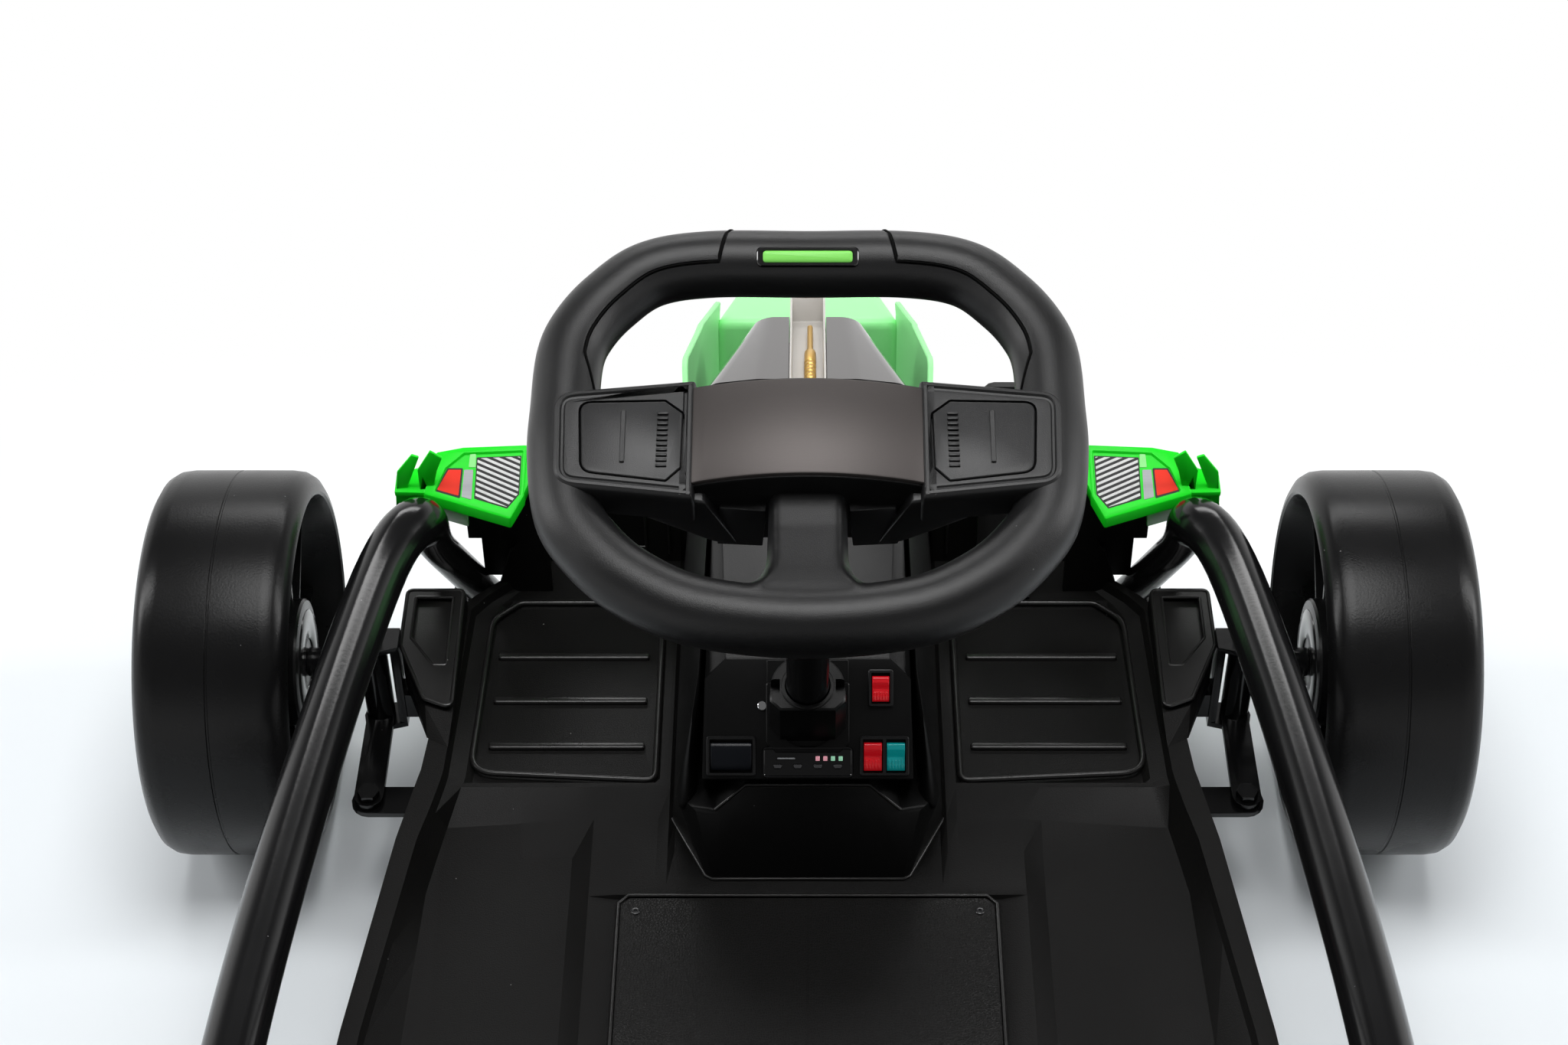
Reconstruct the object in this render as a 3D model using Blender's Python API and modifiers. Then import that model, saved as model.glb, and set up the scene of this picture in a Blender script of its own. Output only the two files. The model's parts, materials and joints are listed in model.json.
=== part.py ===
# Kids electric drift go-kart.
# +Y is forward, +X is the driver's right, +Z is up, all lengths in metres.
# The origin is on the ground, midway along the length and the width.

import math

import bmesh
import bpy
from mathutils import Matrix, Vector

# Overall
HALF_LENGTH = 0.610
GAP = 0.0003
RUNNING_GAP = 0.0005

# Wheels
WHEEL_RADIUS = 0.120
WHEEL_WIDTH = 0.092
WHEEL_LIP_RADIUS = 0.105
WHEEL_WEB_THICKNESS = 0.030
WHEEL_HUB_RADIUS = 0.040
WHEEL_BORE_RADIUS = 0.0065
WHEEL_HUB_SETBACK = 0.007
WHEEL_STEPS = 32
FRONT_AXLE_Y = 0.300
REAR_AXLE_Y = -0.460

# Frame
TUBE_SECTION = 0.020
RAIL_X = 0.150
RAIL_TOP_Z = 0.0945
RAIL_REAR_Y = -0.545
RAIL_WALL_GAP = GAP
BEAM_HALF_LENGTH = 0.2555
BEAM_HALF_DEPTH = 0.0075
BEAM_SETBACK = 0.0025
SUBFRAME_Y = 0.387
SUBFRAME_HALF_WIDTH = 0.232
REAR_CROSS_Y = -0.352
REAR_CROSS_HALF_WIDTH = 0.215
AXLE_PLATE_THICKNESS = 0.006
BUMPER_RADIUS = 0.011
SIDE_BAR_RADIUS = 0.016
SIDE_LEG_RADIUS = 0.011
SIDE_FOOT_FRONT_INSET = 0.022
SIDE_FOOT_REAR_INSET = 0.015

# Front suspension and steering linkage
YOKE_REACH = 0.0160
KINGPIN_X = BEAM_HALF_LENGTH + YOKE_REACH
WHEEL_OFFSET = 0.0800
WHEEL_CENTRE_X = KINGPIN_X + WHEEL_OFFSET
KINGPIN_RADIUS = 0.004
KNUCKLE_RADIUS = 0.009
YOKE_LOW_Z = 0.0670
YOKE_HIGH_Z = 0.1390
YOKE_PLATE = 0.004
STUB_RADIUS = 0.006
ARM_LENGTH = 0.0715
ARM_HALF_WIDTH = 0.009
ARM_THICKNESS = 0.004
TIE_THICKNESS = 0.004
TIE_HALF_WIDTH = 0.011
TIE_BOLT_RADIUS = 0.004
PITMAN_LENGTH = 0.0376
PITMAN_THICKNESS = 0.004
PITMAN_PIN_RADIUS = 0.004
SLOT_HALF_WIDTH = 0.005
SLOT_REAR_Y = 0.1745
SLOT_FRONT_Y = 0.1900

# Steering column, measured along its own axis from where it meets the instrument panel
COLUMN_ELEVATION = math.radians(75)
COLUMN_Y = 0.1838
COLUMN_Z = 0.2018
HUB_DISTANCE = 0.2855
SLEEVE_RADIUS = 0.012
SLEEVE_LOW = -0.030
SHAFT_RADIUS = 0.008
PITMAN_DISTANCE = -0.1131

# Steering wheel, in its own plane
RIM_RADIUS = 0.0168
RIM_SETBACK = 0.0165
RIM_RISE = 0.0040
CROSSBAR_TOP = 0.0
CROSSBAR_DEEP = -0.048
HUB_HALF_WIDTH = 0.0577
HUB_LOW = -0.0362
HUB_HIGH = 0.0303
HUB_BULGE = 0.0096
HUB_BOW = 0.004
HUB_COVER_THICKNESS = 0.002
PAD_INNER_X = 0.0610
PAD_OUTER_X = 0.1115
PAD_LOW = -0.0240
PAD_HIGH = 0.0198
PAD_THICKNESS = 0.0050
PAD_PROUD = 0.0010
PAD_TRAVEL = 0.0015
PAD_CORNER = 0.0075
LIGHT_HALF_LENGTH = 0.0230
LIGHT_HALF_WIDTH = 0.0031
LIGHT_THICKNESS = 0.0040
LIGHT_TILT = math.radians(23)

# Floor tray
TRAY_WALL = 0.0035
FLOOR_TOP_Z = RAIL_TOP_Z + GAP + TRAY_WALL
PLATEAU_Z = 0.1065
LEDGE_Z = 0.1100
PAN_Z = 0.1062
FLANGE_Z = 0.1180
TOE_WALL_Z = 0.1850
TOE_WALL_Y = 0.4005
EAR_Y = 0.3745
EAR_THICKNESS = 0.004
POD_CLEARANCE = 0.0020
RIB_HEIGHT = 0.0022
RIB_WIDTH = 0.0045
RIB_Y = (0.3165, 0.2785, 0.2405)
RIB_INNER_X = 0.1003
RIB_OUTER_X = 0.1955
COVER_HALF_WIDTH = 0.1095
COVER_FRONT_Y = 0.1235
COVER_REAR_Y = -0.1050
COVER_THICKNESS = 0.0027
BATTERY_BAY_HALF_WIDTH = 0.1000
BATTERY_BAY_FRONT_Y = 0.1130
BATTERY_BAY_REAR_Y = -0.0700

# Console
CONSOLE_WALL = 0.003
CONSOLE_BASE_Z = PLATEAU_Z + GAP
PANEL_LOW = (0.1554, 0.1734)
PANEL_HIGH = (0.2049, 0.2229)
PANEL_THICKNESS = 0.0035
PANEL_HALF_LOW = 0.0608
PANEL_HALF_HIGH = 0.0592
PANEL_CORNER = 0.0130
COLLAR_HALF_WIDTH = 0.0215
COLLAR_FRONT = 0.0156
COLLAR_TOP = 0.029
COLLAR_CORNER = 0.006

# Seat
SEAT_WALL = 0.004
SEAT_HALF_WIDTH = 0.165
SEAT_SLIDE_RANGE = 0.060
SEAT_BASE_TOP_Z = 0.1600

COLLECTION_NAME = "kids_drift_go_kart"

PAINTS = {
    "gloss_black_steel": ((0.012, 0.012, 0.013), 0.18, 0.35),
    "satin_black_plastic": ((0.030, 0.030, 0.031), 0.50, 0.0),
    "matt_black_tray": ((0.028, 0.028, 0.029), 0.62, 0.0),
    "grip_black_plastic": ((0.035, 0.035, 0.037), 0.45, 0.0),
    "dark_metallic_plastic": ((0.085, 0.078, 0.076), 0.35, 0.3),
    "bright_green_plastic": ((0.045, 0.62, 0.065), 0.30, 0.0),
    "wheel_black": ((0.022, 0.022, 0.023), 0.42, 0.0),
    "zinc_steel": ((0.62, 0.62, 0.62), 0.30, 1.0),
    "red_switch": ((0.65, 0.02, 0.02), 0.22, 0.0),
    "teal_switch": ((0.01, 0.38, 0.36), 0.22, 0.0),
    "light_green": ((0.30, 0.85, 0.25), 0.30, 0.0),
    "yellow_plastic": ((0.80, 0.55, 0.08), 0.35, 0.0),
    "battery_grey": ((0.10, 0.10, 0.11), 0.55, 0.0),
    "gearbox_black": ((0.035, 0.035, 0.037), 0.50, 0.0),
    "seat_black": ((0.030, 0.030, 0.031), 0.48, 0.0),
    "leather_black": ((0.026, 0.025, 0.025), 0.58, 0.0),
}

MATERIALS = {}
COLLECTIONS = {}


# Scene and object helpers

def start_scene():
    for existing in list(bpy.data.objects):
        bpy.data.objects.remove(existing, do_unlink=True)
    for key in (COLLECTION_NAME, "cutters"):
        collection = bpy.data.collections.new(key)
        bpy.context.scene.collection.children.link(collection)
        COLLECTIONS[key] = collection
    for name, (colour, roughness, metallic) in PAINTS.items():
        material = bpy.data.materials.new(name)
        material.use_nodes = True
        shader = material.node_tree.nodes["Principled BSDF"]
        shader.inputs["Base Color"].default_value = (*colour, 1.0)
        shader.inputs["Roughness"].default_value = roughness
        shader.inputs["Metallic"].default_value = metallic
        MATERIALS[name] = material


def add(name, data, paint, matrix=None):
    piece = bpy.data.objects.new(name, data)
    COLLECTIONS[COLLECTION_NAME].objects.link(piece)
    if paint:
        data.materials.append(MATERIALS[paint])
    if matrix is not None:
        piece.matrix_world = matrix
    return piece


def as_cutter(piece):
    COLLECTIONS[COLLECTION_NAME].objects.unlink(piece)
    COLLECTIONS["cutters"].objects.link(piece)
    piece.hide_render = True
    piece.display_type = "WIRE"
    return piece


def combine(piece, operand, operation):
    as_cutter(operand)
    modifier = piece.modifiers.new(operand.name, "BOOLEAN")
    modifier.operation = operation
    modifier.object = operand
    modifier.solver = "EXACT"
    return piece


def cut(piece, operand):
    return combine(piece, operand, "DIFFERENCE")


def join(piece, operand):
    return combine(piece, operand, "UNION")


def bevel(piece, width, segments=2, angle=math.radians(35)):
    modifier = piece.modifiers.new("rounded_edges", "BEVEL")
    modifier.width = width
    modifier.segments = segments
    modifier.limit_method = "ANGLE"
    modifier.angle_limit = angle
    return piece


def at(x, y, z):
    return Matrix.Translation((x, y, z))


def along(origin, direction, spin=0.0):
    """Places a local +Z axis along a direction at a point."""
    turn = Vector((0.0, 0.0, 1.0)).rotation_difference(Vector(direction).normalized())
    return Matrix.Translation(origin) @ turn.to_matrix().to_4x4() @ Matrix.Rotation(spin, 4, "Z")


def mirrored(points, side):
    return [(side * x, y, z) for x, y, z in points]


# Shape helpers

def box(name, low, high, paint, matrix=None):
    """A box between two corners, about its own middle."""
    low, high = Vector(low), Vector(high)
    bm = bmesh.new()
    bmesh.ops.create_cube(bm, size=1.0)
    bmesh.ops.scale(bm, vec=high - low, verts=bm.verts)
    mesh = bpy.data.meshes.new(name)
    bm.to_mesh(mesh)
    bm.free()
    place = Matrix.Translation((low + high) / 2)
    return add(name, mesh, paint, matrix @ place if matrix is not None else place)


def cylinder(name, radius, low, high, paint, matrix, segments=24):
    """A round bar between two heights on the local Z axis."""
    bm = bmesh.new()
    bmesh.ops.create_cone(bm, cap_ends=True, segments=segments, radius1=radius, radius2=radius,
                          depth=high - low, matrix=Matrix.Translation((0, 0, (low + high) / 2)))
    mesh = bpy.data.meshes.new(name)
    bm.to_mesh(mesh)
    bm.free()
    mesh.shade_smooth()
    mesh.set_sharp_from_angle(angle=math.radians(40))
    return add(name, mesh, paint, matrix)


def hull(name, points, paint, matrix=None):
    """The convex solid round a few corners."""
    bm = bmesh.new()
    for point in points:
        bm.verts.new(point)
    bmesh.ops.convex_hull(bm, input=bm.verts)
    loose = [vert for vert in bm.verts if not vert.link_faces]
    bmesh.ops.delete(bm, geom=loose, context="VERTS")
    bmesh.ops.dissolve_limit(bm, angle_limit=math.radians(0.5), verts=bm.verts, edges=bm.edges)
    bmesh.ops.recalc_face_normals(bm, faces=bm.faces)
    mesh = bpy.data.meshes.new(name)
    bm.to_mesh(mesh)
    bm.free()
    return add(name, mesh, paint, matrix)


def open_hull(name, points, wall, paint, open_direction):
    """A convex shell, open on the sides that face one direction."""
    piece = hull(name, points, paint)
    bm = bmesh.new()
    bm.from_mesh(piece.data)
    away = [face for face in bm.faces if face.normal.dot(Vector(open_direction)) > 0.95]
    bmesh.ops.delete(bm, geom=away, context="FACES")
    bm.to_mesh(piece.data)
    bm.free()
    solidify = piece.modifiers.new("wall", "SOLIDIFY")
    solidify.thickness = wall
    solidify.offset = -1.0
    solidify.use_even_offset = True
    return piece


def turned(name, profile, steps, paint, matrix, closed=False):
    """A turned solid from (radius, height) points that run down the outer side."""
    mesh = bpy.data.meshes.new(name)
    vertices = [(radius, 0.0, height) for radius, height in profile]
    edges = [(index, index + 1) for index in range(len(profile) - 1)]
    if closed:
        edges.append((len(profile) - 1, 0))
    mesh.from_pydata(vertices, edges, [])
    piece = add(name, mesh, paint, matrix)
    screw = piece.modifiers.new("turn", "SCREW")
    screw.steps = steps
    screw.render_steps = steps
    screw.use_merge_vertices = True
    screw.merge_threshold = 0.00005
    screw.use_smooth_shade = False
    return piece


def plate(name, outline, thickness, paint, matrix, holes=()):
    """A flat plate in its own XY plane, its middle at height 0."""
    curve = bpy.data.curves.new(name, "CURVE")
    curve.dimensions = "2D"
    curve.fill_mode = "BOTH"
    curve.extrude = thickness / 2
    for loop in (outline, *holes):
        spline = curve.splines.new("POLY")
        spline.points.add(len(loop) - 1)
        for point, (x, y) in zip(spline.points, loop):
            point.co = (x, y, 0.0, 1.0)
        spline.use_cyclic_u = True
    return add(name, curve, paint, matrix)


def tube(name, points, radius, paint, resolution=4, cyclic=False, scales=None):
    """A round tube through points that are already close together."""
    curve = bpy.data.curves.new(name, "CURVE")
    curve.dimensions = "3D"
    curve.bevel_depth = radius
    curve.bevel_resolution = resolution
    curve.use_fill_caps = not cyclic
    spline = curve.splines.new("POLY")
    spline.points.add(len(points) - 1)
    for index, (point, position) in enumerate(zip(spline.points, points)):
        point.co = (*position, 1.0)
        point.radius = scales[index] if scales else 1.0
    spline.use_cyclic_u = cyclic
    return add(name, curve, paint)


def to_mesh(piece):
    """Turns a curve piece into a mesh piece with its caps welded."""
    graph = bpy.context.evaluated_depsgraph_get()
    mesh = bpy.data.meshes.new_from_object(piece.evaluated_get(graph))
    bm = bmesh.new()
    bm.from_mesh(mesh)
    bmesh.ops.remove_doubles(bm, verts=bm.verts, dist=0.00002)
    bmesh.ops.recalc_face_normals(bm, faces=bm.faces)
    bm.to_mesh(mesh)
    bm.free()
    name = piece.name
    matrix = piece.matrix_world.copy()
    bpy.data.objects.remove(piece, do_unlink=True)
    return add(name, mesh, None, matrix)


def circle(radius, centre=(0.0, 0.0), count=20):
    return [(centre[0] + radius * math.cos(2 * math.pi * step / count),
             centre[1] + radius * math.sin(2 * math.pi * step / count)) for step in range(count)]


def rounded(corners, radius, steps=4):
    """Rounds each corner of a closed outline with an arc."""
    outline = []
    count = len(corners)
    for index in range(count):
        before, here, after = (Vector(corners[(index + shift) % count]) for shift in (-1, 0, 1))
        into, out = (before - here).normalized(), (after - here).normalized()
        half = math.acos(max(-1.0, min(1.0, into.dot(out)))) / 2
        reach = min(radius / math.tan(half), (before - here).length / 2, (after - here).length / 2)
        arc_radius = reach * math.tan(half)
        middle = here + (into + out).normalized() * (arc_radius / math.sin(half))
        start, end = here + into * reach - middle, here + out * reach - middle
        sweep = start.angle_signed(end) if len(start) == 2 else 0.0
        for step in range(steps + 1):
            turn = Matrix.Rotation(-sweep * step / steps, 2)
            outline.append(tuple(middle + turn @ start))
    return outline


def through(points, steps, cyclic=False):
    """Points on one smooth curve that passes through the given points."""
    count = len(points)
    spans = count if cyclic else count - 1
    path = []
    for index in range(spans):
        if cyclic:
            p0, p1, p2, p3 = (Vector(points[(index + shift) % count]) for shift in (-1, 0, 1, 2))
        else:
            p0 = Vector(points[max(index - 1, 0)])
            p1, p2 = Vector(points[index]), Vector(points[index + 1])
            p3 = Vector(points[min(index + 2, count - 1)])
        for step in range(steps):
            t = step / steps
            path.append(0.5 * ((2 * p1) + (p2 - p0) * t + (2 * p0 - 5 * p1 + 4 * p2 - p3) * t ** 2
                               + (3 * p1 - p0 - 3 * p2 + p3) * t ** 3))
    if not cyclic:
        path.append(Vector(points[-1]))
    return [tuple(point) for point in path]


def bent(corners, bend_radius, steps=4):
    """A tube path with an arc at each inner corner."""
    points = [Vector(corners[0])]
    for before, here, after in zip(corners, corners[1:], corners[2:]):
        before, here, after = Vector(before), Vector(here), Vector(after)
        into, out = (before - here).normalized(), (after - here).normalized()
        half = into.angle(out) / 2
        reach = min(bend_radius / math.tan(half), (before - here).length * 0.48,
                    (after - here).length * 0.48)
        middle = here + (into + out).normalized() * (reach / math.cos(half))
        start, end = here + into * reach, here + out * reach
        for step in range(steps + 1):
            turn = (start - middle).normalized().slerp((end - middle).normalized(), step / steps)
            points.append(middle + turn * (start - middle).length)
    points.append(Vector(corners[-1]))
    return [tuple(point) for point in points]


def blend(value, table):
    """Reads a piecewise straight line through (position, value) pairs in rising order."""
    if value <= table[0][0]:
        return table[0][1]
    for (x0, v0), (x1, v1) in zip(table, table[1:]):
        if value <= x1:
            return v0 + (v1 - v0) * (value - x0) / (x1 - x0)
    return table[-1][1]


# Frames of reference of the steering column

COLUMN_AXIS = Vector((0.0, -math.cos(COLUMN_ELEVATION), math.sin(COLUMN_ELEVATION)))
COLLAR_CENTRE = Vector((0.0, COLUMN_Y, COLUMN_Z))
HUB_CENTRE = COLLAR_CENTRE + COLUMN_AXIS * HUB_DISTANCE
PITMAN_CENTRE = COLLAR_CENTRE + COLUMN_AXIS * PITMAN_DISTANCE


def column_frame(distance):
    """Local +Z up the column, local +Y in the wheel's plane and forward."""
    tilt = Matrix.Rotation(math.pi / 2 - COLUMN_ELEVATION, 4, "X")
    return Matrix.Translation(COLLAR_CENTRE + COLUMN_AXIS * distance) @ tilt


def panel_frame():
    """Local +Y up the slope of the instrument panel, local +Z out of its face."""
    slope = math.atan2(PANEL_HIGH[1] - PANEL_LOW[1], PANEL_HIGH[0] - PANEL_LOW[0])
    return Matrix.Translation((0.0, PANEL_LOW[0], PANEL_LOW[1])) @ Matrix.Rotation(slope, 4, "X")


# Frame tubes

def build_frame():
    half = TUBE_SECTION / 2
    low_z = RAIL_TOP_Z - TUBE_SECTION
    for side, label in ((-1, "left"), (1, "right")):
        box(f"main_rail_{label}", (side * RAIL_X - half, RAIL_REAR_Y, low_z),
            (side * RAIL_X + half, FRONT_AXLE_Y + BEAM_SETBACK - BEAM_HALF_DEPTH - RAIL_WALL_GAP, RAIL_TOP_Z),
            "gloss_black_steel")

    subframe = box("front_subframe", (-SUBFRAME_HALF_WIDTH, SUBFRAME_Y - half, low_z),
                   (SUBFRAME_HALF_WIDTH, SUBFRAME_Y + half, RAIL_TOP_Z), "gloss_black_steel")
    for side in (-1, 1):
        stub = box(f"subframe_stub_{side}",
                   (side * RAIL_X - half, FRONT_AXLE_Y + BEAM_SETBACK + BEAM_HALF_DEPTH + RAIL_WALL_GAP, low_z),
                   (side * RAIL_X + half, SUBFRAME_Y, RAIL_TOP_Z), None)
        join(subframe, stub)

    beam_y = FRONT_AXLE_Y + BEAM_SETBACK
    beam = box("front_axle_beam", (-BEAM_HALF_LENGTH, beam_y - BEAM_HALF_DEPTH, low_z),
               (BEAM_HALF_LENGTH, beam_y + BEAM_HALF_DEPTH, RAIL_TOP_Z), "gloss_black_steel")
    for side in (-1, 1):
        join_yoke(beam, side)

    build_rear_frame()
    build_side_bars()
    build_bumpers()


def join_yoke(beam, side):
    """Welds the fork that holds a kingpin to one end of the beam."""
    web_inner = BEAM_HALF_LENGTH - 0.001
    web_outer = BEAM_HALF_LENGTH + 0.004
    web_x = sorted((side * web_inner, side * web_outer))
    web = box(f"yoke_web_{side}", (web_x[0], FRONT_AXLE_Y - 0.0065, YOKE_LOW_Z + 0.0005),
              (web_x[1], FRONT_AXLE_Y + 0.0115, YOKE_HIGH_Z - 0.0005), None)
    join(beam, web)
    for label, low_z in (("low", YOKE_LOW_Z), ("high", YOKE_HIGH_Z - YOKE_PLATE)):
        reach = KINGPIN_X - web_inner
        outline = [(-reach, 0.011), (-reach, -0.006)]
        outline += [(0.011 * math.sin(a), -0.011 * math.cos(a))
                    for a in (math.pi * step / 8 for step in range(9))]
        outline = [(side * x, y) for x, y in outline]
        lug = plate(f"yoke_{label}_{side}", outline, YOKE_PLATE, None,
                    at(side * KINGPIN_X, FRONT_AXLE_Y, low_z + YOKE_PLATE / 2),
                    holes=[circle(KINGPIN_RADIUS + RUNNING_GAP, count=16)])
        join(beam, to_mesh(lug))


def build_rear_frame():
    half = TUBE_SECTION / 2
    low_z = RAIL_TOP_Z + GAP
    rear = box("rear_frame", (-REAR_CROSS_HALF_WIDTH, REAR_CROSS_Y - half, low_z),
               (REAR_CROSS_HALF_WIDTH, REAR_CROSS_Y + half, low_z + TUBE_SECTION),
               "gloss_black_steel")
    outline = [(REAR_CROSS_Y, low_z), (REAR_CROSS_Y, low_z + 0.018), (REAR_AXLE_Y + 0.045, WHEEL_RADIUS + 0.022),
               (REAR_AXLE_Y - 0.030, WHEEL_RADIUS + 0.022), (REAR_AXLE_Y - 0.050, low_z)]
    hole = circle(STUB_RADIUS + GAP, centre=(REAR_AXLE_Y, WHEEL_RADIUS), count=16)
    upright = Matrix(((0, 0, 1, 0), (1, 0, 0, 0), (0, 1, 0, 0), (0, 0, 0, 1)))
    for side in (-1, 1):
        lug = plate(f"axle_plate_{side}", outline, AXLE_PLATE_THICKNESS, None,
                    at(side * RAIL_X, 0, 0) @ upright, holes=[hole])
        join(rear, to_mesh(lug))


def side_bar_points(side):
    """The bent line of a side bar, from its front foot to its rear foot."""
    front_x = SUBFRAME_HALF_WIDTH - SIDE_FOOT_FRONT_INSET
    rear_x = REAR_CROSS_HALF_WIDTH - SIDE_FOOT_REAR_INSET
    foot = (front_x, SUBFRAME_Y, RAIL_TOP_Z + GAP)
    run = through([(front_x + 0.0300, 0.3380, 0.2040), (KINGPIN_X - 0.0135, 0.2850, 0.2080),
                   (KINGPIN_X + 0.0045, 0.1110, 0.2215), (KINGPIN_X + 0.0155, -0.0710, 0.2345),
                   (KINGPIN_X + 0.0145, -0.2100, 0.2400), (KINGPIN_X - 0.0035, -0.2880, 0.2300)], 3)
    rear_foot = (rear_x, REAR_CROSS_Y, RAIL_TOP_Z + TUBE_SECTION + 2 * GAP)
    return mirrored([foot, (front_x + 0.0210, 0.3550, 0.1650), *run, (rear_x + 0.0250, -0.3350, 0.1650), rear_foot],
                    side)


def build_side_bars():
    thin = SIDE_LEG_RADIUS / SIDE_BAR_RADIUS
    for side, label in ((-1, "left"), (1, "right")):
        points = side_bar_points(side)
        scales = [thin, thin] + [1.0] * (len(points) - 4) + [thin, thin]
        bar = tube(f"side_bar_{label}", points, SIDE_BAR_RADIUS, "gloss_black_steel", 4, scales=scales)
        bar = to_mesh(bar)
        front_x, rear_x = points[0][0], points[-1][0]
        level = box(f"side_bar_trim_{label}", (front_x - 0.05, SUBFRAME_Y - 0.03, 0.05),
                    (front_x + 0.05, SUBFRAME_Y + 0.03, RAIL_TOP_Z + GAP), None)
        rear_level = box(f"side_bar_rear_trim_{label}", (rear_x - 0.05, REAR_CROSS_Y - 0.03, 0.05),
                         (rear_x + 0.05, REAR_CROSS_Y + 0.03, RAIL_TOP_Z + TUBE_SECTION + 2 * GAP), None)
        cut(bar, level)
        cut(bar, rear_level)


def build_bumpers():
    half = TUBE_SECTION / 2
    mid_z = RAIL_TOP_Z - half
    start_y = SUBFRAME_Y + half + GAP
    front = [(-0.130, start_y, mid_z), (-0.130, 0.560, mid_z), (0.130, 0.560, mid_z), (0.130, start_y, mid_z)]
    tube("front_bumper", bent(front, 0.045), BUMPER_RADIUS * 0.9, "gloss_black_steel", 3)
    rear_y = -HALF_LENGTH + BUMPER_RADIUS
    rear_start = RAIL_REAR_Y - GAP
    rear = [(-RAIL_X, rear_start, mid_z), (-RAIL_X, rear_start - 0.012, mid_z), (-RAIL_X, rear_y, 0.130),
            (-RAIL_X, rear_y, 0.190), (RAIL_X, rear_y, 0.190), (RAIL_X, rear_y, 0.130),
            (RAIL_X, rear_start - 0.012, mid_z), (RAIL_X, rear_start, mid_z)]
    tube("rear_bumper", bent(rear, 0.030), BUMPER_RADIUS, "gloss_black_steel", 3)


# Wheels, knuckles and linkage

def wheel_profile():
    """Half section of the one-piece wheel: (radius, height along the axle, outboard up)."""
    half = WHEEL_WIDTH / 2
    web = WHEEL_WEB_THICKNESS / 2
    tread = WHEEL_RADIUS / math.cos(math.pi / WHEEL_STEPS)
    hub_face = half - WHEEL_HUB_SETBACK
    return [(tread * 0.962, half - 0.0025), (tread * 0.990, half - 0.012), (tread, half - 0.024),
            (tread, -half + 0.024), (tread * 0.990, -half + 0.012), (tread * 0.962, -half + 0.0025),
            (WHEEL_LIP_RADIUS, -half), (WHEEL_LIP_RADIUS - 0.006, -half + 0.003),
            (0.088, -web), (WHEEL_HUB_RADIUS + 0.004, -web), (WHEEL_HUB_RADIUS, -hub_face),
            (WHEEL_BORE_RADIUS, -hub_face), (WHEEL_BORE_RADIUS, hub_face - 0.014),
            (WHEEL_HUB_RADIUS - 0.006, hub_face - 0.014), (WHEEL_HUB_RADIUS, web), (0.088, web),
            (WHEEL_LIP_RADIUS - 0.006, half - 0.003), (WHEEL_LIP_RADIUS, half)]


def build_wheels():
    for end, y in (("front", FRONT_AXLE_Y), ("rear", REAR_AXLE_Y)):
        for side, label in ((-1, "left"), (1, "right")):
            matrix = along((side * WHEEL_CENTRE_X, y, WHEEL_RADIUS), (side, 0, 0), math.pi / WHEEL_STEPS)
            turned(f"{end}_wheel_{label}", wheel_profile(), WHEEL_STEPS, "wheel_black", matrix, closed=True)


def hex_points(radius, low, high):
    points = []
    for z in (low, high):
        points += [(radius * math.cos(math.pi * k / 3), radius * math.sin(math.pi * k / 3), z)
                   for k in range(6)]
    return points


def bolt(name, radius, low, high, head, nut_top, matrix):
    """A hex bolt from its head's underside down, with its nut on."""
    shank = cylinder(name, radius, low, high + 0.001, "zinc_steel", matrix, 16)
    join(shank, hull(f"{name}_head", hex_points(radius * 1.75, high, high + head), None, matrix))
    join(shank, hull(f"{name}_nut", hex_points(radius * 1.75, nut_top - head, nut_top), None, matrix))
    return shank


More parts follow.
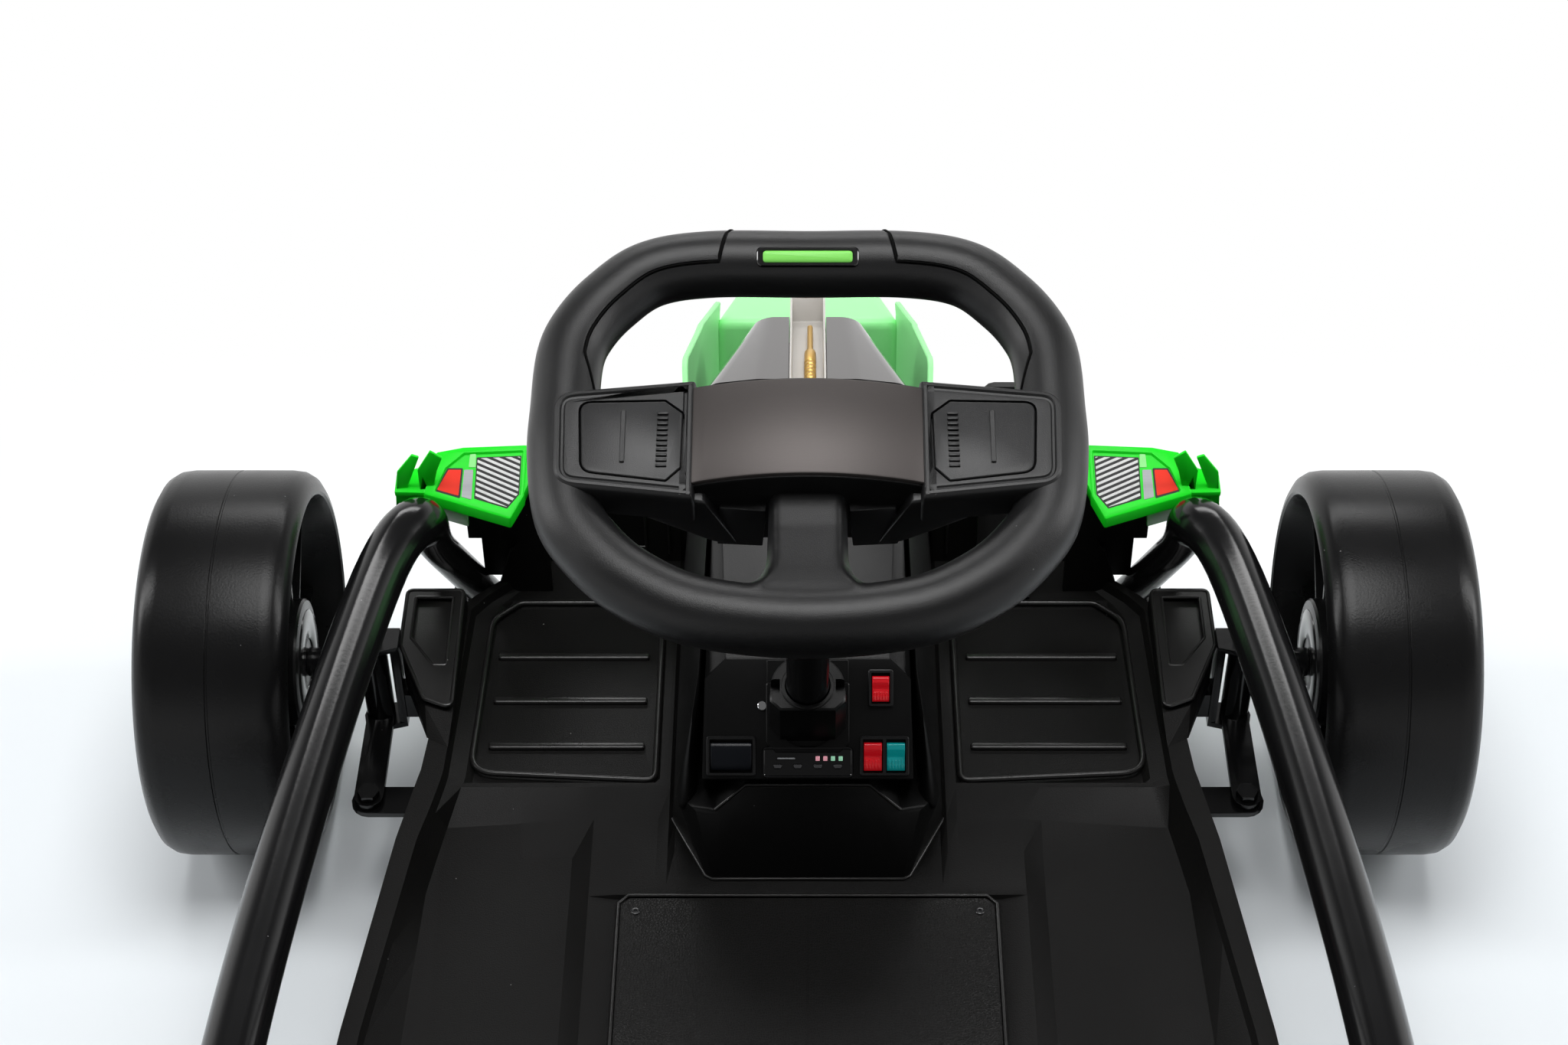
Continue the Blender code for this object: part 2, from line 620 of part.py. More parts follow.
def build_knuckles():
    tube_low = YOKE_LOW_Z + YOKE_PLATE + RUNNING_GAP
    tube_high = YOKE_HIGH_Z - YOKE_PLATE - RUNNING_GAP
    stub_end = WHEEL_CENTRE_X + WHEEL_WIDTH / 2 - WHEEL_HUB_SETBACK - 0.014
    for side, label in ((-1, "left"), (1, "right")):
        axis = at(side * KINGPIN_X, FRONT_AXLE_Y, 0)
        knuckle = cylinder(f"steering_knuckle_{label}", KNUCKLE_RADIUS, tube_low, tube_high,
                           "gloss_black_steel", axis, 24)
        stub_matrix = along((side * KINGPIN_X, FRONT_AXLE_Y, WHEEL_RADIUS), (side, 0, 0))
        join(knuckle, cylinder(f"stub_axle_{label}", STUB_RADIUS, 0.005, stub_end - KINGPIN_X + 0.010,
                               None, stub_matrix, 16))
        shoulder_end = WHEEL_CENTRE_X - WHEEL_WIDTH / 2 + WHEEL_HUB_SETBACK - KINGPIN_X - GAP
        join(knuckle, cylinder(f"stub_shoulder_{label}", STUB_RADIUS + 0.003, 0.004, shoulder_end,
                               None, stub_matrix, 16))
        washer_start = stub_end - KINGPIN_X + RUNNING_GAP
        join(knuckle, cylinder(f"stub_nut_{label}", STUB_RADIUS + 0.005, washer_start, washer_start + 0.008,
                               None, stub_matrix, 12))
        arm_mid_z = tube_low + ARM_THICKNESS / 2
        rear = [(ARM_HALF_WIDTH * math.cos(a), -ARM_LENGTH + ARM_HALF_WIDTH * math.sin(a))
                for a in (-math.pi * step / 8 for step in range(9))]
        front = [(-ARM_HALF_WIDTH * 0.95, 0.0), (ARM_HALF_WIDTH * 0.95, 0.0)]
        arm = plate(f"steering_arm_{label}", rear + front, ARM_THICKNESS, None,
                    at(side * KINGPIN_X, FRONT_AXLE_Y, arm_mid_z),
                    holes=[circle(TIE_BOLT_RADIUS + GAP, centre=(0, -ARM_LENGTH), count=16)])
        join(knuckle, to_mesh(arm))
        cut(knuckle, cylinder(f"kingpin_bore_{label}", KINGPIN_RADIUS + GAP, 0.05, 0.16, None, axis, 16))
        bolt(f"kingpin_{label}", KINGPIN_RADIUS, YOKE_LOW_Z - 0.008, YOKE_HIGH_Z + GAP, 0.005,
             YOKE_LOW_Z - GAP, axis)

        tie_top = tube_low - GAP
        tie_bottom = tie_top - TIE_THICKNESS
        bolt(f"tie_bolt_{label}", TIE_BOLT_RADIUS, tie_bottom - 0.007, tube_low + ARM_THICKNESS + GAP, 0.004,
             tie_bottom - GAP, at(side * KINGPIN_X, FRONT_AXLE_Y - ARM_LENGTH, 0))


def build_tie_bar():
    tube_low = YOKE_LOW_Z + YOKE_PLATE + RUNNING_GAP
    mid_z = tube_low - GAP - TIE_THICKNESS / 2
    tongue = 0.013
    tongue_rear = SLOT_REAR_Y - 0.010 - (FRONT_AXLE_Y - ARM_LENGTH)
    right_end = [(KINGPIN_X + TIE_HALF_WIDTH * math.cos(a), TIE_HALF_WIDTH * math.sin(a))
                 for a in (-math.pi / 2 + math.pi * step / 8 for step in range(9))]
    left_end = [(-x, -y) for x, y in right_end]
    outline = (right_end + left_end
               + [(-tongue, -TIE_HALF_WIDTH), (-tongue, tongue_rear), (tongue, tongue_rear),
                  (tongue, -TIE_HALF_WIDTH)])
    base_y = FRONT_AXLE_Y - ARM_LENGTH
    slot = rounded([(-SLOT_HALF_WIDTH, SLOT_REAR_Y - base_y), (SLOT_HALF_WIDTH, SLOT_REAR_Y - base_y),
                    (SLOT_HALF_WIDTH, SLOT_FRONT_Y - base_y), (-SLOT_HALF_WIDTH, SLOT_FRONT_Y - base_y)],
                   SLOT_HALF_WIDTH * 0.9, 3)
    ends = [circle(TIE_BOLT_RADIUS + GAP, centre=(side * KINGPIN_X, 0), count=16) for side in (-1, 1)]
    bar = plate("tie_bar", [(x + KINGPIN_X, y) for x, y in outline], TIE_THICKNESS, "gloss_black_steel",
                at(-KINGPIN_X, base_y, mid_z),
                holes=[[(x + KINGPIN_X, y) for x, y in loop] for loop in (slot, *ends)])
    return bar


# Steering column and wheel

def build_column():
    top = HUB_DISTANCE + CROSSBAR_DEEP - GAP
    bottom = PITMAN_DISTANCE - PITMAN_THICKNESS / 2
    profile = [(0.0, top), (SLEEVE_RADIUS, top), (SLEEVE_RADIUS, SLEEVE_LOW), (SHAFT_RADIUS, SLEEVE_LOW),
               (SHAFT_RADIUS, bottom), (0.0, bottom)]
    shaft = turned("steering_shaft", profile, 24, "gloss_black_steel", column_frame(0.0))
    rear = [(0.010 * math.cos(a), -PITMAN_LENGTH + 0.010 * math.sin(a))
            for a in (-math.pi * step / 8 for step in range(9))]
    front = [(0.013 * math.cos(a), 0.013 * math.sin(a)) for a in (math.pi * step / 8 for step in range(9))]
    arm = plate("pitman_plate", [*rear, *front[::-1]][::-1], PITMAN_THICKNESS, None,
                column_frame(PITMAN_DISTANCE))
    join(shaft, to_mesh(arm))
    pin = cylinder("pitman_pin", PITMAN_PIN_RADIUS, -0.0195, 0.0, None,
                   column_frame(PITMAN_DISTANCE) @ at(0, -PITMAN_LENGTH, 0), 16)
    join(shaft, pin)


def rim_line():
    """Middle line of the rim, clockwise from the top, in the wheel's plane."""
    right = [(0.0500, 0.1127), (0.0810, 0.1061), (0.1013, 0.0890), (0.1139, 0.0713), (0.1200, 0.0540),
             (0.1212, 0.0244), (0.1215, -0.0028), (0.1168, -0.0370), (0.1055, -0.0568), (0.0852, -0.0762),
             (0.0525, -0.0922)]
    left = [(-x, y) for x, y in right[::-1]]
    corners = [(0.0, 0.1127), *right, (0.0, -0.0982), *left]
    return through([(x, y + RIM_RISE, -RIM_SETBACK) for x, y in corners], 2, cyclic=True)


def pad_outline(side, margin):
    """Outline of a thumb pad: cut corners towards the hub, rounded ones outside."""
    inner, outer = PAD_INNER_X - margin, PAD_OUTER_X + margin
    low, high = PAD_LOW - margin, PAD_HIGH + margin
    slant = 0.0025
    corners = [(inner, low + PAD_CORNER), (inner + PAD_CORNER, low), (outer, low + slant),
               (outer, high - slant), (inner + PAD_CORNER, high), (inner, high - PAD_CORNER)]
    outline = rounded(corners, 0.003, 2)
    return [(side * x, y) for x, y in outline][::side]


def build_steering_wheel():
    wheel = tube("steering_wheel", rim_line(), RIM_RADIUS, "grip_black_plastic", 4, cyclic=True)
    wheel.matrix_world = column_frame(HUB_DISTANCE)
    bpy.context.view_layer.update()
    wheel = to_mesh(wheel)
    frame = column_frame(HUB_DISTANCE)

    deep = CROSSBAR_DEEP
    for side in (-1, 1):
        crossbar = [(0.0, HUB_LOW + 0.002, CROSSBAR_TOP), (0.0, HUB_HIGH - 0.002, CROSSBAR_TOP),
                    (0.120, -0.0224, CROSSBAR_TOP), (0.124, -0.0163, CROSSBAR_TOP),
                    (0.124, 0.0173, CROSSBAR_TOP), (0.120, 0.0229, CROSSBAR_TOP),
                    (0.0, HUB_LOW + 0.004, deep), (0.0, HUB_HIGH - 0.006, deep),
                    (0.034, HUB_LOW + 0.004, deep), (0.034, HUB_HIGH - 0.006, deep),
                    (0.112, -0.0190, -0.0190), (0.112, 0.0190, -0.0190),
                    (0.118, -0.0152, -0.0120), (0.118, 0.0152, -0.0120)]
        join(wheel, hull(f"crossbar_{side}", mirrored(crossbar, side), None, frame))
    spoke = [(-0.0168, -0.020, -0.004), (0.0168, -0.020, -0.004), (-0.0168, -0.060, -0.002),
             (0.0168, -0.060, -0.002), (-0.0235, -0.094, -0.0025), (0.0235, -0.094, -0.0025),
             (-0.0235, -0.100, -0.0265), (0.0235, -0.100, -0.0265), (-0.0168, -0.020, -0.030),
             (0.0168, -0.020, -0.030)]
    join(wheel, hull("lower_spoke", spoke, None, frame))
    sleeve_socket = cylinder("sleeve_socket", SLEEVE_RADIUS + 0.004, deep - 0.015, deep + 0.004, None, frame, 24)
    join(wheel, sleeve_socket)
    socket_bore = cylinder("socket_bore", SLEEVE_RADIUS + GAP, deep - 0.030, deep, None, frame, 24)
    cut(wheel, socket_bore)

    for side, label in ((-1, "left"), (1, "right")):
        pocket_depth = PAD_THICKNESS - PAD_PROUD + PAD_TRAVEL + RUNNING_GAP
        pocket = plate(f"pad_pocket_{label}", pad_outline(side, RUNNING_GAP), pocket_depth + 0.002, None,
                       frame @ at(0, 0, CROSSBAR_TOP - pocket_depth / 2 + 0.001))
        cut(wheel, to_mesh(pocket))
        plate(f"thumb_pad_{label}", pad_outline(side, 0.0), PAD_THICKNESS, "grip_black_plastic",
              frame @ at(0, 0, CROSSBAR_TOP + PAD_PROUD - PAD_THICKNESS / 2))

    corner = rounded([(-LIGHT_HALF_LENGTH, -LIGHT_HALF_WIDTH), (LIGHT_HALF_LENGTH, -LIGHT_HALF_WIDTH),
                      (LIGHT_HALF_LENGTH, LIGHT_HALF_WIDTH), (-LIGHT_HALF_LENGTH, LIGHT_HALF_WIDTH)], 0.0028, 3)
    wide = [(x * (1 + GAP / LIGHT_HALF_LENGTH), y * (1 + GAP / LIGHT_HALF_WIDTH)) for x, y in corner]
    light_frame = frame @ at(0, 0.1127 + RIM_RISE, -RIM_SETBACK) @ Matrix.Rotation(LIGHT_TILT, 4, "X")
    light_low = RIM_RADIUS - LIGHT_THICKNESS + 0.0006
    slot = plate("light_slot", wide, 0.010, None, light_frame @ at(0, 0, light_low - GAP + 0.005))
    cut(wheel, to_mesh(slot))
    plate("wheel_light_bar", corner, LIGHT_THICKNESS, "light_green",
          light_frame @ at(0, 0, light_low + LIGHT_THICKNESS / 2))
    build_hub_cover(frame)


def build_hub_cover(frame):
    """The bowed cover over the hub, a segment of a cylinder across the wheel."""
    steps = 10
    base = CROSSBAR_TOP + GAP
    bm = bmesh.new()
    rows = []
    for step in range(steps + 1):
        x = -HUB_HALF_WIDTH + 2 * HUB_HALF_WIDTH * step / steps
        share = 1 - (x / HUB_HALF_WIDTH) ** 2
        top = base + HUB_COVER_THICKNESS + HUB_BOW * share
        bulge = 0.0015 * share
        rows.append([bm.verts.new((x, HUB_LOW - bulge, top - 0.001)), bm.verts.new((x, HUB_HIGH + bulge, top)),
                     bm.verts.new((x, HUB_HIGH, base)), bm.verts.new((x, HUB_LOW, base))])
    for first, second in zip(rows, rows[1:]):
        for index in range(4):
            after = (index + 1) % 4
            bm.faces.new((first[index], second[index], second[after], first[after]))
    bm.faces.new(rows[0][::-1])
    bm.faces.new(rows[-1])
    bmesh.ops.recalc_face_normals(bm, faces=bm.faces)
    mesh = bpy.data.meshes.new("wheel_hub_cover")
    bm.to_mesh(mesh)
    bm.free()
    add("wheel_hub_cover", mesh, "dark_metallic_plastic", frame)


# Floor tray

TRAY_EDGE = ((-0.300, 0.2380), (-0.220, 0.2640), (-0.100, 0.2700), (0.020, 0.2600), (0.158, 0.2440),
             (0.197, 0.2375), (0.220, 0.2330), (0.348, 0.2240), (0.360, 0.2150), (0.3760, 0.1975), (0.3955, 0.1890),
             (0.412, 0.1880))
TRAY_FLANGE = ((-0.300, 0.2230), (-0.220, 0.2500), (-0.100, 0.2570), (0.020, 0.2480), (0.110, 0.2370),
               (0.158, 0.2305), (0.197, 0.2218), (0.220, 0.2190), (0.348, 0.2150), (0.360, 0.2060),
               (0.3760, 0.1890), (0.3955, 0.1830), (0.412, 0.1820))
TRAY_FOOT = ((-0.300, 0.2050), (-0.220, 0.2300), (0.020, 0.2280), (0.134, 0.2245), (0.1830, 0.2165),
             (0.2105, 0.2075), (0.348, 0.2030), (0.360, 0.1970), (0.3760, 0.1830), (0.3955, 0.1760), (0.412, 0.1750))
TRAY_X = (0.0, 0.079, 0.083, 0.0895, 0.0925, 0.1118, 0.128, 0.140, 0.172)
TRAY_Y = (-0.300, -0.220, -0.1065, -0.1050, 0.020, 0.086, 0.1239, 0.1252, 0.1320, 0.158, 0.183, 0.2050,
          0.2085, 0.2120, 0.300, 0.348, 0.360, 0.364, 0.376, 0.3900, 0.3955, 0.4005, 0.4045, 0.412)


def tray_height(u, y, outer):
    """Height of the tray's top at a distance u from the middle line."""
    if outer >= 3:
        return {3: FLANGE_Z - 0.006, 4: FLANGE_Z, 5: FLANGE_Z, 6: FLOOR_TOP_Z + 0.002}[outer]
    if y >= TOE_WALL_Y + 0.003 and u > 0.081:
        return TOE_WALL_Z
    if y > 0.130 and u < 0.081:
        return PLATEAU_Z
    if y >= 0.2045:
        in_pan = 0.0900 < u and outer < 2 and 0.2110 < y < 0.3630
        return PAN_Z if in_pan else LEDGE_Z
    if y > 0.130 and u < 0.0850:
        return blend(y, ((0.130, PLATEAU_Z), (0.2050, LEDGE_Z)))
    crease = blend(u, ((0.135, 0.150), (0.215, 0.198)))
    ramp = blend(y, ((crease, FLOOR_TOP_Z), (0.2050, LEDGE_Z)))
    across = blend(u, ((0.128, PLATEAU_Z), (0.140, FLOOR_TOP_Z)))
    if u < 0.112 and COVER_REAR_Y - 0.0007 < y < COVER_FRONT_Y + 0.0007:
        return PLATEAU_Z - COVER_THICKNESS - GAP
    if outer == 2:
        return max(ramp, FLOOR_TOP_Z)
    return max(ramp, across)


def tray_stations(y):
    edge, flange, foot = blend(y, TRAY_EDGE), blend(y, TRAY_FLANGE), blend(y, TRAY_FOOT)
    inner = [(min(u, foot - 0.010 + 0.0003 * index), 0) for index, u in enumerate(TRAY_X)]
    outer = [(foot - 0.004, 1), (foot, 2), (flange - 0.0025, 3), (flange, 4), (edge - 0.001, 5), (edge, 6)]
    return inner + outer


def build_ear(side):
    """The upright panel at a front corner of the tray, which carries a wing, with a notch for the side bar's leg."""
    top = wing_height(EAR_Y - EAR_THICKNESS / 2, WING_THICKNESS) - GAP
    notch = [(0.1900 - 0.0048 * math.sin(math.pi * step / 6), 0.1546 + 0.0094 * math.cos(math.pi * step / 6))
             for step in range(7)]
    outline = [(0.2090, top), (0.2090, 0.1640), *notch, (0.1985, 0.1170), (0.1900, 0.1095), (0.1650, 0.1095), (0.1650, top)]
    upright = Matrix(((1, 0, 0, 0), (0, 0, -1, 0), (0, 1, 0, 0), (0, 0, 0, 1)))
    return to_mesh(plate(f"tray_ear_{side}", [(side * x, z) for x, z in outline][::side], EAR_THICKNESS, None,
                         at(0, EAR_Y, 0) @ upright))


def build_tray():
    bm = bmesh.new()
    rows = []
    for y in TRAY_Y:
        half = tray_stations(y)
        right = [(u, tray_height(u, y, outer)) for u, outer in half]
        row = [(-u, z) for u, z in right[:0:-1]] + right
        rows.append([bm.verts.new((x, y, z)) for x, z in row])
    for first, second in zip(rows, rows[1:]):
        for index in range(len(first) - 1):
            bm.faces.new((first[index], first[index + 1], second[index + 1], second[index]))
    mesh = bpy.data.meshes.new("floor_tray")
    bm.to_mesh(mesh)
    bm.free()
    tray = add("floor_tray", mesh, "matt_black_tray")
    solidify = tray.modifiers.new("wall", "SOLIDIFY")
    solidify.thickness = TRAY_WALL
    solidify.offset = -1.0

    for side in (-1, 1):
        for index, y in enumerate(RIB_Y):
            xs = sorted((side * RIB_INNER_X, side * RIB_OUTER_X))
            rib = box(f"tread_rib_{side}_{index}", (xs[0], y - RIB_WIDTH / 2, PAN_Z - 0.001),
                      (xs[1], y + RIB_WIDTH / 2, PAN_Z + RIB_HEIGHT), None)
            join(tray, rib)
        pod_x = BEAM_HALF_LENGTH - POD_CLEARANCE
        pod = [(0.2170, 0.3480, 0.1320), (pod_x - 0.0010, 0.3480, 0.1320), (pod_x, 0.3010, 0.1300),
               (0.2345, 0.2560, 0.1270), (0.2170, 0.2500, 0.1270), (0.2325, 0.2380, 0.1180), (0.2190, 0.2300, 0.1180),
               (0.2170, 0.3480, 0.1000),
               (pod_x - 0.0010, 0.3480, 0.1000), (pod_x, 0.3010, 0.0980), (0.2340, 0.2500, 0.1050),
               (0.2170, 0.2440, 0.1050)]
        join(tray, hull(f"side_pod_{side}", mirrored(pod, side), None))
        join(tray, build_ear(side))
    bay = box("battery_bay_opening", (-BATTERY_BAY_HALF_WIDTH, BATTERY_BAY_REAR_Y, 0.05),
              (BATTERY_BAY_HALF_WIDTH, BATTERY_BAY_FRONT_Y, 0.15), None)
    cut(tray, bay)
    column_hole = cylinder("column_hole", SHAFT_RADIUS + 0.002, -0.130, -0.060, None, column_frame(0.0), 20)
    cut(tray, column_hole)

    cover = box("battery_cover", (-COVER_HALF_WIDTH, COVER_REAR_Y + 0.0002, PLATEAU_Z - COVER_THICKNESS),
                (COVER_HALF_WIDTH, COVER_FRONT_Y, PLATEAU_Z), "leather_black")
    return cover


def build_battery():
    wall = 0.003
    low = 0.030
    top = PLATEAU_Z - COVER_THICKNESS - GAP - TRAY_WALL - GAP
    half = BATTERY_BAY_HALF_WIDTH + 0.008
    front, rear = BATTERY_BAY_FRONT_Y + 0.006, BATTERY_BAY_REAR_Y - 0.006
    tub = box("battery_tub", (-half, rear, low), (half, front, top - 0.0), "satin_black_plastic")
    hollow = box("battery_tub_hollow", (-half + wall, rear + wall, low + wall), (half - wall, front - wall, top + 0.02),
                 None)
    cut(tub, hollow)
    middle = (front + rear) / 2
    box("battery_pack", (-0.0950, middle - 0.0755, low + wall + GAP),
        (0.0950, middle + 0.0755, low + wall + GAP + 0.0640), "battery_grey")


# Console and controls

def build_console():
    low_y, low_z = PANEL_LOW
    high_y, high_z = PANEL_HIGH
    drop = PANEL_THICKNESS + GAP
    slope = math.atan2(high_z - low_z, high_y - low_y)
    back = Vector((0.0, math.sin(slope) * drop, -math.cos(slope) * drop))
    points = []
    for side in (-1, 1):
        points += [(side * 0.0610, 0.1385, CONSOLE_BASE_Z), (side * 0.0785, 0.1490, 0.1500),
                   tuple(Vector((side * 0.0600, low_y, low_z)) + back),
                   tuple(Vector((side * 0.0585, high_y, high_z)) + back),
                   (side * 0.0540, 0.3540, 0.2850), (side * 0.0790, 0.3540, 0.1500),
                   (side * 0.0785, 0.3540, CONSOLE_BASE_Z), (side * 0.0785, 0.2000, CONSOLE_BASE_Z)]
    body = open_hull("console_body", points, CONSOLE_WALL, "satin_black_plastic", (0, 0, -1))
    cut(body, cylinder("column_clearance", SLEEVE_RADIUS + 0.0015, -0.070, 0.070, None, column_frame(0.0), 24))

    frame = panel_frame()
    length = math.hypot(high_y - low_y, high_z - low_z)
    outline = [(-PANEL_HALF_LOW, 0.0), (PANEL_HALF_LOW, 0.0), (PANEL_HALF_HIGH, length - PANEL_CORNER),
               (PANEL_HALF_HIGH - PANEL_CORNER, length), (-PANEL_HALF_HIGH + PANEL_CORNER, length),
               (-PANEL_HALF_HIGH, length - PANEL_CORNER)]
    panel = plate("console_panel", outline, PANEL_THICKNESS, "satin_black_plastic",
                  frame @ at(0, 0, -PANEL_THICKNESS / 2))
    panel = to_mesh(panel)
    cut(panel, cylinder("panel_column_hole", SLEEVE_RADIUS + 0.0015, -0.070, 0.070, None, column_frame(0.0), 24))
    build_collar(frame)
    build_switches(panel, body, frame)


def build_collar(frame):
    """The bearing collar that carries the column on the panel."""
    low = -0.030
    corners = [(-COLLAR_HALF_WIDTH + COLLAR_CORNER, -COLLAR_FRONT), (COLLAR_HALF_WIDTH - COLLAR_CORNER, -COLLAR_FRONT),
               (COLLAR_HALF_WIDTH, -COLLAR_FRONT + COLLAR_CORNER)]
    corners += [(COLLAR_HALF_WIDTH * math.cos(math.pi * step / 12), COLLAR_HALF_WIDTH * math.sin(math.pi * step / 12))
                for step in range(13)]
    corners.append((-COLLAR_HALF_WIDTH, -COLLAR_FRONT + COLLAR_CORNER))
    collar = plate("column_collar", corners, COLLAR_TOP - low, "gloss_black_steel",
                   column_frame((COLLAR_TOP + low) / 2), holes=[circle(SLEEVE_RADIUS + GAP, count=24)])
    collar = to_mesh(collar)
    below = box("collar_foot_trim", (-0.05, -0.05, -0.10), (0.05, 0.15, GAP), None, frame)
    cut(collar, below)


BEZEL_PROUD = 0.0022
BEZEL_WALL = 0.0018
BEZEL_DEPTH = 0.0150
ROCKER_RADIUS = 0.0110
ROCKER_TILT = math.radians(9)
SWITCHES = (
    ("power", (0.0420, 0.0527), (0.0145, 0.0215), 1),
    ("horn", (-0.0441, 0.0137), (0.0283, 0.0230), 1),
    ("drive", (0.0441, 0.0137), (0.0283, 0.0230), 2),
)
ROCKERS = {"power": (("power_rocker", "red_switch"),), "horn": (("horn_rocker", "satin_black_plastic"),),
           "drive": (("direction_rocker", "red_switch"), ("speed_rocker", "teal_switch"))}
DISPLAY_CENTRE = (0.0, 0.0101)
DISPLAY_SIZE = (0.0526, 0.0181)
DISPLAY_DEPTH = 0.0080
BUTTON_SIZE = (0.0085, 0.0040)
BUTTON_HEIGHT = 0.0030
BUTTON_PITCH = 0.0115
BUTTON_TRAVEL = 0.0008


def rocker_cells(centre, size, count):
    """Middle and width of each rocker's cell in a bezel."""
    width = (size[0] - BEZEL_WALL * (count + 1)) / count
    start = centre[0] - size[0] / 2 + BEZEL_WALL + width / 2
    return [(start + index * (width + BEZEL_WALL), width) for index in range(count)]


def build_switches(panel, body, frame):
    for name, centre, size, count in SWITCHES:
        x, y = centre
        half_x, half_y = size[0] / 2, size[1] / 2
        hole = box(f"{name}_cutout", (x - half_x + 0.0010 - GAP, y - half_y + 0.0010 - GAP, -0.020),
                   (x + half_x - 0.0010 + GAP, y + half_y - 0.0010 + GAP, 0.010), None, frame)
        cut(panel, hole)
        body_hole = box(f"{name}_body_cutout", (x - half_x - GAP, y - half_y - GAP, -0.030),
                        (x + half_x + GAP, y + half_y + GAP, 0.010), None, frame)
        cut(body, body_hole)
        bezel = box(f"{name}_switch_bezel", (x - half_x, y - half_y, GAP), (x + half_x, y + half_y, BEZEL_PROUD),
                    "satin_black_plastic", frame)
        join(bezel, box(f"{name}_switch_case", (x - half_x + 0.0010, y - half_y + 0.0010, -BEZEL_DEPTH),
                        (x + half_x - 0.0010, y + half_y - 0.0010, GAP + 0.0005), None, frame))
        for (cell_x, width), (rocker_name, paint) in zip(rocker_cells(centre, size, count), ROCKERS[name]):
            well = box(f"{rocker_name}_well", (cell_x - width / 2, y - half_y + BEZEL_WALL, -BEZEL_DEPTH + 0.0015),
                       (cell_x + width / 2, y + half_y - BEZEL_WALL, 0.010), None, frame)
            cut(bezel, well)
            build_rocker(rocker_name, paint, frame @ at(cell_x, y, -0.0030), width / 2 - RUNNING_GAP,
                         half_y - BEZEL_WALL)
    build_display(panel, body, frame)


def build_rocker(name, paint, matrix, half_width, half_length):
    """A see-saw key about its own X axis, tilted to its rest side."""
    reach = half_length - 0.0015
    side = [(-reach, 0.0040), (-reach * 0.5, 0.0052), (0.0, 0.0040), (reach * 0.5, 0.0052), (reach, 0.0040),
            (reach * 0.9, -0.0020), (0.0035, -0.0075), (-0.0035, -0.0075), (-reach * 0.9, -0.0020)]
    upright = Matrix(((0, 0, 1, 0), (1, 0, 0, 0), (0, 1, 0, 0), (0, 0, 0, 1)))
    tilt = Matrix.Rotation(ROCKER_TILT, 4, "X")
    return plate(name, side, 2 * half_width, paint, matrix @ tilt @ upright)


def build_display(panel, body, frame):
    x, y = DISPLAY_CENTRE
    half_x, half_y = DISPLAY_SIZE[0] / 2, DISPLAY_SIZE[1] / 2
    cut(panel, box("display_cutout", (x - half_x + 0.0010 - GAP, y - half_y + 0.0010 - GAP, -0.020),
                   (x + half_x - 0.0010 + GAP, y + half_y - 0.0010 + GAP, 0.010), None, frame))
    cut(body, box("display_body_cutout", (x - half_x - GAP, y - half_y - GAP, -0.030),
                  (x + half_x + GAP, y + half_y + GAP, 0.010), None, frame))
    corners = [(x - half_x, y - half_y), (x + half_x, y - half_y), (x + half_x, y + half_y), (x - half_x, y + half_y)]
    module = plate("display_module", rounded(corners, 0.0030, 3), BEZEL_PROUD - GAP, "satin_black_plastic",
                   frame @ at(0, 0, (BEZEL_PROUD + GAP) / 2))
    module = to_mesh(module)
    join(module, box("display_case", (x - half_x + 0.0010, y - half_y + 0.0010, -DISPLAY_DEPTH),
                     (x + half_x - 0.0010, y + half_y - 0.0010, GAP + 0.0004), None, frame))
    for index in range(4):
        button_x = x + (index - 1.5) * BUTTON_PITCH
        button_y = y - 0.0024
        low = (button_x - BUTTON_SIZE[0] / 2, button_y - BUTTON_SIZE[1] / 2)
        high = (button_x + BUTTON_SIZE[0] / 2, button_y + BUTTON_SIZE[1] / 2)
        floor = BEZEL_PROUD + 0.0004 - BUTTON_HEIGHT - BUTTON_TRAVEL - GAP
        well = box(f"button_well_{index}", (low[0] - GAP, low[1] - GAP, floor), (high[0] + GAP, high[1] + GAP, 0.01),
                   None, frame)
        cut(module, well)
        top = BEZEL_PROUD + 0.0004
        box(f"display_button_{index + 1}", (*low, top - BUTTON_HEIGHT), (*high, top), "satin_black_plastic", frame)


# Pedal

PEDAL_X = (0.1080, 0.1440)
PEDAL_HINGE = (0.3705, 0.1205)
PEDAL_LENGTH = 0.146
PEDAL_ANGLE = math.radians(80)
PEDAL_PRESS = math.radians(10)
PEDAL_THICKNESS = 0.006


